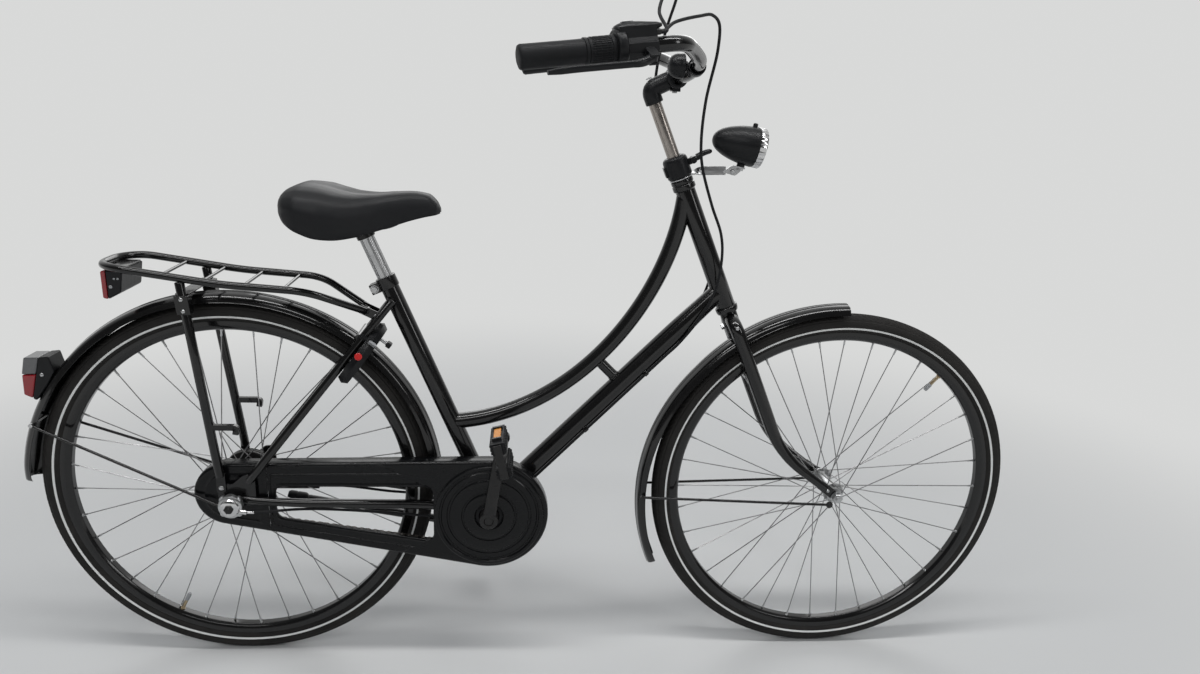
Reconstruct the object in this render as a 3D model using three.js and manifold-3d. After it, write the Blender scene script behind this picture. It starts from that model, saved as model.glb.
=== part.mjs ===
// A step-through city bike, built as the separate pieces that it comes apart into, in millimetres.
// +X is forward, +Y the rider's left, +Z up. The origin is on the ground below the middle of the bike.
import * as THREE from "three";
import { mergeVertices } from "three/addons/utils/BufferGeometryUtils.js";
import Module from "manifold-3d";

const wasm = await Module();
wasm.setup();

// Fits and facets
const GAP = 0.3;
const OVERRUN = 5;
const MERGE_TOLERANCE = 0.0001;
const ROUND_SIDES = 10;
const THIN_SIDES = 6;
const WHEEL_SIDES = 32;
const HUB_SIDES = 16;
const BAR_SIDES = 8;
const BEND_STEPS = 3;

// Layout of the bike
const WHEEL_RADIUS = 350;
const WHEELBASE = 1118;
const CRANK_FORWARD = 458;
const CRANK_HEIGHT = 313;
const SEAT_TUBE_ANGLE = 66.9;
const SEAT_TUBE_LENGTH = 475;
const HEAD_ANGLE = 66.6;
const HEAD_TUBE_LENGTH = 229;
const FORK_LENGTH = 422;
const FORK_RAKE = 72.3;

// Wheels
const TYRE_WIDTH = 38;
const TYRE_WALL = 3;
const TYRE_DEPTH = 33;
const TYRE_STEPS = 5;
const TYRE_INNER_STEPS = 3;
const RIM_DEPTH = 18;
const RIM_WIDTH = 25;
const RIM_WALL = 1.8;
const SPOKES_PER_SIDE = 18;
const SPOKE_CROSSINGS = 3;
const SPOKE_RADIUS = 1;
const SPOKE_SIDES = 3;
const SPOKE_RIM_OFFSET = 4;
const FLANGE_THICKNESS = 3;
const FLANGE_EDGE = 3.5;
const FRONT_FLANGE_RADIUS = 20;
const FRONT_FLANGE_SPAN = 68;
const FRONT_BARREL_RADIUS = 11;
const FRONT_HUB_WIDTH = 84;
const REAR_FLANGE_RADIUS = 36;
const REAR_FLANGE_SPAN = 54;
const REAR_BARREL_RADIUS = 29;
const REAR_HUB_WIDTH = 66;
const HUB_NOSE_RADIUS = 14;
const AXLE_RADIUS = 5;
const VALVE_RADIUS = 3;
const VALVE_LENGTH = 34;
const VALVE_CAP_RADIUS = 4;
const VALVE_CAP_LENGTH = 14;
const FRONT_VALVE_ANGLE = 14;
const REAR_VALVE_ANGLE = -96;

// Axles
const FRONT_AXLE_SPAN = 100;
const REAR_AXLE_SPAN = 124;
const DROPOUT_THICKNESS = 4;
const NUT_RADIUS = 10;
const NUT_SIDES = 6;
const NUT_THICKNESS = 8.5;
const AXLE_STUB = 5;
const CONE_RADIUS = 7.5;
const SHIFT_UNIT_LENGTH = 22;
const SHIFT_UNIT_WIDTH = 43;
const SHIFT_UNIT_HEIGHT = 53;
const SHIFT_UNIT_CORNER = 14;
const SHIFT_UNIT_AHEAD = 4;
const SHIFT_UNIT_DROP = 6;

// Frame tubes
const SEAT_TUBE_RADIUS = 15.9;
const SEATPOST_RADIUS = 13.2;
const HEAD_TUBE_RADIUS = 17.5;
const HEAD_CUP_RADIUS = 20.5;
const LOWER_CUP_HEIGHT = 10;
const UPPER_CUP_HEIGHT = 19;
const STEERER_RADIUS = 12.7;
const TOP_TUBE_RADIUS = 14.5;
const TOP_TUBE_LOW_SHARE = 0.378;
const TOP_TUBE_HIGH_SHARE = 0.92;
const TOP_TUBE_LOW_HANDLE = 219;
const TOP_TUBE_HIGH_HANDLE = 190;
const TOP_TUBE_LOW_SLOPE = 3.6;
const TOP_TUBE_HIGH_SLOPE = 84;
const TOP_TUBE_SETBACK = 8;
const TOP_TUBE_STEPS = 10;
const DOWN_TUBE_RADIUS = 19;
const DOWN_TUBE_NECK_RADIUS = 16.5;
const DOWN_TUBE_HIGH_SHARE = 0.146;
const DOWN_TUBE_NECK_SHARE = 0.9;
const DOWN_TUBE_DROP = 5;
const BRACE_RADIUS = 10;
const BRACE_SHARE = 0.58;
const SHELL_RADIUS = 20;
const SHELL_WIDTH = 68;
const SPINDLE_RADIUS = 8.5;
const CLAMP_LUG_WIDTH = 22;
const CLAMP_LUG_REACH = 31;
const CLAMP_LUG_HEIGHT = 18;
const CLAMP_LUG_DROP = 4;
const CLAMP_SLOT = 3;
const CLAMP_BOLT_RADIUS = 3.5;
const CLAMP_BOLT_LENGTH = 34;

// Stays
const CHAINSTAY_RADIUS = 9;
const CHAINSTAY_TIP_RADIUS = 7.3;
const CHAINSTAY_START = 14;
const CHAINSTAY_BEND = 100;
const CHAINSTAY_WAIST = 330;
const CHAINSTAY_END_SETBACK = 8;
const CHAINSTAY_TIP_OFFSET = 65;
const CHAINSTAY_WAIST_OFFSET = 33;
const CHAINSTAY_END_OFFSET = 24;
const SEATSTAY_RADIUS = 7.5;
const SEATSTAY_LOW_AHEAD = 33;
const SEATSTAY_LOW_RISE = 34;
const SEATSTAY_BEND_AHEAD = 62;
const SEATSTAY_BEND_RISE = 74;
const SEATSTAY_LOW_OFFSET = 67;
const SEATSTAY_WAIST_SHARE = 0.64;
const SEATSTAY_WAIST_OFFSET = 42;
const SEATSTAY_TOP_SHARE = 0.915;
const SEATSTAY_TOP_OFFSET = 20;
const STAY_BEND = 45;
const BRIDGE_RADIUS = 6;
const BRIDGE_REACH = 376;
const BRIDGE_ANGLE = 52.3;
const BRIDGE_HALF_WIDTH = 34;
const DROPOUT_AHEAD = 44;
const DROPOUT_RISE = 48;
const DROPOUT_CORNER = 6;
const DROPOUT_SHARES = [[-0.5, -0.4], [1, -0.2], [1, 1], [0.55, 1], [0.1, 0.62], [-0.5, 0.62]];

// Kickstand
const STAND_PLATE_BACK = 88;
const STAND_PLATE_LENGTH = 50;
const STAND_PLATE_THICKNESS = 7;
const STAND_PLATE_DROP = 3;
const STAND_PLATE_INNER = -12;
const STAND_PLATE_OUTER = 62;
const STAND_PIVOT_BACK = 70;
const STAND_PIVOT_OFFSET = 45;
const STAND_PIVOT_DROP = 38;
const STAND_PIN_RADIUS = 6;
const STAND_PIN_HEAD = 3;
const STAND_EYE_RADIUS = 12;
const STAND_EYE_LENGTH = 19;
const STAND_EAR_THICKNESS = 8;
const STAND_BEND_BACK = 16;
const STAND_BEND_DROP = 48;
const STAND_FOOT_BACK = 398;
const STAND_FOOT_OFFSET = 72;
const STAND_FOOT_DROP = 26;
const STAND_LEG_RADIUS = 8.5;
const STAND_FOOT_RADIUS = 11.5;
const STAND_FOOT_LENGTH = 36;
const STAND_OPEN_BACK = 110;
const STAND_OPEN_OUT = 140;

// Mudguards
const GUARD_RADIUS = 368;
const GUARD_WIDTH = 52;
const GUARD_WALL = 1.4;
const GUARD_CROWN = 16;
const GUARD_STEP_ANGLE = 11;
const GUARD_SECTION_SHARES = [[0, 0], [0.55, 0.12], [0.88, 0.48], [1, 1]];
const REAR_GUARD_START = 3;
const REAR_GUARD_END = 178.5;
const REAR_GUARD_SPREAD = 11;
const FRONT_GUARD_START = 91;
const FRONT_GUARD_END = 205.5;
const FRONT_GUARD_SPREAD = 20;
const GUARD_SPREAD_ANGLE = 140;
const GUARD_TIP_ANGLE = 5;
const GUARD_TIP_SHARE = 0.6;
const STAY_ROD_RADIUS = 2.6;
const STAY_ROD_SINK = 10;
const STAY_ROD_BEND = 10;
const REAR_STAY_ANGLE = 160;
const FRONT_STAY_ANGLE = 182;
const STAY_EYE_BACK = 14;
const STAY_EYE_DROP = 14;
const STAY_EYE_RADIUS = 6;
const STAY_EYE_STANDOFF = 1.3;

// Carrier
const RAIL_RADIUS = 6.5;
const RAIL_OFFSET = 60;
const RAIL_REAR_BACK = 158;
const RAIL_REAR_HEIGHT = 767;
const RAIL_MIDDLE_AHEAD = 10;
const RAIL_MIDDLE_HEIGHT = 743;
const RAIL_FRONT_AHEAD = 150;
const RAIL_FRONT_HEIGHT = 734;
const RAIL_TAIL_REACH = 38;
const RAIL_TAIL_OFFSET = 32;
const RAIL_NOSE_AHEAD = 240;
const RAIL_NOSE_HEIGHT = 689;
const RAIL_NOSE_OFFSET = 13;
const RAIL_BEND = 30;
const CROSS_ROD_RADIUS = 2.8;
const CROSS_ROD_BACK = 83;
const CROSS_ROD_PITCH = 65;
const CROSS_RODS = 4;
const NOSE_BAR_RADIUS = 5;
const LEG_RADIUS = 6.5;
const LEG_TOP_BACK = 54;
const LEG_TOP_OFFSET = 61;
const LEG_FOOT_BACK = 14;
const LEG_FOOT_RISE = 46;
const LEG_FOOT_OFFSET = 70;
const LEG_TAB_THICKNESS = 3;
const LEG_TAB_WIDTH = 16;
const LEG_TAB_RISE = 15;
const LEG_BAR_RISE = 375;
const LEG_BAR_WIDTH = 22;
const LEG_BAR_THICKNESS = 3;
const HOOK_RISE = 140;
const HOOK_AHEAD = 27;
const HOOK_TIP = 16;
const HOOK_RADIUS = 3.5;

// Lights
const TAIL_LIGHT_ANGLE = 149.5;
const TAIL_LIGHT_LENGTH = 80;
const TAIL_LIGHT_WIDTH = 42;
const TAIL_LIGHT_DEPTH = 34;
const TAIL_LIGHT_SINK = 2.5;
const TAIL_HOUSING_SHARES = [[-0.08, 0], [0.5, 0], [0.5, 0.3], [0.36, 0.78], [-0.08, 1]];
const TAIL_LENS_SHARES = [[-0.5, 0.08], [-0.08, 0], [-0.08, 0.97], [-0.36, 0.86], [-0.5, 0.5]];
const CARRIER_LIGHT_LENGTH = 42;
const CARRIER_LIGHT_WIDTH = 92;
const CARRIER_LIGHT_HEIGHT = 57;
const CARRIER_LIGHT_BACK = 192;
const LIGHT_PLATE_WIDTH = 60;
const CARRIER_HOUSING_SHARES = [[0.25, 0.02], [0.25, 0.9], [1, 1], [1, 0.32]];
const CARRIER_LENS_SHARES = [[0, 0.1], [0, 0.82], [0.25, 0.9], [0.25, 0.02]];
const LAMP_AHEAD = 835;
const LAMP_HEIGHT = 1000;
const LAMP_LENGTH = 81;
const LAMP_RADIUS = 34.5;
const LAMP_WALL = 2;
const LAMP_BOWL_DEPTH = 34;
const LAMP_LENS_DEPTH = 16;
const LAMP_LENS_SEAT = 6;
const LAMP_SHARES = [[0, 0], [0.4, 0.05], [0.71, 0.36], [0.87, 0.62], [1, 1]];
const LAMP_KNOB_RADIUS = 4;
const LAMP_KNOB_HEIGHT = 6;
const LAMP_LUG_AHEAD = 36;
const LAMP_LUG_RADIUS = 7;
const LAMP_BRACKET_THICKNESS = 3;
const LAMP_BRACKET_WIDTH = 20;
const LAMP_BRACKET_DROP = 33;

// Ring lock
const LOCK_ANGLE = 53.4;
const LOCK_REACH = 340;
const LOCK_AHEAD = 29;
const LOCK_RING_RADIUS = 57;
const LOCK_BOLT_RADIUS = 4.2;
const LOCK_BOLT_SLACK = 1.2;
const LOCK_CASE_WIDTH = 24;
const LOCK_CASE_THICKNESS = 23;
const LOCK_OPENING = 96;
const LOCK_BOLT_SWEEP = 112;
const LOCK_BOLT_TRAVEL = 103;
const LOCK_STEP_ANGLE = 14;
const LOCK_LEVER_LENGTH = 30;
const LOCK_LEVER_WIDTH = 7;
const LOCK_LEVER_INSET = 6;
const LOCK_FOOT_RADIUS = 6;
const LOCK_FOOT_ANGLE = 42;

// Chain drive
const CHAIN_PITCH = 12.7;
const CHAIN_LINE = 46;
const CHAIN_WIDTH = 10;
const CHAIN_PLATE = 1.2;
const CHAIN_HEIGHT = 8;
const CHAINRING_TEETH = 36;
const SPROCKET_TEETH = 18;
const ROLLER_RADIUS = 3.9;
const ROLLER_SIDES = 3;
const ROLLER_SPACING = 2;
const BAND_SEGMENTS = 9;
const TOOTH_HEIGHT = 2.6;
const TOOTH_FOOT_SHARE = 0.236;
const TOOTHED_THICKNESS = 2.4;
const CHAINRING_HOLES = 5;
const CHAINRING_HOLE_RADIUS = 12;
const CHAINRING_HOLE_REACH = 44;
const DRIVER_RADIUS = 15;
const DRIVER_LENGTH = 20;
const CRANK_LENGTH = 170;
const CRANK_ANGLE = 81.6;
const CRANK_THICKNESS = 12;
const CRANK_WIDTH = 24;
const CRANK_BOSS_RADIUS = 17;
const CRANK_INNER_OFFSET = 67;
const CRANK_FLARE = 10;
const CRANK_TAPER_SHARES = [1, 0.92, 0.84];
const CRANK_CAP = 2;
const PEDAL_LENGTH = 78;
const PEDAL_WIDTH = 88;
const PEDAL_THICKNESS = 27;
const PEDAL_TREAD = 22;
const PEDAL_WALL = 6;
const PEDAL_INNER_OFFSET = 101;
const PEDAL_AXLE_RADIUS = 5;
const PEDAL_BARREL_RADIUS = 10;

// Chain case
const CASE_OUTER = 57;
const CASE_DEPTH = 25;
const CASE_WALL = 1.6;
const CASE_FRONT_RADIUS = 109;
const CASE_REAR_RADIUS = 60;
const CASE_REAR_BACK = 8;
const CASE_REAR_RISE = 4;
const CASE_SEAM_AHEAD = 62;
const CASE_WINDOW_BACK = 75;
const CASE_WINDOW_FRONT = 352;
const CASE_WINDOW_RISE = 21;
const CASE_WINDOW_BACK_DROP = 41;
const CASE_WINDOW_FRONT_DROP = 82;
const CASE_WINDOW_CORNER = 9;
const CASE_WINDOW_LIP = 5;
const CASE_HOLE_RADIUS = 26;
const CASE_STEP = 2;
const CASE_STEP_SHARES = [0.7, 0.46];
const CASE_BACK_ANGLE = 100;
const CASE_SEGMENTS = 10;

// Seat
const SEATPOST_EXPOSED = 82;
const SEATPOST_INSERTED = 150;
const SEATPOST_TRAVEL = 50;
const SADDLE_BACK_AHEAD = 108;
const SADDLE_LENGTH = 262;
const SADDLE_HALF_WIDTH = 99;
const SADDLE_HEIGHT = 84;
const SADDLE_BASE_HEIGHT = 826;
const SADDLE_WALL = 11;
const SADDLE_CAVITY_FIRST = 2;
const SADDLE_SECTION_SHARES = [
  [0, 1], [0.38, 0.985], [0.68, 0.92], [0.88, 0.76], [0.98, 0.48], [0.98, 0.2], [0.91, 0],
];
const SADDLE_STATION_SHARES = [
  { ahead: 0, width: 0.34, top: 0.62, base: 0.52 },
  { ahead: 0.02, width: 0.62, top: 0.8, base: 0.42 },
  { ahead: 0.07, width: 0.84, top: 0.93, base: 0.27 },
  { ahead: 0.15, width: 0.97, top: 1, base: 0.14 },
  { ahead: 0.26, width: 1, top: 0.98, base: 0.03 },
  { ahead: 0.37, width: 0.92, top: 0.9, base: 0 },
  { ahead: 0.48, width: 0.74, top: 0.84, base: 0.03 },
  { ahead: 0.59, width: 0.53, top: 0.83, base: 0.11 },
  { ahead: 0.7, width: 0.4, top: 0.86, base: 0.21 },
  { ahead: 0.82, width: 0.32, top: 0.88, base: 0.33 },
  { ahead: 0.92, width: 0.28, top: 0.84, base: 0.41 },
  { ahead: 0.975, width: 0.22, top: 0.7, base: 0.44 },
  { ahead: 1, width: 0.1, top: 0.56, base: 0.46 },
];
const SADDLE_RAIL_RADIUS = 3.5;
const SADDLE_RAIL_OFFSET = 22;
const SADDLE_RAIL_RISE = 5;
const SADDLE_RAIL_END_RISE = 52.8;
const SADDLE_RAIL_SHARES = [0.12, 0.3, 0.68, 0.9];
const SADDLE_CLAMP_RADIUS = 18;
const SADDLE_CLAMP_OVERLAP = 20;
const SADDLE_YOKE_RADIUS = 9;

// Stem and handlebar
const COLLAR_HEIGHT = 38;
const COLLAR_RADIUS = 22;
const COLLAR_LIP = 4;
const STEM_LEVER_LENGTH = 36;
const STEM_LEVER_ANGLE = 27;
const STEM_LEVER_WIDTH = 18;
const STEM_LEVER_THICKNESS = 7;
const STEM_LEVER_LUG = 8;
const STEM_LEVER_EYE_RADIUS = 6;
const STEM_LEVER_PIN_RADIUS = 3;
const STEM_LEVER_REACH = 30;
const STEM_LEVER_RISE = 20;
const QUILL_RADIUS = 11.1;
const QUILL_LENGTH = 290;
const BAR_UP = 411;
const BAR_AHEAD = 48;
const BAR_RADIUS = 11.1;
const BAR_CLAMP_RADIUS = 18;
const BAR_CLAMP_WIDTH = 40;
const STEM_HEAD_RADIUS = 15.5;
const STEM_HEAD_HEIGHT = 34;
const GRIP_END_BACK = 257;
const GRIP_END_OUT = 300;
const GRIP_END_RISE = 13;
const GRIP_TOE = 14.8;
const GRIP_RISE = 7.6;
const GRIP_RADIUS = 17;
const GRIP_LENGTH = 92;
const GRIP_CAP = 4;
const GRIP_LIP = 1.2;
const LEFT_GRIP_LENGTH = 132;
const TWIST_LENGTH = 38;
const TWIST_RADIUS = 18.8;
const HOUSING_LENGTH = 60;
const HOUSING_RADIUS = 20;
const HOUSING_TOP = 27;
const HOUSING_WIDTH = 30;
const BAR_STRAIGHT = 236;
const BAR_BEND = 42;
const BAR_REACH = 20;
const BAR_RISE = 40;
const BAR_BEND_SHARES = [[0.667, -0.65, 1], [0.4, 1, 0.56], [0.17, 0.5, 0.07]];
const BRAKE_LEVER_LENGTH = 138;
const BRAKE_LEVER_RADIUS = 5;
const BRAKE_LEVER_WIDTH = 9;
const BRAKE_LEVER_ANGLE = 60;
const BRAKE_LEVER_REACH = 42;
const BRAKE_PIVOT_REACH = 31;
const BRAKE_PIVOT_INSET = 14;
const BRAKE_PIN_RADIUS = 3;
const BRAKE_EYE_RADIUS = 7;
const BRAKE_EAR_THICKNESS = 3;
const BELL_OFFSET = 88;
const BELL_RADIUS = 19;
const BELL_HEIGHT = 25;
const BELL_WALL = 1.5;
const BELL_POST_RADIUS = 4.5;
const BELL_CLAMP_RADIUS = 14.5;
const BELL_CLAMP_WIDTH = 14;
const BELL_LEVER_THICKNESS = 3;
const BELL_LEVER_LENGTH = 30;
const BELL_LEVER_RADIUS = 8;
const BELL_LEVER_ANGLE = 60;

// Fork
const BLADE_RADIUS = 12.5;
const BLADE_TIP_RADIUS = 8;
const BLADE_OFFSET = 40;
const BLADE_TIP_SETBACK = 28;
const BLADE_BEND = 60;
const FORK_BEND_RISE = 122;
const CROWN_DROP = 22;
const FORK_TIP_WIDTH = 18;
const FORK_TIP_LENGTH = 42;

// Rear brake and cables
const BRAKE_DRUM_RADIUS = 48;
const BRAKE_DRUM_WIDTH = 23;
const BRAKE_DRUM_STEP = 6;
const BRAKE_CLEARANCE = 1;
const BRAKE_ARM_LENGTH = 122;
const BRAKE_ARM_DROP = 27;
const BRAKE_ARM_WIDTH = 16;
const BRAKE_ARM_THICKNESS = 4;
const BRAKE_CLIP_WIDTH = 10;
const BRAKE_CLIP_WALL = 3;
const CABLE_RADIUS = 2.5;
const CABLE_STEPS = 40;
const CABLE_SIDES = 8;
const CABLE_STANDOFF = 1;
const CABLE_END_HEIGHT = 336;
const CABLE_LEAD = 16;
const CABLE_EXIT_UP = 17;
const CABLE_EXIT_ASIDE = 8;
const CABLE_GUIDE_RADIUS = 5;
const CABLE_GUIDE_SHARES = [0.66, 0.4, 0.14];
const CABLE_TUBE_SHARES = [0.8, 0.74, ...CABLE_GUIDE_SHARES, 0.08];
// The routes' free points: forward of the rear hub, to the left, and up from the ground.
const SHIFT_CABLE_HIGH = [
  [726, -200, 1178], [771, -150, 1192], [794, -125, 1196], [810, -105, 1185], [814, -90, 1148],
  [805, -70, 1071], [804, -60, 1007], [810, -52, 966], [834, -42, 898], [856, -36, 846], [862, -31, 804],
  [856, -31, 750], [838, -25.5, 702],
];
const SHIFT_CABLE_LOW = [
  [478, -26, 284], [410, -30, 294], [347, -36, 301], [257, -45, 314], [149, -58, 327], [105, -64, 329],
  [60, -76, 331],
];
const BRAKE_CABLE_HIGH = [
  [700, -215, 1190], [720, -160, 1232], [745, -80, 1245], [756, -8, 1228], [748, 34, 1180], [738, 45, 1120],
  [738, 44, 1066], [756, 42, 1018], [779, 40, 966], [806, 39, 912], [838, 36, 850], [860, 32, 792],
  [856, 31, 750], [838, 25.5, 702],
];
const BRAKE_CABLE_LOW = [
  [478, 26, 284], [430, 20, 286], [395, 18, 296], [355, 30, 299], [330, 36, 308], [257, 44, 312], [180, 52, 318],
];

const BLACK_PAINT = { color: 0x0b0b0c, roughness: 0.2, metalness: 0.1 };
const BLACK_PLASTIC = { color: 0x17181a, roughness: 0.5, metalness: 0 };
const BLACK_RUBBER = { color: 0x1d1e20, roughness: 0.8, metalness: 0 };
const TYRE_RUBBER = { color: 0x2b2927, roughness: 0.9, metalness: 0 };
const SILVER = { color: 0xb9bcbf, roughness: 0.35, metalness: 1 };
const CHROME = { color: 0xd8d9da, roughness: 0.12, metalness: 1 };
const VINYL = { color: 0x24262b, roughness: 0.55, metalness: 0 };
const RED_LENS = { color: 0xb01218, roughness: 0.2, metalness: 0 };
const CLEAR_LENS = { color: 0xdfe4e6, roughness: 0.1, metalness: 0 };
const CHAIN_STEEL = { color: 0x6d6a66, roughness: 0.45, metalness: 1 };

// Directions and points
const RIGHT = -1;
const LEFT = 1;
const FORWARD = new THREE.Vector3(1, 0, 0);
const ACROSS = new THREE.Vector3(0, 1, 0);
const UPWARD = new THREE.Vector3(0, 0, 1);

function radians(degrees) {
  return THREE.MathUtils.degToRad(degrees);
}

function point(x, y, z) {
  return new THREE.Vector3(x, y, z);
}

// The point reached from a start by going a distance along a direction.
function along(start, direction, distance) {
  return start.clone().addScaledVector(direction, distance);
}

// The same point moved sideways, to the rider's left.
function aside(start, distance) {
  return along(start, ACROSS, distance);
}

// A direction in the bike's middle plane, at an angle in degrees above forward.
function slope(degrees) {
  return point(Math.cos(radians(degrees)), 0, Math.sin(radians(degrees)));
}

const rearHub = point(0, 0, WHEEL_RADIUS);
const frontHub = point(WHEELBASE, 0, WHEEL_RADIUS);
const crankCentre = point(CRANK_FORWARD, 0, CRANK_HEIGHT);
const seatUp = slope(180 - SEAT_TUBE_ANGLE);
const seatForward = slope(90 - SEAT_TUBE_ANGLE);
const seatTubeTop = along(crankCentre, seatUp, SEAT_TUBE_LENGTH);
const headUp = slope(180 - HEAD_ANGLE);
const headForward = slope(90 - HEAD_ANGLE);
const headBottom = along(along(frontHub, headForward, -FORK_RAKE), headUp, FORK_LENGTH);

// A point given from the foot of the head tube: up along the steering axis, forward of it and sideways.
function fromHead(up, forward = 0, side = 0) {
  return aside(along(along(headBottom, headUp, up), headForward, forward), side);
}

// A point given from the rear hub.
function fromRearHub(forward, side, rise) {
  return point(rearHub.x + forward, side, rearHub.z + rise);
}

// A closed geometry as a solid whose faces look outwards.
function solid(geometry) {
  const bare = new THREE.BufferGeometry();
  bare.setAttribute("position", geometry.getAttribute("position").clone());
  if (geometry.index) bare.setIndex(geometry.index.clone());
  const merged = mergeVertices(bare, MERGE_TOLERANCE);
  const corners = merged.index.array;
  const kept = [];
  for (let i = 0; i < corners.length; i += 3) {
    const [a, b, c] = [corners[i], corners[i + 1], corners[i + 2]];
    if (a !== b && b !== c && a !== c) kept.push(a, b, c);
  }
  const vertProperties = merged.attributes.position.array;
  const build = (triVerts) => new wasm.Manifold(new wasm.Mesh({ numProp: 3, vertProperties, triVerts }));
  const shape = build(new Uint32Array(kept));
  if (shape.volume() > 0) return shape;
  return build(new Uint32Array(kept.reverse()));
}

function fuse(first, ...others) {
  return others.reduce((sum, other) => sum.add(other), first);
}

function cut(first, ...others) {
  return others.reduce((rest, other) => rest.subtract(other), first);
}

// The mirror image of a solid in the bike's middle plane.
function otherSide(shape) {
  return shape.mirror([0, 1, 0]);
}

// A round rod or cone from one point to another.
function rod(from, to, radius, sides = ROUND_SIDES, endRadius = radius) {
  const direction = to.clone().sub(from);
  const geometry = new THREE.CylinderGeometry(endRadius, radius, direction.length(), sides);
  geometry.applyQuaternion(new THREE.Quaternion().setFromUnitVectors(ACROSS, direction.clone().normalize()));
  const middle = from.clone().lerp(to, 1 / 2);
  geometry.translate(middle.x, middle.y, middle.z);
  return solid(geometry);
}

// What a round hole takes away: its flats, not its corners, lie at the radius.
function hole(from, to, radius, sides = ROUND_SIDES) {
  return rod(from, to, radius / Math.cos(Math.PI / sides), sides);
}

// A rod across the bike, from one sideways distance to another, round a centre in its middle plane.
function crossRod(centre, fromSide, toSide, radius, sides = ROUND_SIDES) {
  return rod(aside(centre, fromSide), aside(centre, toSide), radius, sides);
}

// A hole across the bike that runs on past a sideways reach on both sides.
function crossHole(centre, reach, radius, sides = ROUND_SIDES) {
  return hole(aside(centre, -reach - OVERRUN), aside(centre, reach + OVERRUN), radius, sides);
}

// A solid of revolution: profile holds pairs of radius and distance along the axis from the centre.
function revolved(profile, centre, axis, sides) {
  const points = profile.map(([radius, distance]) => new THREE.Vector2(radius, distance));
  const geometry = new THREE.LatheGeometry(points, sides);
  geometry.applyQuaternion(new THREE.Quaternion().setFromUnitVectors(ACROSS, axis));
  geometry.translate(centre.x, centre.y, centre.z);
  return solid(geometry);
}

// A flat bar from one point to another: width runs across the bike, thickness is square to both.
function strap(from, to, width, thickness) {
  const direction = to.clone().sub(from);
  const geometry = new THREE.BoxGeometry(direction.length(), width, thickness);
  direction.normalize();
  const across = along(ACROSS, direction, -ACROSS.dot(direction)).normalize();
  const turn = new THREE.Matrix4().makeBasis(direction, across, direction.clone().cross(across));
  geometry.applyMatrix4(turn.setPosition(from.clone().lerp(to, 1 / 2)));
  return solid(geometry);
}

// A box between two corners, given in a frame of its own.
function boxIn(frame, low, high) {
  const size = high.clone().sub(low);
  const geometry = new THREE.BoxGeometry(size.x, size.y, size.z);
  const middle = low.clone().lerp(high, 1 / 2);
  geometry.translate(middle.x, middle.y, middle.z);
  return solid(geometry.applyMatrix4(frame));
}

// A flat shape drawn in X and Z, made solid between two values of Y.
function plate(shape, lowY, highY, curveSegments = 5) {
  const depth = highY - lowY;
  const geometry = new THREE.ExtrudeGeometry(shape, { depth, bevelEnabled: false, curveSegments });
  geometry.rotateX(Math.PI / 2);
  geometry.translate(0, highY, 0);
  return solid(geometry);
}

// A flat shape through pairs of X and Z, its corners rounded from so far before each of them.
function outline(corners, rounding = 0) {
  const shape = new THREE.Shape();
  corners.forEach(([x, z], i) => {
    const corner = new THREE.Vector2(x, z);
    const before = new THREE.Vector2(...corners.at(i - 1)).sub(corner).setLength(rounding).add(corner);
    const next = new THREE.Vector2(...corners[(i + 1) % corners.length]).sub(corner);
    const after = next.setLength(rounding).add(corner);
    if (i === 0) shape.moveTo(before.x, before.y);
    else shape.lineTo(before.x, before.y);
    if (rounding > 0) shape.quadraticCurveTo(x, z, after.x, after.y);
  });
  shape.closePath();
  return shape;
}

// A skin over rings of points of equal count, with its two ends closed by the given triangles.
function lofted(rings, faces) {
  const count = rings[0].length;
  const positions = rings.flat().flatMap((p) => [p.x, p.y, p.z]);
  const corners = [];
  for (let i = 0; i + 1 < rings.length; i++) {
    for (let j = 0; j < count; j++) {
      const here = i * count + j;
      const next = i * count + ((j + 1) % count);
      corners.push(here, next, next + count, here, next + count, here + count);
    }
  }
  const last = (rings.length - 1) * count;
  for (const [a, b, c] of faces) {
    corners.push(a, c, b, last + a, last + b, last + c);
  }
  const geometry = new THREE.BufferGeometry();
  geometry.setAttribute("position", new THREE.Float32BufferAttribute(positions, 3));
  geometry.setIndex(corners);
  return solid(geometry);
}

// The triangles of a convex end with so many corners.
function fan(count) {
  return Array.from({ length: count - 2 }, (_, i) => [0, i + 1, i + 2]);
}

// The two directions square to a path at each of its points, turning as little as they can.
function carriedFrames(points, firstSide) {
  let side = firstSide;
  return points.map((_, i) => {
    const before = points[Math.max(i - 1, 0)];
    const after = points[Math.min(i + 1, points.length - 1)];
    const tangent = after.clone().sub(before).normalize();
    if (!side) side = Math.abs(tangent.z) > Math.SQRT1_2 ? FORWARD : UPWARD;
    const across = along(side, tangent, -side.dot(tangent)).normalize();
    side = across;
    return { across, over: tangent.clone().cross(across) };
  });
}

// A tube through the points. sizes is one radius for all, or a list: a number for round, a pair for oval.
function tube(points, sizes, sides = ROUND_SIDES, firstSide = undefined) {
  const frames = carriedFrames(points, firstSide);
  const rings = points.map((centre, i) => {
    const size = Array.isArray(sizes) ? sizes[i] : sizes;
    const [wide, deep] = Array.isArray(size) ? size : [size, size];
    return Array.from({ length: sides }, (_, j) => {
      const turn = (2 * Math.PI * (j + 1 / 2)) / sides;
      const out = along(centre, frames[i].across, wide * Math.cos(turn));
      return along(out, frames[i].over, deep * Math.sin(turn));
    });
  });
  return lofted(rings, fan(sides));
}

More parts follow.
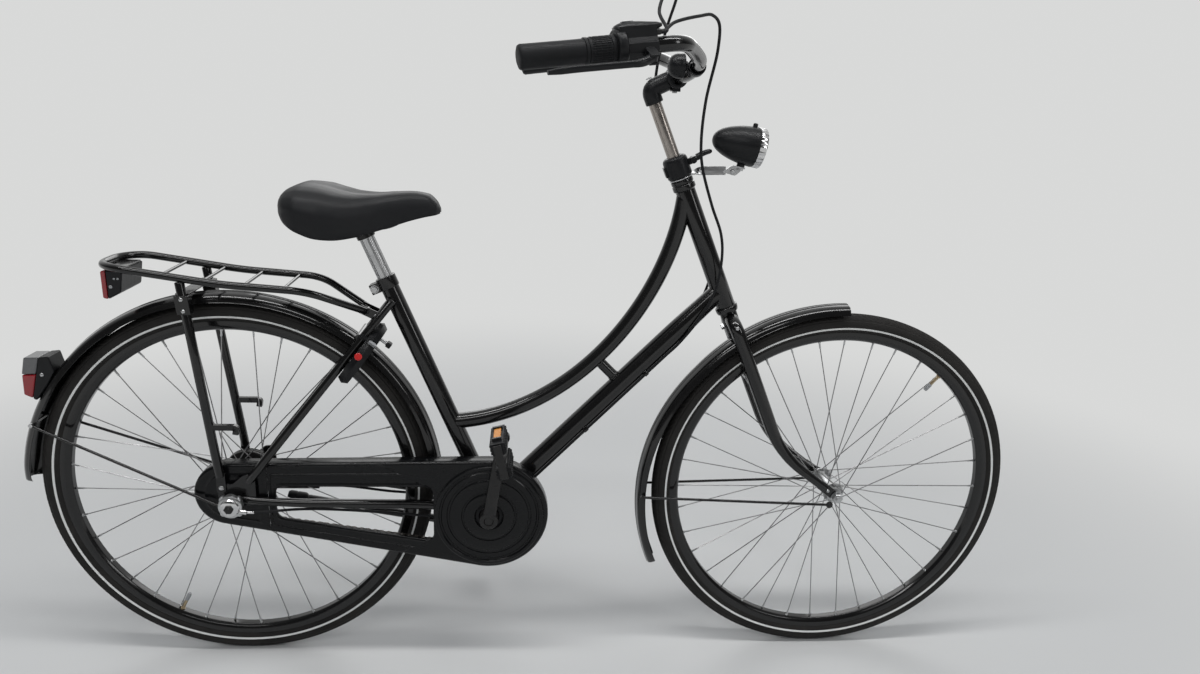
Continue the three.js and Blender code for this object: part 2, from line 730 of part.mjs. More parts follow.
// The points of a path with its corners rounded, each bend starting so far before its corner.
function rounded(corners, bend) {
  const path = [corners[0]];
  for (let i = 1; i + 1 < corners.length; i++) {
    const back = corners[i - 1].clone().sub(corners[i]);
    const on = corners[i + 1].clone().sub(corners[i]);
    const reach = Math.min(bend, back.length() / 2, on.length() / 2);
    const curve = new THREE.QuadraticBezierCurve3(
      along(corners[i], back.normalize(), reach),
      corners[i],
      along(corners[i], on.normalize(), reach),
    );
    path.push(...curve.getPoints(BEND_STEPS));
  }
  path.push(corners[corners.length - 1]);
  return path.filter((p, i) => i === 0 || p.distanceTo(path[i - 1]) > GAP);
}

// The point of a path that lies nearest to a given point.
function nearest(path, target) {
  return path.reduce((best, p) => (p.distanceTo(target) < best.distanceTo(target) ? p : best));
}

// The point where a path first reaches a place along X, going forward.
function pointAt(path, x) {
  const next = path.findIndex((p) => p.x >= x);
  const [from, to] = [path[next - 1], path[next]];
  return from.clone().lerp(to, (x - from.x) / (to.x - from.x));
}

// Groups for what moves together
const bike = new THREE.Group();
const frameGroup = new THREE.Group();
const seatGroup = new THREE.Group();
const driveGroup = new THREE.Group();
const steeringGroup = new THREE.Group();
const frontWheelGroup = new THREE.Group();
const rearWheelGroup = new THREE.Group();
steeringGroup.add(frontWheelGroup);
bike.add(frameGroup, seatGroup, driveGroup, steeringGroup, rearWheelGroup);
frontWheelGroup.position.copy(frontHub);
rearWheelGroup.position.copy(rearHub);

// Adds a solid to a group as a named mesh with its own material.
function piece(group, name, shape, finish) {
  const { vertProperties, triVerts } = shape.getMesh();
  const geometry = new THREE.BufferGeometry();
  geometry.setAttribute("position", new THREE.BufferAttribute(vertProperties, 3));
  geometry.setIndex(new THREE.BufferAttribute(triVerts, 1));
  geometry.computeVertexNormals();
  const mesh = new THREE.Mesh(geometry, new THREE.MeshStandardMaterial(finish));
  mesh.name = name;
  group.add(mesh);
}

// The wheels are built about their own hub, with the axle along Y.
const hubCentre = point(0, 0, 0);
const rimOuter = WHEEL_RADIUS - TYRE_DEPTH;
const rimInner = rimOuter - RIM_DEPTH;
const spokeReach = rimInner * Math.cos(Math.PI / WHEEL_SIDES) - GAP;
const spokePitch = 360 / SPOKES_PER_SIDE;

// The tyre is a hose open along its inside, with two beads between the rim's flanges.
function tyre() {
  const half = TYRE_WIDTH / 2;
  const middle = WHEEL_RADIUS - half;
  const bead = RIM_WIDTH / 2 - RIM_WALL - GAP;
  const beadFoot = rimOuter - (TYRE_WIDTH - RIM_WIDTH) / 2;
  const beadInner = bead - TYRE_WALL;
  const open = Math.asin(bead / half);
  const arc = (radius, steps) => Array.from({ length: steps }, (_, i) => {
    const turn = -Math.PI + open + ((Math.PI - open) * 2 * (i + 1)) / (steps + 1);
    return [middle + radius * Math.cos(turn), radius * Math.sin(turn)];
  });
  const section = [
    [beadFoot, -bead],
    [rimOuter + GAP, -bead],
    ...arc(half, TYRE_STEPS),
    [rimOuter + GAP, bead],
    [beadFoot, bead],
    [beadFoot, beadInner],
    ...arc(half - TYRE_WALL, TYRE_INNER_STEPS).reverse(),
    [beadFoot, -beadInner],
    [beadFoot, -bead],
  ];
  return revolved(section, hubCentre, ACROSS, WHEEL_SIDES);
}

// The rim is a channel open to the tyre, with the valve standing on it towards the hub.
function rim(valveAngle) {
  const half = RIM_WIDTH / 2;
  const waist = (rimOuter + rimInner) / 2;
  const section = [
    [rimInner, -half / 2],
    [waist, -half],
    [rimOuter, -half],
    [rimOuter, -half + RIM_WALL],
    [waist, -half + RIM_WALL],
    [waist, half - RIM_WALL],
    [rimOuter, half - RIM_WALL],
    [rimOuter, half],
    [waist, half],
    [rimInner, half / 2],
    [rimInner, -half / 2],
  ];
  const outward = slope(valveAngle);
  const [foot, neck, tip] = [RIM_WALL / 2, VALVE_CAP_LENGTH - VALVE_LENGTH, -VALVE_LENGTH]
    .map((reach) => along(hubCentre, outward, rimInner + reach));
  return fuse(
    revolved(section, hubCentre, ACROSS, WHEEL_SIDES),
    rod(foot, neck.clone().lerp(tip, 1 / 2), VALVE_RADIUS, THIN_SIDES),
    rod(neck, tip, VALVE_CAP_RADIUS, THIN_SIDES),
  );
}

// A hub shell with its laced spokes: every other spoke of a flange leans forwards, the rest back.
function spokedHub(width, barrelRadius, flangeRadius, flangeSpan, phase) {
  const bore = AXLE_RADIUS + GAP;
  const outer = (flangeSpan + FLANGE_THICKNESS) / 2;
  const inner = (flangeSpan - FLANGE_THICKNESS) / 2;
  const profile = [
    [bore, -width / 2],
    [HUB_NOSE_RADIUS, -width / 2],
    [HUB_NOSE_RADIUS, -outer],
    [flangeRadius, -outer],
    [flangeRadius, -inner],
    [barrelRadius, -inner],
    [barrelRadius, inner],
    [flangeRadius, inner],
    [flangeRadius, outer],
    [HUB_NOSE_RADIUS, outer],
    [HUB_NOSE_RADIUS, width / 2],
    [bore, width / 2],
    [bore, -width / 2],
  ];
  const spokes = [];
  for (const side of [RIGHT, LEFT]) {
    for (let i = 0; i < SPOKES_PER_SIDE; i++) {
      const lean = i % 2 === 0 ? 1 : -1;
      const start = phase + spokePitch * (side === LEFT ? i + 1 / 2 : i);
      const flangeFace = (side * (flangeSpan + lean * FLANGE_THICKNESS)) / 2;
      const head = aside(along(hubCentre, slope(start), flangeRadius - FLANGE_EDGE), flangeFace);
      const end = along(hubCentre, slope(start + lean * SPOKE_CROSSINGS * spokePitch), spokeReach);
      spokes.push(tube([head, aside(end, side * SPOKE_RIM_OFFSET)], SPOKE_RADIUS, SPOKE_SIDES));
    }
  }
  return fuse(revolved(profile, hubCentre, ACROSS, HUB_SIDES), ...spokes);
}

// The lock's ring lies square to a spoke's direction; its bolt passes midway between two spokes.
const lockOut = slope(LOCK_ANGLE);
const lockForward = slope(LOCK_ANGLE - 90);
const lockCentre = along(along(rearHub, lockOut, LOCK_REACH), lockForward, LOCK_AHEAD);
const lockCrossing = along(lockCentre, lockOut, -LOCK_RING_RADIUS).sub(rearHub);
const rearPhase = THREE.MathUtils.radToDeg(Math.atan2(lockCrossing.z, lockCrossing.x)) + spokePitch / 4;

piece(frontWheelGroup, "front_tyre", tyre(), TYRE_RUBBER);
piece(frontWheelGroup, "front_rim", rim(FRONT_VALVE_ANGLE), BLACK_PAINT);
piece(
  frontWheelGroup,
  "front_hub",
  spokedHub(FRONT_HUB_WIDTH, FRONT_BARREL_RADIUS, FRONT_FLANGE_RADIUS, FRONT_FLANGE_SPAN, 0),
  SILVER,
);
piece(rearWheelGroup, "rear_tyre", tyre(), TYRE_RUBBER);
piece(rearWheelGroup, "rear_rim", rim(REAR_VALVE_ANGLE), BLACK_PAINT);
piece(
  rearWheelGroup,
  "rear_hub",
  spokedHub(REAR_HUB_WIDTH, REAR_BARREL_RADIUS, REAR_FLANGE_RADIUS, REAR_FLANGE_SPAN, rearPhase),
  SILVER,
);

// The seat tube carries the crank's shell, and at its top the lug that pinches the seatpost.
const shellHalf = SHELL_WIDTH / 2;
const seatBore = SEATPOST_INSERTED + SEATPOST_TRAVEL + OVERRUN;
const lugTop = along(along(seatTubeTop, seatUp, -CLAMP_LUG_DROP), seatForward, -CLAMP_LUG_REACH / 2);
const lugBottom = along(lugTop, seatUp, -CLAMP_LUG_HEIGHT);
const clampBolt = along(lugTop.clone().lerp(lugBottom, 1 / 2), seatForward, -SEAT_TUBE_RADIUS / 2);
const seatTube = cut(
  fuse(
    rod(crankCentre, seatTubeTop, SEAT_TUBE_RADIUS),
    crossRod(crankCentre, -shellHalf, shellHalf, SHELL_RADIUS),
    strap(lugBottom, lugTop, CLAMP_LUG_WIDTH, CLAMP_LUG_REACH),
  ),
  hole(along(seatTubeTop, seatUp, -seatBore), along(seatTubeTop, seatUp, OVERRUN), SEATPOST_RADIUS + GAP),
  strap(
    along(lugBottom, seatUp, -OVERRUN),
    along(lugTop, seatUp, 2 * OVERRUN),
    CLAMP_SLOT,
    CLAMP_LUG_REACH + OVERRUN,
  ),
  crossHole(crankCentre, shellHalf, SPINDLE_RADIUS + GAP),
);
const boltHalf = CLAMP_BOLT_LENGTH / 2;
piece(
  frameGroup,
  "seat_tube",
  fuse(seatTube, crossRod(clampBolt, -boltHalf, boltHalf, CLAMP_BOLT_RADIUS, NUT_SIDES)),
  BLACK_PAINT,
);
const shellGrown = crossRod(crankCentre, -shellHalf - GAP, shellHalf + GAP, SHELL_RADIUS + GAP);
const seatTubeGrown = fuse(shellGrown, rod(crankCentre, seatTubeTop, SEAT_TUBE_RADIUS + GAP));

// The head tube with its two bearing cups, bored for the fork's steerer.
const headTop = HEAD_TUBE_LENGTH + UPPER_CUP_HEIGHT;
piece(
  frameGroup,
  "head_tube",
  cut(
    fuse(
      rod(fromHead(0), fromHead(HEAD_TUBE_LENGTH), HEAD_TUBE_RADIUS),
      rod(fromHead(-LOWER_CUP_HEIGHT), fromHead(GAP), HEAD_CUP_RADIUS),
      rod(fromHead(HEAD_TUBE_LENGTH - GAP), fromHead(headTop), HEAD_CUP_RADIUS),
    ),
    hole(fromHead(-LOWER_CUP_HEIGHT - OVERRUN), fromHead(headTop + OVERRUN), STEERER_RADIUS + GAP),
  ),
  BLACK_PAINT,
);
const headTubeGrown = rod(fromHead(-LOWER_CUP_HEIGHT), fromHead(headTop), HEAD_TUBE_RADIUS + GAP);

// The top tube leaves the seat tube nearly level and sweeps up into the back of the head tube.
const topTubeLow = along(crankCentre, seatUp, SEAT_TUBE_LENGTH * TOP_TUBE_LOW_SHARE);
const topTubeHigh = fromHead(HEAD_TUBE_LENGTH * TOP_TUBE_HIGH_SHARE, -TOP_TUBE_SETBACK);
const topTubePath = new THREE.CubicBezierCurve3(
  topTubeLow,
  along(topTubeLow, slope(TOP_TUBE_LOW_SLOPE), TOP_TUBE_LOW_HANDLE),
  along(topTubeHigh, slope(TOP_TUBE_HIGH_SLOPE), -TOP_TUBE_HIGH_HANDLE),
  topTubeHigh,
).getPoints(TOP_TUBE_STEPS);
topTubePath.push(along(topTubeHigh, slope(TOP_TUBE_HIGH_SLOPE), HEAD_TUBE_RADIUS));
piece(
  frameGroup,
  "top_tube",
  cut(tube(topTubePath, TOP_TUBE_RADIUS), seatTubeGrown, headTubeGrown),
  BLACK_PAINT,
);

// The down tube, with the short brace that ties it to the top tube.
const downTubeLow = along(crankCentre, UPWARD, -DOWN_TUBE_DROP);
const downTubeHigh = fromHead(HEAD_TUBE_LENGTH * DOWN_TUBE_HIGH_SHARE);
const downTubePath = [downTubeLow, downTubeLow.clone().lerp(downTubeHigh, DOWN_TUBE_NECK_SHARE), downTubeHigh];
const downTubeSizes = [DOWN_TUBE_RADIUS, DOWN_TUBE_RADIUS, DOWN_TUBE_NECK_RADIUS];
const downTubeAlong = downTubeHigh.clone().sub(downTubeLow).normalize();
const downTubeUnder = ACROSS.clone().cross(downTubeAlong).normalize();
function besideDownTube(share, side, reach = DOWN_TUBE_RADIUS + CABLE_STANDOFF + CABLE_RADIUS) {
  const onAxis = downTubeLow.clone().lerp(downTubeHigh, share);
  return aside(along(onAxis, downTubeUnder, reach * Math.SQRT1_2), side * reach * Math.SQRT1_2);
}
const cableGuides = [RIGHT, LEFT].flatMap((side) => CABLE_GUIDE_SHARES.map((share) => rod(
  besideDownTube(share, side, DOWN_TUBE_RADIUS - CABLE_GUIDE_RADIUS),
  besideDownTube(share, side, DOWN_TUBE_RADIUS + CABLE_STANDOFF - GAP),
  CABLE_GUIDE_RADIUS,
  NUT_SIDES,
)));
const braceFoot = downTubeLow.clone().lerp(downTubeHigh, BRACE_SHARE);
piece(
  frameGroup,
  "down_tube",
  fuse(
    cut(tube(downTubePath, downTubeSizes), seatTubeGrown, headTubeGrown),
    ...cableGuides,
    cut(rod(braceFoot, nearest(topTubePath, braceFoot), BRACE_RADIUS), tube(topTubePath, TOP_TUBE_RADIUS + GAP)),
  ),
  BLACK_PAINT,
);

// The chainstays run outside the chain case at the rear and inside it at the crank.
const dropoutInner = REAR_AXLE_SPAN / 2;
const dropoutOuter = dropoutInner + DROPOUT_THICKNESS;
const stayPoint = (ahead, side) => {
  const share = (ahead - CHAINSTAY_START) / (CRANK_FORWARD - CHAINSTAY_START);
  return point(ahead, side, THREE.MathUtils.lerp(rearHub.z, crankCentre.z, share));
};
const chainstayPath = rounded(
  [
    stayPoint(CHAINSTAY_START, CHAINSTAY_TIP_OFFSET),
    stayPoint(CHAINSTAY_BEND, CHAINSTAY_TIP_OFFSET),
    stayPoint(CHAINSTAY_WAIST, CHAINSTAY_WAIST_OFFSET),
    stayPoint(CRANK_FORWARD - CHAINSTAY_END_SETBACK, CHAINSTAY_END_OFFSET),
  ],
  STAY_BEND,
);
const chainstaySize = (p) => {
  const share = (p.x - CHAINSTAY_START) / (CHAINSTAY_WAIST - CHAINSTAY_START);
  return THREE.MathUtils.lerp(CHAINSTAY_TIP_RADIUS, CHAINSTAY_RADIUS, Math.min(share, 1));
};
const dropoutShape = outline(
  DROPOUT_SHARES.map(([ahead, rise]) => [DROPOUT_AHEAD * ahead, rearHub.z + DROPOUT_RISE * rise]),
  DROPOUT_CORNER,
);
const axleSlot = strap(
  fromRearHub(-DROPOUT_AHEAD, 0, 0),
  rearHub,
  2 * (dropoutOuter + OVERRUN),
  2 * (AXLE_RADIUS + GAP),
);
const axleHole = crossHole(rearHub, dropoutOuter, AXLE_RADIUS + GAP);
const chainstay = fuse(
  tube(chainstayPath, chainstayPath.map(chainstaySize)),
  cut(plate(dropoutShape, dropoutInner, dropoutOuter), axleSlot, axleHole),
);
piece(frameGroup, "right_chainstay", cut(otherSide(chainstay), seatTubeGrown), BLACK_PAINT);

// The kickstand turns on a pin below a plate that is welded to the left chainstay.
const fromCrank = (back, side, drop) => point(crankCentre.x - back, side, crankCentre.z - drop);
const standPivot = fromCrank(STAND_PIVOT_BACK, STAND_PIVOT_OFFSET, STAND_PIVOT_DROP);
const standFoot = fromCrank(STAND_FOOT_BACK, STAND_FOOT_OFFSET, STAND_FOOT_DROP);
const standFolded = standFoot.clone().sub(standPivot);
const standOpen = point(-STAND_OPEN_BACK, STAND_OPEN_OUT, -standPivot.z);
const standAxis = standFolded.clone().cross(standOpen).normalize();
const standElbow = point(-STAND_BEND_BACK, 0, -STAND_BEND_DROP);
const standBend = along(standPivot.clone().add(standElbow), standAxis, -standElbow.dot(standAxis));
const standEyeHalf = STAND_EYE_LENGTH / 2;
const standEar = along(standPivot, standAxis, -standEyeHalf - GAP);
const standEarEnd = along(standEar, standAxis, -STAND_EAR_THICKNESS);
const standPinEnd = along(standPivot, standAxis, standEyeHalf + GAP);
const standPlateTop = fromCrank(STAND_PLATE_BACK, STAND_PLATE_INNER, STAND_PLATE_DROP);
const standPlate = boxIn(
  new THREE.Matrix4(),
  along(standPlateTop, UPWARD, -STAND_PLATE_THICKNESS),
  point(standPlateTop.x + STAND_PLATE_LENGTH, STAND_PLATE_OUTER, standPlateTop.z),
);
const standStrut = point(
  standPivot.x, STAND_PLATE_OUTER - STAND_EYE_RADIUS / 2, standPlateTop.z - STAND_PLATE_THICKNESS / 2,
);
const standMount = fuse(
  standPlate,
  rod(standEar, standEarEnd, STAND_EYE_RADIUS),
  rod(standStrut, standEar.clone().lerp(standEarEnd, 1 / 2), STAND_EAR_THICKNESS / 2),
  rod(standEar, standPinEnd, STAND_PIN_RADIUS),
  rod(standPinEnd, along(standPinEnd, standAxis, STAND_PIN_HEAD), STAND_PIN_RADIUS + STAND_PIN_HEAD),
);
piece(frameGroup, "left_chainstay", fuse(cut(chainstay, seatTubeGrown), standMount), BLACK_PAINT);
const standLegPath = rounded([standPivot, standBend, standFoot], STAND_FOOT_LENGTH);
const footStart = along(standFoot, standBend.clone().sub(standFoot).normalize(), STAND_FOOT_LENGTH);
piece(
  frameGroup,
  "kickstand_leg",
  cut(
    fuse(
      rod(along(standPivot, standAxis, -standEyeHalf), along(standPivot, standAxis, standEyeHalf), STAND_EYE_RADIUS),
      tube(standLegPath, STAND_LEG_RADIUS, THIN_SIDES),
      rod(footStart, standFoot, STAND_FOOT_RADIUS, THIN_SIDES),
    ),
    hole(
      along(standPivot, standAxis, -standEyeHalf - OVERRUN),
      along(standPivot, standAxis, standEyeHalf + OVERRUN),
      STAND_PIN_RADIUS + GAP,
    ),
  ),
  BLACK_PAINT,
);

// The seatstays bow outwards round the lock and the mudguard.
const seatstayTop = aside(along(crankCentre, seatUp, SEAT_TUBE_LENGTH * SEATSTAY_TOP_SHARE), SEATSTAY_TOP_OFFSET);
const seatstayBend = fromRearHub(SEATSTAY_BEND_AHEAD, SEATSTAY_LOW_OFFSET, SEATSTAY_BEND_RISE);
const seatstayWaist = seatstayBend.clone().lerp(seatstayTop, SEATSTAY_WAIST_SHARE).setY(SEATSTAY_WAIST_OFFSET);
const seatstayPath = rounded(
  [
    fromRearHub(SEATSTAY_LOW_AHEAD, SEATSTAY_LOW_OFFSET, SEATSTAY_LOW_RISE),
    seatstayBend,
    seatstayWaist,
    seatstayTop,
  ],
  STAY_BEND,
);
const dropoutGrown = plate(dropoutShape, dropoutInner - GAP, dropoutOuter + GAP);
const seatstay = cut(tube(seatstayPath, SEATSTAY_RADIUS), dropoutGrown);
const seatstayGrown = tube(seatstayPath, SEATSTAY_RADIUS + GAP);
const bridge = crossRod(
  along(rearHub, slope(BRIDGE_ANGLE), BRIDGE_REACH), -BRIDGE_HALF_WIDTH, BRIDGE_HALF_WIDTH, BRIDGE_RADIUS,
);
piece(frameGroup, "left_seatstay", cut(seatstay, seatTubeGrown), BLACK_PAINT);
piece(
  frameGroup,
  "right_seatstay",
  fuse(cut(otherSide(seatstay), seatTubeGrown), cut(bridge, seatstayGrown)),
  BLACK_PAINT,
);

// The rear axle, with its cones, its nuts and the gear's shift unit on the right.
const nutStart = dropoutOuter + GAP;
const nutEnd = nutStart + NUT_THICKNESS;
const brakeInner = REAR_HUB_WIDTH / 2 + BRAKE_CLEARANCE;
const brakeOuter = brakeInner + BRAKE_DRUM_WIDTH;
const driverInner = REAR_HUB_WIDTH / 2 + GAP;
const driverOuter = driverInner + DRIVER_LENGTH;
const shiftStart = nutEnd + GAP;
const shiftEnd = shiftStart + SHIFT_UNIT_LENGTH;
const shiftCentre = fromRearHub(SHIFT_UNIT_AHEAD, 0, -SHIFT_UNIT_DROP);
const shiftCorners = [[-1, -1], [1, -1], [1, 1], [-1, 1]].map(([ahead, up]) => [
  shiftCentre.x + (ahead * SHIFT_UNIT_WIDTH) / 2,
  shiftCentre.z + (up * SHIFT_UNIT_HEIGHT) / 2,
]);
piece(
  frameGroup,
  "rear_axle",
  fuse(
    crossRod(rearHub, -shiftStart - OVERRUN, nutEnd + AXLE_STUB, AXLE_RADIUS),
    crossRod(rearHub, -dropoutInner + GAP, -driverOuter - GAP, CONE_RADIUS),
    crossRod(rearHub, brakeOuter + GAP, dropoutInner - GAP, CONE_RADIUS),
    crossRod(rearHub, -nutEnd, -nutStart, NUT_RADIUS, NUT_SIDES),
    crossRod(rearHub, nutStart, nutEnd, NUT_RADIUS, NUT_SIDES),
    plate(outline(shiftCorners, SHIFT_UNIT_CORNER), -shiftEnd, -shiftStart, BEND_STEPS),
  ),
  SILVER,
);

// The roller brake's drum sits still on the axle, held by an arm clipped to the left chainstay.
const armEnd = fromRearHub(BRAKE_ARM_LENGTH, brakeOuter - BRAKE_ARM_WIDTH / 2, -BRAKE_ARM_DROP);
const clipCentre = pointAt(chainstayPath, armEnd.x);
const clipAxis = pointAt(chainstayPath, armEnd.x + OVERRUN).sub(clipCentre).normalize();
const clipBore = chainstaySize(clipCentre) + 2 * GAP;
const clipEnds = [-1, 1].map((end) => along(clipCentre, clipAxis, (end * BRAKE_CLIP_WIDTH) / 2));
const clipHole = hole(
  along(clipEnds[0], clipAxis, -OVERRUN), along(clipEnds[1], clipAxis, OVERRUN), clipBore,
);
piece(
  frameGroup,
  "rear_brake",
  cut(
    fuse(
      crossRod(rearHub, brakeInner, brakeOuter - BRAKE_DRUM_STEP, BRAKE_DRUM_RADIUS, 2 * ROUND_SIDES),
      crossRod(rearHub, brakeInner, brakeOuter, BRAKE_DRUM_RADIUS - BRAKE_DRUM_STEP, 2 * ROUND_SIDES),
      strap(fromRearHub(0, armEnd.y, -BRAKE_ARM_DROP), armEnd, BRAKE_ARM_THICKNESS, BRAKE_ARM_WIDTH),
      rod(armEnd, clipCentre, BRAKE_ARM_THICKNESS, THIN_SIDES),
      rod(clipEnds[0], clipEnds[1], clipBore + BRAKE_CLIP_WALL),
    ),
    clipHole,
    crossHole(rearHub, brakeOuter, AXLE_RADIUS + GAP),
  ),
  BLACK_PAINT,
);

// How far a mudguard's crown lies from its hub: it spreads away from the wheel towards its tail.
function guardReach(angle, end, spread) {
  return GUARD_RADIUS + (spread * Math.max(angle - GUARD_SPREAD_ANGLE, 0)) / (end - GUARD_SPREAD_ANGLE);
}

// A mudguard: a thin bowed section carried round the hub from one angle to another.
function guard(centre, start, end, spread, grow = 0) {
  const count = Math.ceil((end - start) / GUARD_STEP_ANGLE);
  const half = GUARD_WIDTH / 2 + grow;
  const rightHalf = GUARD_SECTION_SHARES.slice(1).reverse().map(([across, drop]) => [-across, drop]);
  const section = [...rightHalf, ...GUARD_SECTION_SHARES];
  const angles = Array.from({ length: count + 1 }, (_, i) => start + ((end - start) * i) / count);
  const rings = angles.map((angle) => {
    const reach = guardReach(angle, end, spread) + grow;
    const tail = Math.sqrt(Math.min((end - angle) / GUARD_TIP_ANGLE, 1));
    const width = THREE.MathUtils.lerp(GUARD_TIP_SHARE, 1, tail);
    const at = (across, out) => aside(along(centre, slope(angle), out), across * width);
    const outer = section.map(([across, drop]) => at(across * half, reach - GUARD_CROWN * drop));
    const inner = section.map(([across, drop]) => (
      at(across * (half - GUARD_WALL), reach - GUARD_CROWN * drop - GUARD_WALL * (1 - drop))
    ));
    return [...outer, ...inner.reverse()];
  });
  const last = 2 * section.length - 1;
  const ends = section.slice(1).flatMap((_, i) => [[i, i + 1, last - i], [i + 1, last - i - 1, last - i]]);
  return lofted(rings, ends);
}

// The path of a mudguard's stay: from an eye by the axle, under the guard and to the other eye.
function stayPath(centre, face, angle, reach) {
  const eyeOffset = face + STAY_ROD_RADIUS + STAY_EYE_STANDOFF;
  const eye = aside(along(along(centre, FORWARD, -STAY_EYE_BACK), UPWARD, -STAY_EYE_DROP), eyeOffset);
  const edge = GUARD_WIDTH / 2 + 2 * STAY_ROD_RADIUS;
  const corner = aside(along(centre, slope(angle), reach - STAY_ROD_SINK), edge);
  const mirror = (p) => point(p.x, -p.y, p.z);
  return rounded([eye, corner, mirror(corner), mirror(eye)], STAY_ROD_BEND);
}

// A mudguard's stay: a bent rod with a flat eye at each end.
function guardStay(path) {
  const half = STAY_ROD_RADIUS + STAY_EYE_STANDOFF;
  const eyes = [path[0], path[path.length - 1]].map((eye) => (
    rod(aside(eye, -half), aside(eye, half), STAY_EYE_RADIUS)
  ));
  return fuse(tube(path, STAY_ROD_RADIUS, THIN_SIDES), ...eyes);
}

const rearStayReach = guardReach(REAR_STAY_ANGLE, REAR_GUARD_END, REAR_GUARD_SPREAD);
const rearStayPath = stayPath(rearHub, nutStart, REAR_STAY_ANGLE, rearStayReach);
piece(
  frameGroup,
  "rear_mudguard",
  cut(
    guard(rearHub, REAR_GUARD_START, REAR_GUARD_END, REAR_GUARD_SPREAD),
    tube(rearStayPath, STAY_ROD_RADIUS + GAP, THIN_SIDES),
  ),
  BLACK_PAINT,
);
piece(frameGroup, "rear_mudguard_stay", guardStay(rearStayPath), BLACK_PAINT);

// The carrier: one tube bent round the deck, with rods across it and a bar at its nose.
const railRight = [
  fromRearHub(RAIL_NOSE_AHEAD, -RAIL_NOSE_OFFSET, RAIL_NOSE_HEIGHT - WHEEL_RADIUS),
  fromRearHub(RAIL_FRONT_AHEAD, -RAIL_OFFSET, RAIL_FRONT_HEIGHT - WHEEL_RADIUS),
  fromRearHub(RAIL_MIDDLE_AHEAD, -RAIL_OFFSET, RAIL_MIDDLE_HEIGHT - WHEEL_RADIUS),
  fromRearHub(-RAIL_REAR_BACK, -RAIL_OFFSET, RAIL_REAR_HEIGHT - WHEEL_RADIUS),
  fromRearHub(-RAIL_REAR_BACK - RAIL_TAIL_REACH, -RAIL_TAIL_OFFSET, RAIL_REAR_HEIGHT - WHEEL_RADIUS),
];
const railLeft = railRight.map((p) => point(p.x, -p.y, p.z)).reverse();
const railPath = rounded([...railRight, ...railLeft], RAIL_BEND);
const railStretch = railLeft.slice(1);
const crossRods = Array.from({ length: CROSS_RODS }, (_, i) => {
  const place = pointAt(railStretch, CROSS_ROD_PITCH * i - CROSS_ROD_BACK).setY(0);
  return crossRod(place, -RAIL_OFFSET, RAIL_OFFSET, CROSS_ROD_RADIUS, THIN_SIDES);
});
const noseBar = railRight[0].clone().setY(0);
const carrierLightTop = railLeft[0].z - RAIL_RADIUS - GAP;
const lightPlate = boxIn(
  new THREE.Matrix4(),
  point(railLeft[0].x, -LIGHT_PLATE_WIDTH / 2, carrierLightTop + GAP),
  point(CARRIER_LIGHT_LENGTH - CARRIER_LIGHT_BACK, LIGHT_PLATE_WIDTH / 2, railLeft[0].z - RAIL_RADIUS / 2),
);
piece(
  frameGroup,
  "carrier",
  fuse(
    tube(railPath, RAIL_RADIUS, THIN_SIDES),
    lightPlate,
    ...crossRods,
    crossRod(noseBar, -RAIL_NOSE_OFFSET, RAIL_NOSE_OFFSET, NOSE_BAR_RADIUS, THIN_SIDES),
  ),
  BLACK_PAINT,
);
const railGrown = tube(railPath, RAIL_RADIUS + GAP, THIN_SIDES);

// The carrier's legs stand on flat tabs beside the dropouts, and each has a hook for a bag.
const legTop = pointAt(railStretch, -LEG_TOP_BACK).setY(LEG_TOP_OFFSET);
const legFoot = fromRearHub(-LEG_FOOT_BACK, LEG_FOOT_OFFSET, LEG_FOOT_RISE);
const legAt = (rise) => {
  const share = (rise - LEG_FOOT_RISE) / (legTop.z - legFoot.z);
  return legFoot.clone().lerp(legTop, share);
};
const hookRoot = legAt(HOOK_RISE);
const hookBend = point(HOOK_AHEAD, hookRoot.y, hookRoot.z);
const leg = fuse(
  cut(rod(legFoot, legTop, LEG_RADIUS, THIN_SIDES), railGrown),
  tube([hookRoot, hookBend, along(hookBend, slope(-100), HOOK_TIP)], HOOK_RADIUS, THIN_SIDES),
  boxIn(
    new THREE.Matrix4(),
    fromRearHub(-LEG_FOOT_BACK - LEG_TAB_WIDTH / 2, nutStart, LEG_TAB_RISE),
    fromRearHub(-LEG_FOOT_BACK + LEG_TAB_WIDTH / 2, nutStart + LEG_TAB_THICKNESS, LEG_FOOT_RISE + LEG_RADIUS),
  ),
);
const legBarCentre = legAt(LEG_BAR_RISE);
const legBar = boxIn(
  new THREE.Matrix4(),
  point(legBarCentre.x - LEG_BAR_WIDTH / 2, -legBarCentre.y, legBarCentre.z - LEG_BAR_THICKNESS / 2),
  point(legBarCentre.x + LEG_BAR_WIDTH / 2, legBarCentre.y, legBarCentre.z + LEG_BAR_THICKNESS / 2),
);
const legGrown = rod(legFoot, legTop, LEG_RADIUS + GAP, THIN_SIDES);
piece(frameGroup, "left_carrier_leg", leg, BLACK_PAINT);
piece(frameGroup, "right_carrier_leg", fuse(otherSide(leg), cut(legBar, legGrown)), BLACK_PAINT);

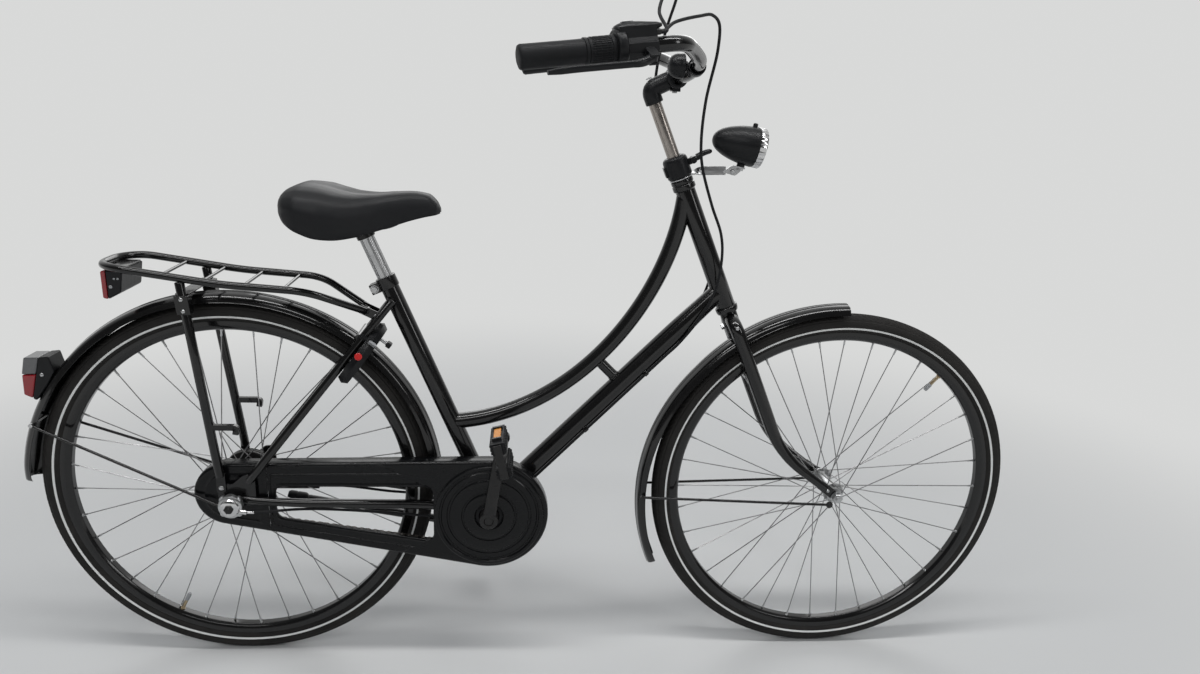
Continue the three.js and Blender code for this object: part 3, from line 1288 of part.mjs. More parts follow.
// The rear lights: one on the mudguard and one below the carrier's tail, each with its own lens.
const tailOut = slope(TAIL_LIGHT_ANGLE);
const tailUp = slope(TAIL_LIGHT_ANGLE - 90);
const tailReach = guardReach(TAIL_LIGHT_ANGLE, REAR_GUARD_END, REAR_GUARD_SPREAD) - TAIL_LIGHT_SINK;
const tailFoot = along(rearHub, tailOut, tailReach);
function tailShape(shares, trim) {
  return outline(shares.map(([up, out]) => {
    const corner = along(along(tailFoot, tailUp, TAIL_LIGHT_LENGTH * up + trim), tailOut, TAIL_LIGHT_DEPTH * out);
    return [corner.x, corner.z];
  }));
}
const tailHalf = TAIL_LIGHT_WIDTH / 2;
const rearGuardGrown = guard(rearHub, REAR_GUARD_START, REAR_GUARD_END, REAR_GUARD_SPREAD, GAP);
const tailPart = (shares, trim) => cut(plate(tailShape(shares, trim), -tailHalf, tailHalf), rearGuardGrown);
piece(frameGroup, "rear_light", tailPart(TAIL_HOUSING_SHARES, GAP), BLACK_PLASTIC);
piece(frameGroup, "rear_light_lens", tailPart(TAIL_LENS_SHARES, 0), RED_LENS);
function carrierLightShape(shares, trim) {
  return outline(shares.map(([ahead, up]) => [
    -CARRIER_LIGHT_BACK + CARRIER_LIGHT_LENGTH * ahead + trim,
    carrierLightTop + CARRIER_LIGHT_HEIGHT * (up - 1),
  ]));
}
const carrierLightHalf = CARRIER_LIGHT_WIDTH / 2;
piece(
  frameGroup,
  "carrier_light",
  plate(carrierLightShape(CARRIER_HOUSING_SHARES, GAP), -carrierLightHalf, carrierLightHalf),
  BLACK_PLASTIC,
);
piece(
  frameGroup,
  "carrier_light_lens",
  plate(carrierLightShape(CARRIER_LENS_SHARES, 0), -carrierLightHalf, carrierLightHalf),
  RED_LENS,
);

// A point on the lock's ring: an angle from its top towards the bike's right, and a distance forward.
function onLock(angle, forward = 0) {
  const across = aside(lockCentre, -LOCK_RING_RADIUS * Math.sin(radians(angle)));
  return along(along(across, lockOut, LOCK_RING_RADIUS * Math.cos(radians(angle))), lockForward, forward);
}

// A part of the lock's ring between two angles, its section given as half its thickness and half its width.
function lockArc(from, to, halfThickness, halfWidth, sides, forward = 0) {
  const count = Math.ceil((to - from) / LOCK_STEP_ANGLE);
  const points = Array.from({ length: count + 1 }, (_, i) => onLock(from + ((to - from) * i) / count, forward));
  return tube(points, points.map(() => [halfThickness, halfWidth]), sides, lockForward);
}

const lockEnd = 180 - LOCK_OPENING / 2;
const boltLead = lockEnd - 2;
const boltTail = boltLead - LOCK_BOLT_SWEEP;
const leverAngle = boltTail + LOCK_LEVER_INSET;
const boltBore = (LOCK_BOLT_RADIUS + LOCK_BOLT_SLACK) / Math.cos(Math.PI / THIN_SIDES);
const slotHalf = LOCK_LEVER_WIDTH / 2 + LOCK_BOLT_SLACK;
const slotReach = THREE.MathUtils.radToDeg(slotHalf / LOCK_RING_RADIUS);
const lockFeet = [-LOCK_FOOT_ANGLE, LOCK_FOOT_ANGLE].map((angle) => (
  rod(onLock(angle), onLock(angle, -LOCK_CASE_THICKNESS), LOCK_FOOT_RADIUS, THIN_SIDES)
));
piece(
  frameGroup,
  "ring_lock",
  cut(
    fuse(lockArc(-lockEnd, lockEnd, LOCK_CASE_THICKNESS / 2, LOCK_CASE_WIDTH / 2, THIN_SIDES), ...lockFeet),
    lockArc(-lockEnd - OVERRUN, lockEnd + OVERRUN, boltBore, boltBore, THIN_SIDES),
    lockArc(
      leverAngle - slotReach,
      leverAngle + LOCK_BOLT_TRAVEL + slotReach,
      LOCK_CASE_THICKNESS / Math.SQRT2,
      slotHalf * Math.SQRT2,
      4,
      LOCK_CASE_THICKNESS / 2,
    ),
    seatstayGrown,
    otherSide(seatstayGrown),
  ),
  BLACK_PLASTIC,
);
piece(
  frameGroup,
  "ring_lock_bolt",
  fuse(
    lockArc(boltTail, boltLead, LOCK_BOLT_RADIUS, LOCK_BOLT_RADIUS, THIN_SIDES),
    rod(onLock(leverAngle), onLock(leverAngle, LOCK_LEVER_LENGTH), LOCK_LEVER_WIDTH / 2, THIN_SIDES),
  ),
  SILVER,
);

// The chain wraps the chainring and the sprocket between two tangents.
const ringRadius = CHAIN_PITCH / 2 / Math.sin(Math.PI / CHAINRING_TEETH);
const sprocketRadius = CHAIN_PITCH / 2 / Math.sin(Math.PI / SPROCKET_TEETH);

// The two angles at which a belt leaves a small circle at the rear and a large one at the front.
function tangentAngles(small, smallRadius, large, largeRadius) {
  const line = large.clone().sub(small);
  const middle = Math.atan2(line.z, line.x);
  const spread = Math.acos((smallRadius - largeRadius) / line.length());
  return { top: middle + spread, bottom: middle - spread };
}

// The outline of a belt round both circles, at a distance outside them.
function beltOutline(small, smallRadius, large, largeRadius, outside) {
  const { top, bottom } = tangentAngles(small, smallRadius, large, largeRadius);
  const shape = new THREE.Shape();
  shape.absarc(large.x, large.z, largeRadius + outside, bottom, top, false);
  shape.absarc(small.x, small.z, smallRadius + outside, top, bottom + 2 * Math.PI, false);
  shape.closePath();
  return shape;
}

// The outline of a toothed wheel of a pitch radius, its teeth standing in the chain's gaps.
function toothedOutline(centre, teeth, radius) {
  const foot = radius - ROLLER_RADIUS - GAP;
  const half = CHAIN_PITCH * TOOTH_FOOT_SHARE;
  const tooth = [[foot, -half], [radius + TOOTH_HEIGHT, 0], [foot, half]];
  const corners = [];
  for (let i = 0; i < teeth; i++) {
    const out = slope((360 * (i + 1 / 2)) / teeth);
    const round = point(-out.z, 0, out.x);
    tooth.forEach(([reach, width]) => {
      const corner = along(along(centre, out, reach), round, width);
      corners.push([corner.x, corner.z]);
    });
  }
  return outline(corners);
}

// Chain: two bands of side plates, and a roller in every gap between teeth and along both runs.
const chainTangents = tangentAngles(rearHub, sprocketRadius, crankCentre, ringRadius);
function rollersRound(centre, teeth, radius, from, to) {
  const step = (2 * Math.PI) / teeth;
  const first = Math.round(from / step);
  const count = Math.round(to / step) - first + 1;
  return Array.from({ length: count }, (_, i) => {
    const turn = (first + i) * step;
    return point(centre.x + radius * Math.cos(turn), 0, centre.z + radius * Math.sin(turn));
  });
}
function rollersBetween(from, to) {
  const count = Math.round(from.distanceTo(to) / CHAIN_PITCH);
  return Array.from({ length: count - 1 }, (_, i) => from.clone().lerp(to, (i + 1) / count));
}
const frontRollers = rollersRound(
  crankCentre, CHAINRING_TEETH, ringRadius, chainTangents.bottom, chainTangents.top,
);
const rearRollers = rollersRound(
  rearHub, SPROCKET_TEETH, sprocketRadius, chainTangents.top, chainTangents.bottom + 2 * Math.PI,
);
const rollerPlaces = [
  ...frontRollers,
  ...rollersBetween(frontRollers.at(-1), rearRollers[0]),
  ...rearRollers,
  ...rollersBetween(rearRollers.at(-1), frontRollers[0]),
];
const chainHalf = CHAIN_WIDTH / 2;
function chainBand(inner) {
  const outside = beltOutline(rearHub, sprocketRadius, crankCentre, ringRadius, CHAIN_HEIGHT / 2);
  const inside = beltOutline(rearHub, sprocketRadius, crankCentre, ringRadius, -CHAIN_HEIGHT / 2);
  const far = inner + CHAIN_PLATE;
  return cut(
    plate(outside, inner, far, BAND_SEGMENTS),
    plate(inside, inner - OVERRUN, far + OVERRUN, BAND_SEGMENTS),
  );
}
const rollers = rollerPlaces.filter((_, i) => i % ROLLER_SPACING === 0).map((place) => (
  crossRod(place, -CHAIN_LINE - chainHalf + GAP, -CHAIN_LINE + chainHalf - GAP, ROLLER_RADIUS, ROLLER_SIDES)
));
piece(
  frameGroup,
  "chain",
  fuse(chainBand(-CHAIN_LINE - chainHalf), chainBand(-CHAIN_LINE + chainHalf - CHAIN_PLATE), ...rollers),
  CHAIN_STEEL,
);
const toothedHalf = TOOTHED_THICKNESS / 2;
piece(
  driveGroup,
  "sprocket",
  cut(
    fuse(
      plate(
        toothedOutline(rearHub, SPROCKET_TEETH, sprocketRadius),
        -CHAIN_LINE - toothedHalf,
        -CHAIN_LINE + toothedHalf,
      ),
      crossRod(rearHub, -driverOuter, -driverInner, DRIVER_RADIUS),
    ),
    crossHole(rearHub, driverOuter, AXLE_RADIUS + GAP),
  ),
  SILVER,
);

// Cranks: each an oval arm that leans outwards, with the pedal's axle fixed in its end.
const crankOut = slope(CRANK_ANGLE);
const armMiddle = CRANK_INNER_OFFSET + CRANK_THICKNESS / 2;
const armOuter = CRANK_INNER_OFFSET + CRANK_THICKNESS;
const pedalInner = PEDAL_INNER_OFFSET;
const pedalOuter = pedalInner + PEDAL_WIDTH;
const pedalAxleEnd = pedalOuter - PEDAL_WALL / 2;
function crankArm(side) {
  const end = along(crankCentre, crankOut, -side * CRANK_LENGTH);
  const sizes = CRANK_TAPER_SHARES.map((share) => [CRANK_THICKNESS / 2, (CRANK_WIDTH * share) / 2]);
  const armPath = [
    aside(crankCentre, side * armMiddle),
    aside(crankCentre.clone().lerp(end, 1 / 2), side * (armMiddle + CRANK_FLARE / 2)),
    aside(end, side * (armMiddle + CRANK_FLARE)),
  ];
  const eyeInner = CRANK_INNER_OFFSET + CRANK_FLARE;
  return fuse(
    tube(armPath, sizes, THIN_SIDES, ACROSS),
    crossRod(crankCentre, side * CRANK_INNER_OFFSET, side * armOuter, CRANK_BOSS_RADIUS),
    crossRod(end, side * eyeInner, side * (armOuter + CRANK_FLARE), CRANK_WIDTH / 2),
    crossRod(end, side * (eyeInner + GAP), side * pedalAxleEnd, PEDAL_AXLE_RADIUS),
  );
}
const ringInner = CHAIN_LINE - toothedHalf;
const ringHoles = Array.from({ length: CHAINRING_HOLES }, (_, i) => {
  const centre = along(crankCentre, slope((360 * i) / CHAINRING_HOLES), CHAINRING_HOLE_REACH);
  return crossHole(centre, CHAIN_LINE + OVERRUN, CHAINRING_HOLE_RADIUS);
});
const ringShape = toothedOutline(crankCentre, CHAINRING_TEETH, ringRadius);
const chainring = cut(plate(ringShape, -ringInner - TOOTHED_THICKNESS, -ringInner), ...ringHoles);
piece(
  driveGroup,
  "right_crank",
  cut(
    fuse(
      chainring,
      crossRod(crankCentre, -CRANK_INNER_OFFSET - GAP, -shellHalf - 2 * GAP, CRANK_BOSS_RADIUS),
      crankArm(RIGHT),
    ),
    hole(crankCentre, aside(crankCentre, -armOuter + CRANK_CAP), SPINDLE_RADIUS + GAP),
  ),
  BLACK_PAINT,
);
piece(
  driveGroup,
  "left_crank",
  fuse(
    crankArm(LEFT),
    crossRod(crankCentre, -armOuter + CRANK_CAP + GAP, CRANK_INNER_OFFSET + GAP, SPINDLE_RADIUS),
  ),
  BLACK_PAINT,
);

// Pedals: two treads joined by end plates round a barrel that turns on the axle.
function pedal(side) {
  const centre = along(crankCentre, crankOut, -side * CRANK_LENGTH);
  const half = PEDAL_THICKNESS / 2;
  const [near, far] = [pedalInner, pedalOuter].map((offset) => side * offset);
  const bar = (low, high, from, to, inset) => strap(
    aside(along(centre, UPWARD, low), (from + to) / 2),
    aside(along(centre, UPWARD, high), (from + to) / 2),
    Math.abs(to - from),
    2 * (half - inset),
  );
  const reach = PEDAL_LENGTH / 2;
  const body = fuse(
    bar(reach - PEDAL_TREAD, reach, near, far, 0),
    bar(-reach, PEDAL_TREAD - reach, near, far, 0),
    bar(GAP - reach, reach - GAP, near, near + side * PEDAL_WALL, PEDAL_WALL / 2),
    bar(GAP - reach, reach - GAP, far - side * PEDAL_WALL, far, PEDAL_WALL / 2),
    crossRod(centre, near, far, PEDAL_BARREL_RADIUS),
  );
  const boreFrom = aside(centre, near - side * OVERRUN);
  return cut(body, hole(boreFrom, aside(centre, side * (pedalAxleEnd + GAP)), PEDAL_AXLE_RADIUS + GAP));
}
piece(driveGroup, "right_pedal", pedal(RIGHT), BLACK_RUBBER);
piece(driveGroup, "left_pedal", pedal(LEFT), BLACK_RUBBER);

// The chain case: an open-backed shell with a window, a back plate round the crank and a rear cap.
const caseRear = fromRearHub(-CASE_REAR_BACK, 0, CASE_REAR_RISE);
const caseShape = (outside) => beltOutline(
  caseRear, CASE_REAR_RADIUS, crankCentre, CASE_FRONT_RADIUS, outside,
);
const caseInner = CASE_OUTER - CASE_DEPTH;
const caseFace = CASE_OUTER - CASE_WALL;
const windowRise = WHEEL_RADIUS + CASE_WINDOW_RISE;
const windowCorners = (grow) => [
  [CASE_WINDOW_BACK - grow, windowRise + grow],
  [CASE_WINDOW_BACK - grow, WHEEL_RADIUS - CASE_WINDOW_BACK_DROP - grow],
  [CASE_WINDOW_FRONT + grow, WHEEL_RADIUS - CASE_WINDOW_FRONT_DROP - grow],
  [CASE_WINDOW_FRONT + grow, windowRise + grow],
];
const caseWindow = plate(
  outline(windowCorners(0), CASE_WINDOW_CORNER), -CASE_OUTER - OVERRUN, -CASE_OUTER + CASE_WINDOW_LIP + OVERRUN,
);
const windowLip = plate(
  outline(windowCorners(CASE_WALL), CASE_WINDOW_CORNER), -CASE_OUTER, -CASE_OUTER + CASE_WINDOW_LIP,
);
const caseSteps = CASE_STEP_SHARES.map((share, i) => (
  crossRod(crankCentre, -CASE_OUTER - CASE_STEP * (i + 1), -caseFace, CASE_FRONT_RADIUS * share, 2 * ROUND_SIDES)
));
const caseShell = cut(
  fuse(
    cut(
      plate(caseShape(0), -CASE_OUTER, -caseInner, CASE_SEGMENTS),
      plate(caseShape(-CASE_WALL), -caseFace, 0, CASE_SEGMENTS),
    ),
    windowLip,
    ...caseSteps,
  ),
  caseWindow,
  hole(
    aside(crankCentre, -CASE_OUTER - 2 * CASE_STEP - OVERRUN), aside(crankCentre, -caseInner), CASE_HOLE_RADIUS,
  ),
  hole(aside(rearHub, -CASE_OUTER - OVERRUN), aside(rearHub, -caseInner), CONE_RADIUS + GAP),
);
const backPlate = new THREE.Shape();
backPlate.absarc(crankCentre.x, crankCentre.z, CASE_FRONT_RADIUS - CASE_WALL / 2,
  radians(-CASE_BACK_ANGLE), radians(CASE_BACK_ANGLE), false);
backPlate.absarc(crankCentre.x, crankCentre.z, SHELL_RADIUS + 2 * GAP,
  radians(CASE_BACK_ANGLE), radians(-CASE_BACK_ANGLE), true);
backPlate.closePath();
const seamHalf = GAP / 2;
const seamBox = (low, high) => boxIn(
  new THREE.Matrix4(),
  point(low, -CASE_OUTER - OVERRUN, 0),
  point(high, 0, 2 * WHEEL_RADIUS),
);
const caseEnd = crankCentre.x + CASE_FRONT_RADIUS + OVERRUN;
piece(
  frameGroup,
  "chain_case",
  fuse(
    caseShell.intersect(seamBox(CASE_SEAM_AHEAD + seamHalf, caseEnd)),
    plate(backPlate, -caseInner - CASE_WALL, -caseInner, CASE_SEGMENTS),
  ),
  BLACK_PAINT,
);
piece(
  frameGroup,
  "chain_case_cap",
  caseShell.intersect(seamBox(-CASE_REAR_BACK - CASE_REAR_RADIUS - OVERRUN, CASE_SEAM_AHEAD - seamHalf)),
  BLACK_PAINT,
);

// The seatpost slides in the seat tube and carries the saddle's frame on its top.
const postTop = along(seatTubeTop, seatUp, SEATPOST_EXPOSED);
piece(
  seatGroup,
  "seatpost",
  rod(along(seatTubeTop, seatUp, -SEATPOST_INSERTED), postTop, SEATPOST_RADIUS),
  SILVER,
);
const clampTop = along(postTop, seatUp, SADDLE_YOKE_RADIUS);
const railRise = clampTop.z + SADDLE_RAIL_RISE;
const saddleAt = (share) => SADDLE_BACK_AHEAD + SADDLE_LENGTH * share;
const [railBack, railKink, railDip, railFront] = SADDLE_RAIL_SHARES.map(saddleAt);
const saddleRail = (side) => tube(
  rounded(
    [
      point(railBack, side * 2 * SADDLE_RAIL_OFFSET, SADDLE_BASE_HEIGHT + SADDLE_RAIL_END_RISE),
      point(railKink, side * SADDLE_RAIL_OFFSET, railRise),
      point(railDip, side * SADDLE_RAIL_OFFSET, railRise),
      point(railFront, (side * SADDLE_RAIL_OFFSET) / 2, SADDLE_BASE_HEIGHT + SADDLE_RAIL_END_RISE),
    ],
    SADDLE_RAIL_OFFSET,
  ),
  SADDLE_RAIL_RADIUS,
  THIN_SIDES,
);
const yoke = point(clampTop.x, 0, railRise);
const yokeHalf = SADDLE_RAIL_OFFSET + 2 * SADDLE_RAIL_RADIUS;
piece(
  seatGroup,
  "saddle_frame",
  cut(
    fuse(
      rod(along(postTop, seatUp, -SADDLE_CLAMP_OVERLAP), clampTop, SADDLE_CLAMP_RADIUS),
      crossRod(yoke, -yokeHalf, yokeHalf, SADDLE_YOKE_RADIUS),
      saddleRail(RIGHT),
      saddleRail(LEFT),
    ),
    hole(
      along(postTop, seatUp, -SADDLE_CLAMP_OVERLAP - OVERRUN), along(postTop, seatUp, GAP), SEATPOST_RADIUS + GAP,
    ),
  ),
  BLACK_PAINT,
);

// The saddle's skin as rings along its length; an inset makes the hollow on its underside.
function saddleRings(stations, inset, deeper) {
  const mirrored = SADDLE_SECTION_SHARES.slice(1).map(([across, up]) => [-across, up]).reverse();
  const section = [...mirrored, ...SADDLE_SECTION_SHARES];
  return stations.map(({ ahead, width, top, base }) => {
    const low = SADDLE_BASE_HEIGHT + SADDLE_HEIGHT * base - deeper;
    const high = SADDLE_BASE_HEIGHT + SADDLE_HEIGHT * top - inset;
    return section.map(([across, up]) => point(
      saddleAt(ahead),
      across * (SADDLE_HALF_WIDTH * width - inset),
      THREE.MathUtils.lerp(low, high, up),
    ));
  });
}
const saddlePoints = 2 * SADDLE_SECTION_SHARES.length - 1;
piece(
  seatGroup,
  "saddle",
  cut(
    lofted(saddleRings(SADDLE_STATION_SHARES, 0, 0), fan(saddlePoints)),
    lofted(
      saddleRings(SADDLE_STATION_SHARES.slice(SADDLE_CAVITY_FIRST, -1), SADDLE_WALL, OVERRUN),
      fan(saddlePoints),
    ),
  ),
  VINYL,
);

// The fork: a steerer bored for the stem's quill, and two blades that bend forward to the axle.
const collarBase = headTop + GAP + LAMP_BRACKET_THICKNESS + GAP;
const collarTop = collarBase + COLLAR_HEIGHT;
const crownTop = -LOWER_CUP_HEIGHT - GAP;
const guardUnderCrown = Math.sqrt(GUARD_RADIUS ** 2 - FORK_RAKE ** 2) - FORK_LENGTH;
const quillBottom = BAR_UP - QUILL_LENGTH;
const forkInner = FRONT_AXLE_SPAN / 2;
const forkOuter = forkInner + DROPOUT_THICKNESS;
const forkTipOffset = (forkInner + forkOuter) / 2;
const bladeKnee = fromHead(FORK_BEND_RISE - FORK_LENGTH, 0, BLADE_OFFSET);
const bladeEnd = fromHead(-FORK_LENGTH, FORK_RAKE, forkTipOffset);
const bladeDown = bladeEnd.clone().sub(bladeKnee).normalize();
const bladeTip = along(bladeEnd, bladeDown, -BLADE_TIP_SETBACK);
const bladePath = [
  ...rounded([fromHead(-CROWN_DROP), fromHead(-CROWN_DROP - BLADE_RADIUS, 0, BLADE_OFFSET), bladeKnee], BLADE_BEND),
].slice(0, -1).concat(
  rounded([fromHead(-CROWN_DROP - BLADE_BEND - BLADE_RADIUS, 0, BLADE_OFFSET), bladeKnee, bladeTip], BLADE_BEND),
);
const bladeSizes = bladePath.map((p) => {
  const share = (bladeKnee.z + BLADE_BEND - p.z) / (bladeKnee.z + BLADE_BEND - bladeTip.z);
  return THREE.MathUtils.lerp(BLADE_RADIUS, BLADE_TIP_RADIUS, Math.max(share, 0));
});
const blade = fuse(
  tube(bladePath, bladeSizes, BAR_SIDES),
  strap(
    along(bladeEnd, bladeDown, -FORK_TIP_LENGTH).setY(forkTipOffset),
    along(bladeEnd, bladeDown, FORK_TIP_WIDTH / 2).setY(forkTipOffset),
    DROPOUT_THICKNESS,
    FORK_TIP_WIDTH,
  ),
);
piece(
  steeringGroup,
  "fork",
  cut(
    fuse(
      rod(fromHead(crownTop), fromHead(collarTop - COLLAR_LIP - GAP), STEERER_RADIUS),
      cut(
        rod(fromHead(guardUnderCrown - OVERRUN), fromHead(crownTop), STEERER_RADIUS),
        hole(
          aside(frontHub, -2 * STEERER_RADIUS),
          aside(frontHub, 2 * STEERER_RADIUS),
          GUARD_RADIUS + GAP,
          2 * WHEEL_SIDES,
        ),
      ),
      blade,
      otherSide(blade),
    ),
    hole(fromHead(OVERRUN), fromHead(collarTop), QUILL_RADIUS + GAP),
    crossHole(frontHub, forkOuter, AXLE_RADIUS + GAP),
  ),
  BLACK_PAINT,
);
const frontNutStart = forkOuter + GAP;
const frontNutEnd = frontNutStart + NUT_THICKNESS;
const frontConeStart = FRONT_HUB_WIDTH / 2 + GAP;
piece(
  steeringGroup,
  "front_axle",
  fuse(
    crossRod(frontHub, -frontNutEnd - AXLE_STUB, frontNutEnd + AXLE_STUB, AXLE_RADIUS),
    crossRod(frontHub, -forkInner + GAP, -frontConeStart, CONE_RADIUS),
    crossRod(frontHub, frontConeStart, forkInner - GAP, CONE_RADIUS),
    crossRod(frontHub, -frontNutEnd, -frontNutStart, NUT_RADIUS, NUT_SIDES),
    crossRod(frontHub, frontNutStart, frontNutEnd, NUT_RADIUS, NUT_SIDES),
  ),
  SILVER,
);
const frontStayReach = guardReach(FRONT_STAY_ANGLE, FRONT_GUARD_END, FRONT_GUARD_SPREAD);
const frontStayPath = stayPath(frontHub, frontNutStart, FRONT_STAY_ANGLE, frontStayReach);
piece(
  steeringGroup,
  "front_mudguard",
  cut(
    guard(frontHub, FRONT_GUARD_START, FRONT_GUARD_END, FRONT_GUARD_SPREAD),
    tube(frontStayPath, STAY_ROD_RADIUS + GAP, THIN_SIDES),
  ),
  BLACK_PAINT,
);
piece(steeringGroup, "front_mudguard_stay", guardStay(frontStayPath), BLACK_PAINT);

// The headlamp stands on a bracket whose ring is held between the headset and the stem's collar.
const lampAxis = point(LAMP_AHEAD, 0, LAMP_HEIGHT);
const lampAt = ([across, share]) => [LAMP_RADIUS * across, LAMP_LENGTH * share];
const lampProfile = LAMP_SHARES.map(lampAt);
const lampMouth = LAMP_RADIUS - LAMP_WALL;
const bowlFoot = LAMP_LENGTH - LAMP_BOWL_DEPTH;
const lampLug = point(LAMP_AHEAD + LAMP_LUG_AHEAD, 0, LAMP_HEIGHT);
const bracketEnd = along(lampLug, UPWARD, -LAMP_BRACKET_DROP);
const lugFoot = along(bracketEnd, UPWARD, LAMP_BRACKET_THICKNESS / 2 + GAP);
const lampKnob = along(lampLug, FORWARD, LAMP_LENGTH / 4);
piece(
  steeringGroup,
  "headlamp",
  fuse(
    revolved(
      [...lampProfile, [lampMouth, LAMP_LENGTH], [lampMouth, LAMP_LENGTH - LAMP_LENS_SEAT], [0, bowlFoot]],
      lampAxis,
      FORWARD,
      2 * ROUND_SIDES,
    ),
    rod(lugFoot, lampLug.clone().lerp(lugFoot, 1 / 2), LAMP_LUG_RADIUS, THIN_SIDES),
    rod(lampKnob, along(lampKnob, UPWARD, LAMP_RADIUS + LAMP_KNOB_HEIGHT), LAMP_KNOB_RADIUS, THIN_SIDES),
  ),
  BLACK_PLASTIC,
);
const lensRadius = (lampMouth - GAP) * Math.cos(Math.PI / (2 * ROUND_SIDES));
const lensBack = LAMP_LENGTH - LAMP_LENS_SEAT + GAP;
piece(
  steeringGroup,
  "headlamp_lens",
  revolved(
    [
      [0, lensBack + LAMP_WALL],
      [lensRadius - LAMP_WALL, lensBack],
      [lensRadius, lensBack],
      [lensRadius, LAMP_LENGTH],
      [lensRadius * Math.SQRT1_2, LAMP_LENGTH + (LAMP_LENS_DEPTH * 2) / 3],
      [0, LAMP_LENGTH + LAMP_LENS_DEPTH],
    ],
    lampAxis,
    FORWARD,
    2 * ROUND_SIDES,
  ),
  CLEAR_LENS,
);
const bracketUp = headTop + GAP + LAMP_BRACKET_THICKNESS / 2;
const bracketPath = [
  fromHead(bracketUp, HEAD_TUBE_RADIUS),
  fromHead(bracketUp, HEAD_CUP_RADIUS + LAMP_BRACKET_WIDTH / 2),
  bracketEnd,
  along(bracketEnd, FORWARD, LAMP_BRACKET_WIDTH / 2),
];
piece(
  steeringGroup,
  "headlamp_bracket",
  cut(
    fuse(
      rod(fromHead(headTop + GAP), fromHead(headTop + GAP + LAMP_BRACKET_THICKNESS), HEAD_CUP_RADIUS),
      tube(
        bracketPath,
        bracketPath.map(() => [LAMP_BRACKET_WIDTH / Math.SQRT2, LAMP_BRACKET_THICKNESS / Math.SQRT2]),
        4,
        ACROSS,
      ),
    ),
    hole(fromHead(HEAD_TUBE_LENGTH), fromHead(collarTop), STEERER_RADIUS + GAP),
  ),
  SILVER,
);

// The stem's collar grips the quill, and its lever turns on a pin through the collar's lug.
const stemPivot = fromHead(collarBase + STEM_LEVER_RISE, STEM_LEVER_REACH);
const lugHalf = STEM_LEVER_LUG / 2;
const leverHalf = STEM_LEVER_WIDTH / 2;
const lugTip = along(stemPivot, headForward, STEM_LEVER_EYE_RADIUS - GAP);
piece(
  steeringGroup,
  "stem_collar",
  fuse(
    cut(
      fuse(
        rod(fromHead(collarBase), fromHead(collarTop), COLLAR_RADIUS),
        strap(fromHead(collarBase + STEM_LEVER_RISE), lugTip, STEM_LEVER_LUG, 2 * STEM_LEVER_EYE_RADIUS),
      ),
      hole(fromHead(headTop), fromHead(collarTop - COLLAR_LIP), STEERER_RADIUS + GAP),
      hole(fromHead(headTop), fromHead(collarTop + OVERRUN), QUILL_RADIUS + GAP),
    ),
    crossRod(stemPivot, -leverHalf - GAP, leverHalf + GAP, STEM_LEVER_PIN_RADIUS),
  ),
  BLACK_PLASTIC,
);
const leverOut = slope(STEM_LEVER_ANGLE);
piece(
  steeringGroup,
  "stem_lever",
  cut(
    fuse(
      crossRod(stemPivot, -leverHalf, leverHalf, STEM_LEVER_EYE_RADIUS),
      strap(stemPivot, along(stemPivot, leverOut, STEM_LEVER_LENGTH), STEM_LEVER_WIDTH, STEM_LEVER_THICKNESS),
    ),
    crossRod(stemPivot, -lugHalf - GAP, lugHalf + GAP, 2 * STEM_LEVER_EYE_RADIUS),
    crossHole(stemPivot, leverHalf, STEM_LEVER_PIN_RADIUS + GAP),
  ),
  BLACK_PLASTIC,
);

// The quill slides in the steerer, and its head clamps the handlebar.
const barCentre = fromHead(BAR_UP, BAR_AHEAD);
const quillTop = BAR_UP;
piece(steeringGroup, "stem_quill", rod(fromHead(quillBottom), fromHead(quillTop), QUILL_RADIUS), CHROME);
const gripDirection = point(
  Math.cos(radians(GRIP_TOE)) * Math.cos(radians(GRIP_RISE)),
  Math.sin(radians(GRIP_TOE)) * Math.cos(radians(GRIP_RISE)),
  Math.sin(radians(GRIP_RISE)),
);
const gripEnd = point(barCentre.x - GRIP_END_BACK, -GRIP_END_OUT, barCentre.z + GRIP_END_RISE);
const barStraightEnd = along(gripEnd, gripDirection, BAR_STRAIGHT);
const barRight = [gripEnd, barStraightEnd];
BAR_BEND_SHARES.forEach(([out, reach, rise]) => {
  barRight.push(point(barCentre.x + BAR_REACH * reach, -GRIP_END_OUT * out, barCentre.z + BAR_RISE * rise));
});
const barLeft = barRight.map((p) => point(p.x, -p.y, p.z)).reverse();
const barPath = rounded([...barRight, barCentre, ...barLeft], BAR_BEND);
const barGrown = tube(barPath, BAR_RADIUS + GAP, BAR_SIDES);
piece(steeringGroup, "handlebar", tube(barPath, BAR_RADIUS, BAR_SIDES), BLACK_PAINT);
const clampHalf = BAR_CLAMP_WIDTH / 2;
piece(
  steeringGroup,
  "stem_head",
  cut(
    fuse(
      rod(fromHead(quillTop - STEM_HEAD_HEIGHT), fromHead(quillTop + STEM_HEAD_RADIUS), STEM_HEAD_RADIUS),
      rod(fromHead(quillTop), barCentre, STEM_HEAD_RADIUS),
      crossRod(barCentre, -clampHalf, clampHalf, BAR_CLAMP_RADIUS),
    ),
    hole(fromHead(quillTop - STEM_HEAD_HEIGHT - OVERRUN), fromHead(quillTop + GAP), QUILL_RADIUS + GAP),
    barGrown,
  ),
  BLACK_PLASTIC,
);

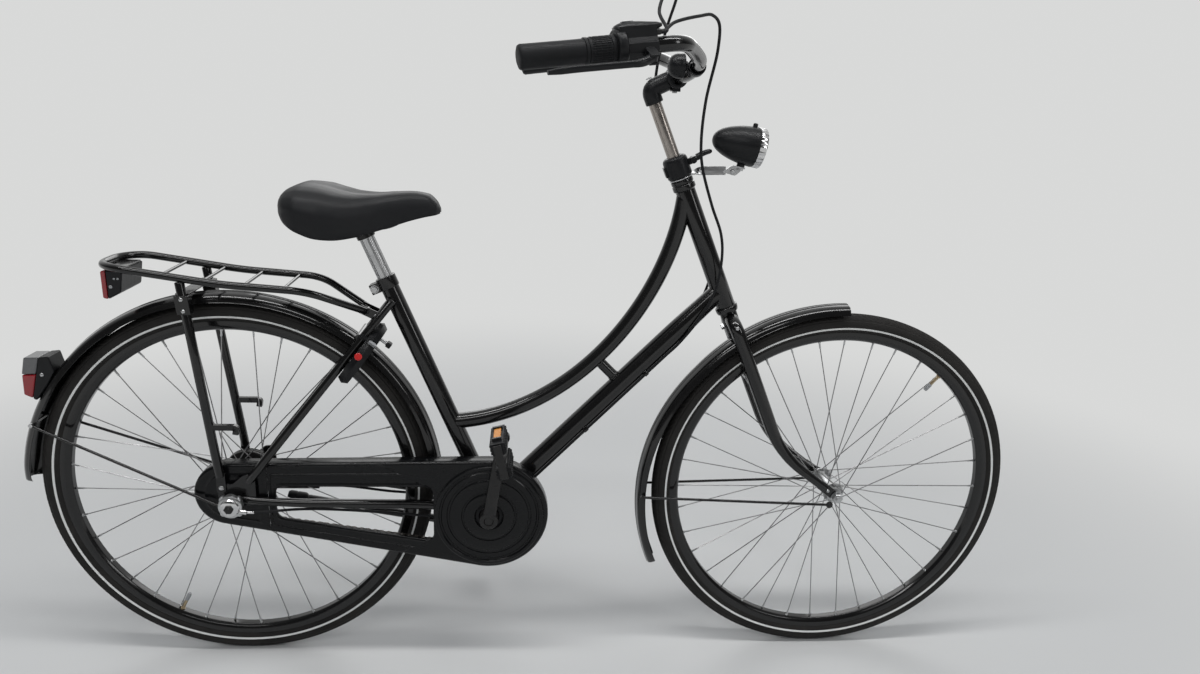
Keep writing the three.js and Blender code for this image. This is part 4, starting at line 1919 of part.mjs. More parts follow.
// Frames for what sits on the bar's right end: X runs inwards along the bar, and Z up or to the lever.
const gripSide = point(-Math.sin(radians(GRIP_TOE)), Math.cos(radians(GRIP_TOE)), 0);
const gripUp = gripDirection.clone().cross(gripSide);
const gripFrame = new THREE.Matrix4().makeBasis(gripDirection, gripSide, gripUp).setPosition(gripEnd);
const leverAway = gripSide.clone().multiplyScalar(-Math.sin(radians(BRAKE_LEVER_ANGLE)));
leverAway.addScaledVector(gripUp, -Math.cos(radians(BRAKE_LEVER_ANGLE)));
const brakeHinge = leverAway.clone().cross(gripDirection);
const onGrip = (distance, up = 0, side = 0) => point(distance, side, up).applyMatrix4(gripFrame);
const onLever = (distance, away, side = 0) => along(
  along(along(gripEnd, gripDirection, distance), leverAway, away), brakeHinge, side,
);
const barHole = (from, to) => hole(onGrip(from - OVERRUN), onGrip(to + OVERRUN), BAR_RADIUS + GAP);

// Grips: closed at the bar's end.
function grip(length) {
  return cut(
    fuse(
      rod(onGrip(-GRIP_CAP - GAP), onGrip(length), GRIP_RADIUS),
      rod(onGrip(length - GRIP_CAP), onGrip(length), GRIP_RADIUS + GRIP_LIP),
    ),
    hole(onGrip(-GAP), onGrip(length + OVERRUN), BAR_RADIUS + GAP),
  );
}
piece(steeringGroup, "right_grip", grip(GRIP_LENGTH), BLACK_RUBBER);
piece(steeringGroup, "left_grip", otherSide(grip(LEFT_GRIP_LENGTH)), BLACK_RUBBER);
const twistStart = GRIP_LENGTH + GAP;
const twistEnd = twistStart + TWIST_LENGTH;
piece(
  steeringGroup,
  "twist_grip",
  cut(rod(onGrip(twistStart), onGrip(twistEnd), TWIST_RADIUS), barHole(twistStart, twistEnd)),
  BLACK_RUBBER,
);

// The control housing holds the shifter's drum and the brake lever's pin.
const housingStart = twistEnd + GAP;
const housingEnd = housingStart + HOUSING_LENGTH;
const brakePivotAt = housingEnd - BRAKE_PIVOT_INSET;
const brakePivot = onLever(brakePivotAt, BRAKE_PIVOT_REACH);
const earHalf = BRAKE_LEVER_WIDTH / 2 + GAP + BRAKE_EAR_THICKNESS;
const leverFrame = new THREE.Matrix4().makeBasis(gripDirection, brakeHinge.clone().negate(), leverAway);
leverFrame.setPosition(gripEnd);
const eyeHalf = BRAKE_LEVER_WIDTH / 2;
const clearance = eyeHalf + GAP;
piece(
  steeringGroup,
  "control_housing",
  cut(
    fuse(
      cut(
        fuse(
          rod(onGrip(housingStart), onGrip(housingEnd), HOUSING_RADIUS),
          boxIn(
            gripFrame,
            point(housingStart + OVERRUN, -HOUSING_WIDTH / 2, 0),
            point(housingEnd, HOUSING_WIDTH / 2, HOUSING_TOP),
          ),
          boxIn(
            leverFrame,
            point(brakePivotAt - BRAKE_EYE_RADIUS, -earHalf, 0),
            point(brakePivotAt + BRAKE_EYE_RADIUS, earHalf, BRAKE_PIVOT_REACH + BRAKE_EYE_RADIUS),
          ),
        ),
        boxIn(
          leverFrame,
          point(housingStart - OVERRUN, -clearance, BRAKE_PIVOT_REACH - BRAKE_EYE_RADIUS - 2 * GAP),
          point(housingEnd + OVERRUN, clearance, BRAKE_LEVER_REACH + OVERRUN),
        ),
      ),
      rod(
        onLever(brakePivotAt, BRAKE_PIVOT_REACH, -earHalf + GAP),
        onLever(brakePivotAt, BRAKE_PIVOT_REACH, earHalf - GAP),
        BRAKE_PIN_RADIUS,
        THIN_SIDES,
      ),
    ),
    barHole(housingStart, housingEnd),
  ),
  BLACK_PLASTIC,
);
const leverTipAt = brakePivotAt - BRAKE_LEVER_LENGTH;
const leverPath = rounded(
  [
    brakePivot,
    onLever(brakePivotAt - BRAKE_EYE_RADIUS * 3, BRAKE_LEVER_REACH),
    onLever(leverTipAt + BRAKE_EYE_RADIUS * 3, BRAKE_LEVER_REACH),
    onLever(leverTipAt, BRAKE_LEVER_REACH + BRAKE_LEVER_RADIUS),
  ],
  HOUSING_RADIUS,
);
const leverSizes = leverPath.map(() => [BRAKE_LEVER_RADIUS, BRAKE_LEVER_WIDTH / 2]);
piece(
  steeringGroup,
  "brake_lever",
  cut(
    fuse(
      tube(leverPath, leverSizes, THIN_SIDES, leverAway),
      rod(
        onLever(brakePivotAt, BRAKE_PIVOT_REACH, -eyeHalf),
        onLever(brakePivotAt, BRAKE_PIVOT_REACH, eyeHalf),
        BRAKE_EYE_RADIUS,
      ),
    ),
    hole(
      onLever(brakePivotAt, BRAKE_PIVOT_REACH, -earHalf - OVERRUN),
      onLever(brakePivotAt, BRAKE_PIVOT_REACH, earHalf + OVERRUN),
      BRAKE_PIN_RADIUS + GAP,
      THIN_SIDES,
    ),
  ),
  BLACK_PLASTIC,
);

// The bell looks back at the rider; its thumb lever turns on the post between clamp and dome.
const bellPlace = barPath.findIndex((p) => p.y > -BELL_OFFSET);
const bellBar = barPath[bellPlace - 1].clone().lerp(barPath[bellPlace], 1 / 2);
const bellAlong = barPath[bellPlace].clone().sub(barPath[bellPlace - 1]).normalize();
const bellBack = along(FORWARD, bellAlong, -FORWARD.dot(bellAlong)).normalize().negate();
const bellLeverFrom = BELL_CLAMP_RADIUS + GAP;
const bellLeverTo = bellLeverFrom + BELL_LEVER_THICKNESS;
const domeFrom = bellLeverTo + BELL_LEVER_THICKNESS;
const domeTop = domeFrom + BELL_HEIGHT;
piece(
  steeringGroup,
  "bell",
  cut(
    fuse(
      rod(
        along(bellBar, bellAlong, -BELL_CLAMP_WIDTH / 2),
        along(bellBar, bellAlong, BELL_CLAMP_WIDTH / 2),
        BELL_CLAMP_RADIUS,
      ),
      revolved(
        [
          [0, 0],
          [BELL_POST_RADIUS, 0],
          [BELL_POST_RADIUS, domeTop - 2 * BELL_WALL],
          [(BELL_RADIUS * 2) / 3, domeTop - BELL_HEIGHT / 3],
          [BELL_RADIUS - BELL_WALL, domeTop - (BELL_HEIGHT * 2) / 3],
          [BELL_RADIUS - BELL_WALL, domeFrom],
          [BELL_RADIUS, domeFrom],
          [BELL_RADIUS, domeTop - (BELL_HEIGHT * 2) / 3 + BELL_WALL],
          [(BELL_RADIUS * 2) / 3 + BELL_WALL, domeTop - BELL_HEIGHT / 3 + BELL_WALL],
          [BELL_POST_RADIUS * 2, domeTop],
          [0, domeTop],
        ],
        bellBar,
        bellBack,
        ROUND_SIDES,
      ),
    ),
    barGrown,
  ),
  BLACK_PLASTIC,
);
const bellLeverDown = along(UPWARD, bellBack, -UPWARD.dot(bellBack)).normalize().negate();
bellLeverDown.applyAxisAngle(bellBack, radians(BELL_LEVER_ANGLE));
const bellLeverMiddle = along(bellBar, bellBack, (bellLeverFrom + bellLeverTo) / 2);
piece(
  steeringGroup,
  "bell_lever",
  cut(
    fuse(
      rod(along(bellBar, bellBack, bellLeverFrom), along(bellBar, bellBack, bellLeverTo), BELL_LEVER_RADIUS),
      rod(
        bellLeverMiddle,
        along(bellLeverMiddle, bellLeverDown, BELL_LEVER_LENGTH),
        BELL_LEVER_THICKNESS / 2,
        THIN_SIDES,
      ),
    ),
    hole(bellBar, along(bellBar, bellBack, domeFrom), BELL_POST_RADIUS + GAP),
  ),
  BLACK_PLASTIC,
);

// Cables: the shifter's runs down the right of the frame, the brake's down its left, both under the crank.
function cable(route) {
  const section = new THREE.Shape().absarc(0, 0, CABLE_RADIUS, 0, 2 * Math.PI);
  const extrudePath = new THREE.CatmullRomCurve3(route, false, "centripetal");
  const curveSegments = CABLE_SIDES / 2;
  return solid(new THREE.ExtrudeGeometry(section, { steps: CABLE_STEPS, extrudePath, curveSegments }));
}
const toPoints = (places) => places.map((place) => point(...place));
const shiftRoute = [
  onGrip(housingEnd + 2 * GAP, CABLE_EXIT_UP, CABLE_EXIT_ASIDE),
  onGrip(housingEnd + CABLE_LEAD, CABLE_EXIT_UP, CABLE_EXIT_ASIDE),
  ...toPoints(SHIFT_CABLE_HIGH),
  ...CABLE_TUBE_SHARES.map((share) => besideDownTube(share, RIGHT)),
  ...toPoints(SHIFT_CABLE_LOW),
  point(shiftCentre.x + SHIFT_UNIT_WIDTH / 2 + GAP + CABLE_RADIUS, -shiftEnd + SHIFT_UNIT_LENGTH / 2, CABLE_END_HEIGHT),
];
const brakeRoute = [
  onGrip(housingEnd + 2 * GAP, CABLE_EXIT_UP, -CABLE_EXIT_ASIDE),
  onGrip(housingEnd + CABLE_LEAD, CABLE_EXIT_UP, -CABLE_EXIT_ASIDE),
  ...toPoints(BRAKE_CABLE_HIGH),
  ...CABLE_TUBE_SHARES.map((share) => besideDownTube(share, LEFT)),
  ...toPoints(BRAKE_CABLE_LOW),
  along(armEnd, FORWARD, BRAKE_ARM_THICKNESS + 2 * GAP),
];
piece(frameGroup, "shift_cable", cable(shiftRoute), BLACK_RUBBER);
piece(frameGroup, "brake_cable", cable(brakeRoute), BLACK_RUBBER);

bike.updateMatrixWorld(true);
const extent = new THREE.Box3().setFromObject(bike);
bike.position.x = -(extent.min.x + extent.max.x) / 2;

export default bike;
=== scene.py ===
"""A black step-through city bike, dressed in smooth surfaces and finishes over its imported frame.

Lengths are in millimetres from the rear hub's place on the ground, +X forward, +Y to the rider's left, +Z up;
make() turns them into metres in the row's frame.
"""

import math

import bmesh
import bpy
import numpy as np
from mathutils import Euler, Matrix, Vector


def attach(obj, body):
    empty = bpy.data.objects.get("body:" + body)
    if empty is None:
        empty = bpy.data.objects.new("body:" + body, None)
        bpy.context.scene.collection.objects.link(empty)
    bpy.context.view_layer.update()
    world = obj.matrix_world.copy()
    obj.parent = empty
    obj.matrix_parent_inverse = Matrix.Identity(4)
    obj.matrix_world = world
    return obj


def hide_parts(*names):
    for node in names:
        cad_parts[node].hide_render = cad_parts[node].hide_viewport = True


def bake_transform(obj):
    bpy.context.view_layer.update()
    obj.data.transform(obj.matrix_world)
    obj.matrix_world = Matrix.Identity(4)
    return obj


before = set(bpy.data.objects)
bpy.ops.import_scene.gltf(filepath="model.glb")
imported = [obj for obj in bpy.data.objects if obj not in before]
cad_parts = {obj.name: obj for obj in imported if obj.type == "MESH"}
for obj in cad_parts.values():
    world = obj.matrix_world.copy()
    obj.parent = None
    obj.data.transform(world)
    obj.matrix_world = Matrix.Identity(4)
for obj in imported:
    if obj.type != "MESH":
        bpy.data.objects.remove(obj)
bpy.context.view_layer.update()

MM = 0.001
HUB_X = -544.56494
SIDES = RIGHT, LEFT = -1, 1
TURN = 2 * math.pi
FORWARD, ACROSS, UPWARD = np.eye(3)


# Directions and paths
def spot(x, y, z):
    """A place or a direction as an array."""
    return np.array([x, y, z], float)


def unit(v):
    """The same direction with a length of one."""
    v = np.asarray(v, float)
    return v / np.linalg.norm(v)


def slope(degrees):
    """A direction in the bike's middle plane, at an angle above forward."""
    turn = math.radians(degrees)
    return spot(math.cos(turn), 0, math.sin(turn))


def mirrored(points):
    """The same points on the bike's other side."""
    return np.asarray(points, float) * [1, -1, 1]


def rounded(corners, bend, steps=8):
    """A path whose corners are rounded: near each corner it follows the parabola that touches both legs."""
    corners = [np.asarray(c, float) for c in corners]
    path = [corners[0]]
    t = np.linspace(0, 1, steps + 1)[:, None]
    for before, corner, after in zip(corners, corners[1:], corners[2:]):
        back, on = before - corner, after - corner
        reach = min(bend, np.linalg.norm(back) / 2, np.linalg.norm(on) / 2)
        start, end = corner + unit(back) * reach, corner + unit(on) * reach
        path.extend((1 - t) ** 2 * start + 2 * t * (1 - t) * corner + t**2 * end)
    path.append(corners[-1])
    path = np.array(path)
    kept = np.r_[True, np.linalg.norm(np.diff(path, axis=0), axis=1) > 1e-3]
    return path[kept]


def ring_rounded(corners, bend, steps=6):
    """A closed outline whose corners are all rounded."""
    corners = np.asarray(corners, float)
    start = (corners[-1] + corners[0]) / 2
    return rounded([start, *corners, start], bend, steps)[:-1]


def glide(x, xs, ys):
    """A smooth curve through given values that never overshoots them: cubic pieces with limited slopes."""
    xs, ys = np.asarray(xs, float), np.asarray(ys, float)
    width = np.diff(xs)
    rise = np.diff(ys) / width
    inner = np.where(rise[:-1] * rise[1:] > 0, 2 * rise[:-1] * rise[1:] / (rise[:-1] + rise[1:] + 1e-12), 0)
    lean = np.r_[rise[0], inner, rise[-1]]
    i = np.clip(np.searchsorted(xs, x) - 1, 0, len(width) - 1)
    t = (x - xs[i]) / width[i]
    start, end = ys[i] * (1 + 2 * t) * (1 - t) ** 2, ys[i + 1] * t**2 * (3 - 2 * t)
    return start + lean[i] * width[i] * t * (1 - t) ** 2 + end + lean[i + 1] * width[i] * t**2 * (t - 1)


def through(points, count):
    """A smooth route through points: each stretch is the cubic whose knots lie root-of-distance apart."""
    p = np.asarray(points, float)
    p = np.vstack([2 * p[0] - p[1], p, 2 * p[-1] - p[-2]])
    gaps = np.sqrt(np.linalg.norm(np.diff(p, axis=0), axis=1))
    knots = np.r_[0, np.cumsum(gaps)]
    at = np.linspace(knots[1], knots[-2], count)
    i = np.clip(np.searchsorted(knots, at) - 1, 1, len(p) - 3)
    k = [knots[i + n][:, None] for n in (-1, 0, 1, 2)]
    q = [p[i + n] for n in (-1, 0, 1, 2)]
    t = at[:, None]

    def mix(a, b, ka, kb):
        """The straight line from a at one knot to b at another."""
        return a * (kb - t) / (kb - ka) + b * (t - ka) / (kb - ka)

    a1, a2, a3 = (mix(q[n], q[n + 1], k[n], k[n + 1]) for n in range(3))
    b1, b2 = mix(a1, a2, k[0], k[2]), mix(a2, a3, k[1], k[3])
    return mix(b1, b2, k[1], k[2])


def bezier(a, b, c, d, count):
    """The cubic curve from a to d that leaves towards b and arrives from c."""
    t = np.linspace(0, 1, count)[:, None]
    return (1 - t) ** 3 * a + 3 * t * (1 - t) ** 2 * b + 3 * t**2 * (1 - t) * c + t**3 * d


def between(a, b, count):
    """Points spaced evenly along a straight line."""
    t = np.linspace(0, 1, count)[:, None]
    return (1 - t) * np.asarray(a, float) + t * np.asarray(b, float)


def carried(path, first=None):
    """Two directions square to a path at each point, turned as little as can be from one to the next."""
    ahead = np.gradient(path, axis=0)
    ahead /= np.linalg.norm(ahead, axis=1, keepdims=True)
    side = first
    if side is None:
        side = ACROSS if abs(ahead[0] @ ACROSS) < 0.8 else UPWARD
    sides = []
    for direction in ahead:
        side = unit(side - direction * (side @ direction))
        sides.append(side)
    sides = np.array(sides)
    return sides, np.cross(ahead, sides)


# Surfaces
def skin(grid, around=True, loop=False, ends=True):
    """Faces over a grid of points: rows run along, columns run around, and the two end rows may be closed."""
    rows, cols = grid.shape[:2]
    i = np.arange(rows if loop else rows - 1)[:, None]
    j = np.arange(cols if around else cols - 1)[None, :]
    here, there = i * cols, ((i + 1) % rows) * cols
    k = (j + 1) % cols
    quads = np.stack([here + j, here + k, there + k, there + j], -1).reshape(-1, 4).tolist()
    if ends and around and not loop:
        quads.append(list(range(cols))[::-1])
        quads.append(list(range((rows - 1) * cols, rows * cols)))
    return grid.reshape(-1, 3), quads


def ring_of(sides, turned=0.0):
    """A circle of points of radius one, turned by a share of their spacing."""
    turn = (np.arange(sides) + turned) * TURN / sides
    return np.stack([np.cos(turn), np.sin(turn)], -1)


def sweep(path, section, size=1.0, first=None, loop=False, ends=True):
    """A flat section carried along a path and scaled at each point, in one or in both of its directions."""
    path = np.asarray(path, float)
    across, over = carried(path, first)
    size = np.asarray(size, float)
    if size.ndim == 0:
        size = np.full(len(path), float(size))
    if size.ndim == 1:
        size = np.stack([size, size], -1)
    flat = section[None, :, :] * size[:, None, :]
    grid = path[:, None] + flat[..., :1] * across[:, None] + flat[..., 1:] * over[:, None]
    return skin(grid, loop=loop, ends=ends)


def tube(path, radius, sides=20, soft=0.0, first=None):
    """A round tube along a path; soft rounds the edges of its two ends by that much."""
    path = np.asarray(path, float)
    radius = np.broadcast_to(np.asarray(radius, float), (len(path),)).copy()
    if soft > 0:
        head, tail = unit(path[1] - path[0]), unit(path[-2] - path[-1])
        shares = np.array([0, 0.3, 1])
        drop = np.array([1, 0.3, 0]) * soft
        start = path[0] + head * (shares * soft)[:, None]
        end = (path[-1] + tail * (shares * soft)[:, None])[::-1]
        radius = np.r_[radius[0] - drop, radius[1:-1], (radius[-1] - drop)[::-1]]
        path = np.vstack([start, path[1:-1], end])
    return sweep(path, ring_of(sides), radius, first)


def lathe(profile, centre, axis, sides=48, loop=False):
    """A profile of radius and distance along an axis, turned round that axis."""
    profile = np.asarray(profile, float)
    axis = unit(axis)
    across = unit(np.cross(axis, UPWARD if abs(axis[2]) < 0.9 else FORWARD))
    over = np.cross(axis, across)
    turn = np.arange(sides) * TURN / sides
    ring = np.cos(turn)[:, None] * across + np.sin(turn)[:, None] * over
    grid = centre + profile[:, None, 1:] * axis + profile[:, None, :1] * ring
    return skin(grid, loop=loop, ends=not loop)


def block(middle, half, axes=None):
    """A box about a middle point, with its half sizes along three directions."""
    axes = np.eye(3) if axes is None else np.array([unit(a) for a in axes])
    signs = np.array([[x, y, z] for z in (-1, 1) for y, x in ((-1, -1), (-1, 1), (1, 1), (1, -1))], float)
    faces = [[3, 2, 1, 0], [4, 5, 6, 7], [0, 1, 5, 4], [1, 2, 6, 5], [2, 3, 7, 6], [3, 0, 4, 7]]
    return middle + (signs * half) @ axes, faces


def box(low, high):
    """A box between two opposite corners."""
    low, high = np.asarray(low, float), np.asarray(high, float)
    return block((low + high) / 2, (high - low) / 2)


def bar(start, end, width, thickness, side=ACROSS):
    """A flat bar from one point to another, its width along the given side."""
    start, end = np.asarray(start, float), np.asarray(end, float)
    ahead = unit(end - start)
    side = unit(side - ahead * (side @ ahead))
    half = [np.linalg.norm(end - start) / 2, width / 2, thickness / 2]
    return block((start + end) / 2, half, [ahead, side, np.cross(ahead, side)])


def flat_row(line, y):
    """A line in X and Z set at one value of Y."""
    line = np.asarray(line, float)
    return np.stack([line[:, 0], np.full(len(line), float(y)), line[:, 1]], -1)


def slab(outline, low_y, high_y):
    """A flat outline in X and Z made solid between two values of Y."""
    return skin(np.array([flat_row(outline, y) for y in (low_y, high_y)]))


def rect(inner, outer, low, high):
    """A profile between two radii and two distances along an axis."""
    return [[inner, low], [outer, low], [outer, high], [inner, high]]


def hoop(profile, bend, steps, centre, axis, sides):
    """A ring with rounded edges."""
    return lathe(ring_rounded(profile, bend, steps), centre, axis, sides, loop=True)


def washer(radius, thickness, centre, axis, sides):
    """A plain round disc standing from its centre along its axis."""
    return lathe(rect(0, radius, 0, thickness), centre, axis, sides)


def cross_line(middle, half):
    """A line straight across the bike through a point."""
    return [middle - ACROSS * half, middle + ACROSS * half]


def taper(share, wide, thick):
    """Two sizes at shares of a path's length, each from its knots and values."""
    return np.stack([glide(share, *wide), glide(share, *thick)], -1)


def nut(centre, axis, radius, thickness):
    """A six-sided nut with chamfered corners, standing from its centre along its axis."""
    c = radius * 0.1
    profile = [
        [0, 0], [radius - c, 0], [radius, c], [radius, thickness - c], [radius - c, thickness],
        [0, thickness],
    ]
    return lathe(profile, centre, axis, 6)


def dome(centre, axis, radius, height, sides=24):
    """A screw's rounded head: a quarter of an ellipse turned round its axis."""
    t = np.linspace(0, math.pi / 2, 7)
    profile = np.stack([radius * np.cos(t), height * np.sin(t)], -1)
    return lathe(np.vstack([[0, -0.5], [radius, -0.5], profile]), centre, axis, sides)


def other_side(part):
    """A part mirrored to the bike's other side, its faces still outwards."""
    points, faces = part
    return mirrored(points), [f[::-1] for f in faces]


def both(part):
    """A part and its mirror image."""
    return [part, other_side(part)]


def solid_of(node):
    """The faces of a CAD node, as a part for a piece of the scene."""
    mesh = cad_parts[node].data
    points = np.empty(len(mesh.vertices) * 3)
    mesh.vertices.foreach_get("co", points)
    return points.reshape(-1, 3) / MM - [HUB_X, 0, 0], [list(p.vertices) for p in mesh.polygons]


def make(name, finish, body, *parts, node=None, slot=None, bevel=0.0, wall=0.0, sharp=32, flats=False):
    """One piece of the scene from its parts: welded, facing outwards, smooth but for its sharp edges.
    Its slot argument is not used."""
    points, faces, count = [], [], 0
    for part_points, part_faces in parts:
        points.append(part_points)
        faces.extend([count + c for c in f] for f in part_faces)
        count += len(part_points)
    co = (np.concatenate(points) + [HUB_X, 0, 0]) * MM
    mesh = bpy.data.meshes.new(name)
    mesh.from_pydata(co.tolist(), [], faces)
    work = bmesh.new()
    work.from_mesh(mesh)
    bmesh.ops.remove_doubles(work, verts=work.verts, dist=3e-6)
    if flats:
        bmesh.ops.dissolve_limit(work, angle_limit=math.radians(1), verts=work.verts, edges=work.edges)
    bmesh.ops.recalc_face_normals(work, faces=work.faces)
    work.to_mesh(mesh)
    work.free()
    mesh.polygons.foreach_set("use_smooth", [True] * len(mesh.polygons))
    mesh.set_sharp_from_angle(angle=math.radians(sharp))
    mesh.materials.append(finish)
    piece = bpy.data.objects.new(name, mesh)
    bpy.context.scene.collection.objects.link(piece)
    if wall:
        shell = piece.modifiers.new("wall", "SOLIDIFY")
        shell.thickness, shell.offset = wall * MM, -1
    if bevel:
        edge = piece.modifiers.new("edges", "BEVEL")
        edge.width, edge.segments, edge.limit_method = bevel * MM, 2, "ANGLE"
        edge.angle_limit, edge.harden_normals = math.radians(sharp), True
        edge.use_clamp_overlap = True
    if node:
        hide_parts(node)
    if body:
        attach(piece, body)
    return piece


# Finishes
def effect(name, inputs, output, kind):
    """An empty shader group with named number and colour inputs and one output."""
    group = bpy.data.node_groups.new(name, "ShaderNodeTree")
    for label, value in inputs.items():
        sort = "NodeSocketColor" if isinstance(value, tuple) else "NodeSocketFloat"
        group.interface.new_socket(label, in_out="INPUT", socket_type=sort).default_value = value
    group.interface.new_socket(output, in_out="OUTPUT", socket_type=kind)
    return group, group.nodes.new("NodeGroupInput"), group.nodes.new("NodeGroupOutput")


def fresh(tree, *kinds):
    """New shader nodes of the given kinds."""
    return [tree.nodes.new("ShaderNode" + kind) for kind in kinds]


def preset(node, values):
    """Constants on a node's own sockets."""
    for key, value in values.items():
        node.inputs[key].default_value = value


def join(tree, *links):
    """Links, each given as a node, its output, the next node and its input."""
    for start, leaving, end, entering in links:
        tree.links.new(start.outputs[leaving], end.inputs[entering])


def mottle_effect():
    """Two colours mixed by soft noise on the object's own coordinates."""
    black, white = (0, 0, 0, 1), (1, 1, 1, 1)
    group, start, end = effect(
        "mottle", {"Scale": 20.0, "Amount": 0.5, "Main": black, "Second": white}, "Color", "NodeSocketColor",
    )
    place, noise, share, mix = fresh(group, "TexCoord", "TexNoise", "Math", "Mix")
    preset(noise, {"Detail": 5, "Roughness": 0.62})
    share.operation, mix.data_type = "MULTIPLY", "RGBA"
    join(
        group, (place, "Object", noise, "Vector"), (start, "Scale", noise, "Scale"), (noise, "Fac", share, 0),
        (start, "Amount", share, 1), (share, 0, mix, "Factor"), (start, "Main", mix, "A"),
        (start, "Second", mix, "B"), (mix, "Result", end, "Color"),
    )
    return group


def scuff_effect():
    """A roughness between two values: fine noise drawn out along X, as by rubbing, over broad smears."""
    group, start, end = effect(
        "scuffs", {"Scale": 30.0, "Low": 0.2, "High": 0.4}, "Roughness", "NodeSocketFloat",
    )
    place, turn, fine, broad = fresh(group, "TexCoord", "Mapping", "TexNoise", "TexNoise")
    mean, span = fresh(group, "Math", "MapRange")
    mean.operation = "MULTIPLY"
    preset(turn, {"Scale": (1, 5, 4)})
    preset(broad, {"Scale": 7})
    preset(span, {"From Min": 0.12, "From Max": 0.4})
    join(
        group, (place, "Object", turn, "Vector"), (turn, "Vector", fine, "Vector"),
        (place, "Object", broad, "Vector"), (start, "Scale", fine, "Scale"), (fine, "Fac", mean, 0),
        (broad, "Fac", mean, 1), (mean, 0, span, "Value"), (start, "Low", span, "To Min"),
        (start, "High", span, "To Max"), (span, "Result", end, "Roughness"),
    )
    return group


def grain_effect():
    """A height of small cells with creases between them: plastic when fine, vinyl's grain when coarse."""
    group, start, end = effect("grain", {"Scale": 400.0, "Cells": 0.5}, "Height", "NodeSocketFloat")
    place, cells, noise, mix = fresh(group, "TexCoord", "TexVoronoi", "TexNoise", "Mix")
    cells.feature = "SMOOTH_F1"
    join(
        group, (place, "Object", cells, "Vector"), (place, "Object", noise, "Vector"),
        (start, "Scale", cells, "Scale"), (start, "Scale", noise, "Scale"), (start, "Cells", mix, "Factor"),
        (noise, "Fac", mix, "A"), (cells, "Distance", mix, "B"), (mix, "Result", end, "Height"),
    )
    return group


MOTTLE, SCUFFS, GRAIN = mottle_effect(), scuff_effect(), grain_effect()


def finish(name, slot, main, second, mottle, rough, grain, scuff=30.0, gloss=0.5, **values):
    """A material. mottle: scale, amount. rough: its two ends. grain: scale, share of cells, depth in mm."""
    material = bpy.data.materials.new(name)
    material.use_nodes = True
    tree = material.node_tree
    shader = tree.nodes["Principled BSDF"]

    def place(group, values):
        """One of the effects, set in this material."""
        node = tree.nodes.new("ShaderNodeGroup")
        node.node_tree = group
        preset(node, values)
        return node

    colour_values = {"Scale": mottle[0], "Amount": mottle[1], "Main": (*main, 1), "Second": (*second, 1)}
    colour = place(MOTTLE, colour_values)
    wear = place(SCUFFS, {"Scale": scuff, "Low": rough[0], "High": rough[1]})
    relief = place(GRAIN, {"Scale": grain[0], "Cells": grain[1]})
    bump = tree.nodes.new("ShaderNodeBump")
    preset(bump, {"Strength": 1, "Distance": grain[2] * MM})
    join(
        tree, (colour, "Color", shader, "Base Color"), (wear, "Roughness", shader, "Roughness"),
        (relief, "Height", bump, "Height"), (bump, "Normal", shader, "Normal"),
    )
    preset(shader, {"Specular IOR Level": gloss})
    preset(shader, {key.replace("_", " ").title(): value for key, value in values.items()})
    return material


PAINT = finish(
    "black_paint", "black_paint", (0.003, 0.003, 0.0033), (0.011, 0.0105, 0.01), (9, 0.35), (0.12, 0.26),
    (60, 0.0, 0.03), gloss=0.3, coat_weight=0.42, coat_roughness=0.04,
)
CASE_PAINT = finish(
    "case_paint", "black_paint", (0.0028, 0.0031, 0.0038), (0.009, 0.009, 0.0088), (14, 0.4), (0.18, 0.32),
    (500, 0.3, 0.02), gloss=0.2, coat_weight=0.1, coat_roughness=0.06,
)
PLASTIC = finish(
    "moulded_plastic", "black_plastic", (0.004, 0.0044, 0.0054), (0.01, 0.0105, 0.0115), (25, 0.5),
    (0.3, 0.46), (700, 0.5, 0.04), gloss=0.25,
)
RUBBER = finish(
    "grip_rubber", "rubber", (0.0055, 0.006, 0.0072), (0.013, 0.0132, 0.014), (30, 0.5), (0.45, 0.65),
    (900, 0.5, 0.05), gloss=0.22,
)
TYRE = finish(
    "tyre_rubber", "tyre", (0.008, 0.008, 0.0082), (0.034, 0.031, 0.028), (16, 0.75), (0.62, 0.85),
    (600, 0.4, 0.1), gloss=0.2,
)
STRIPE = finish(
    "reflective_stripe", "tyre", (0.74, 0.75, 0.74), (0.5, 0.5, 0.48), (30, 0.5), (0.28, 0.45),
    (900, 0.6, 0.03),
)
SILVER = finish(
    "dull_silver", "silver", (0.56, 0.57, 0.58), (0.36, 0.35, 0.34), (35, 0.5), (0.24, 0.42),
    (500, 0.2, 0.03), metallic=1.0,
)
POLISHED = finish(
    "chrome_plate", "chrome", (0.66, 0.66, 0.67), (0.45, 0.44, 0.42), (60, 0.4), (0.08, 0.2),
    (300, 0.1, 0.01), metallic=1.0,
)
DULL_CHROME = finish(
    "dull_chrome", "chrome", (0.42, 0.39, 0.36), (0.22, 0.19, 0.17), (26, 0.7), (0.26, 0.42),
    (300, 0.1, 0.01), metallic=1.0,
)
SPOKE = finish(
    "spoke_steel", "silver", (0.36, 0.36, 0.37), (0.22, 0.21, 0.2), (40, 0.6), (0.25, 0.4), (400, 0.1, 0.01),
    metallic=1.0,
)
DARK_STEEL = finish(
    "worn_black_steel", "black_paint", (0.007, 0.007, 0.0075), (0.034, 0.032, 0.03), (45, 0.45), (0.24, 0.45),
    (400, 0.3, 0.04), gloss=0.4, metallic=0.15,
)
CHAIN = finish(
    "oiled_chain", "chain_steel", (0.16, 0.15, 0.145), (0.05, 0.04, 0.03), (120, 0.8), (0.3, 0.55),
    (500, 0.3, 0.03), metallic=1.0,
)
VINYL = finish(
    "saddle_vinyl", "vinyl", (0.0055, 0.006, 0.0072), (0.0125, 0.013, 0.0145), (12, 0.5), (0.44, 0.58),
    (620, 0.75, 0.14), gloss=0.22, coat_weight=0.04, coat_roughness=0.4,
)
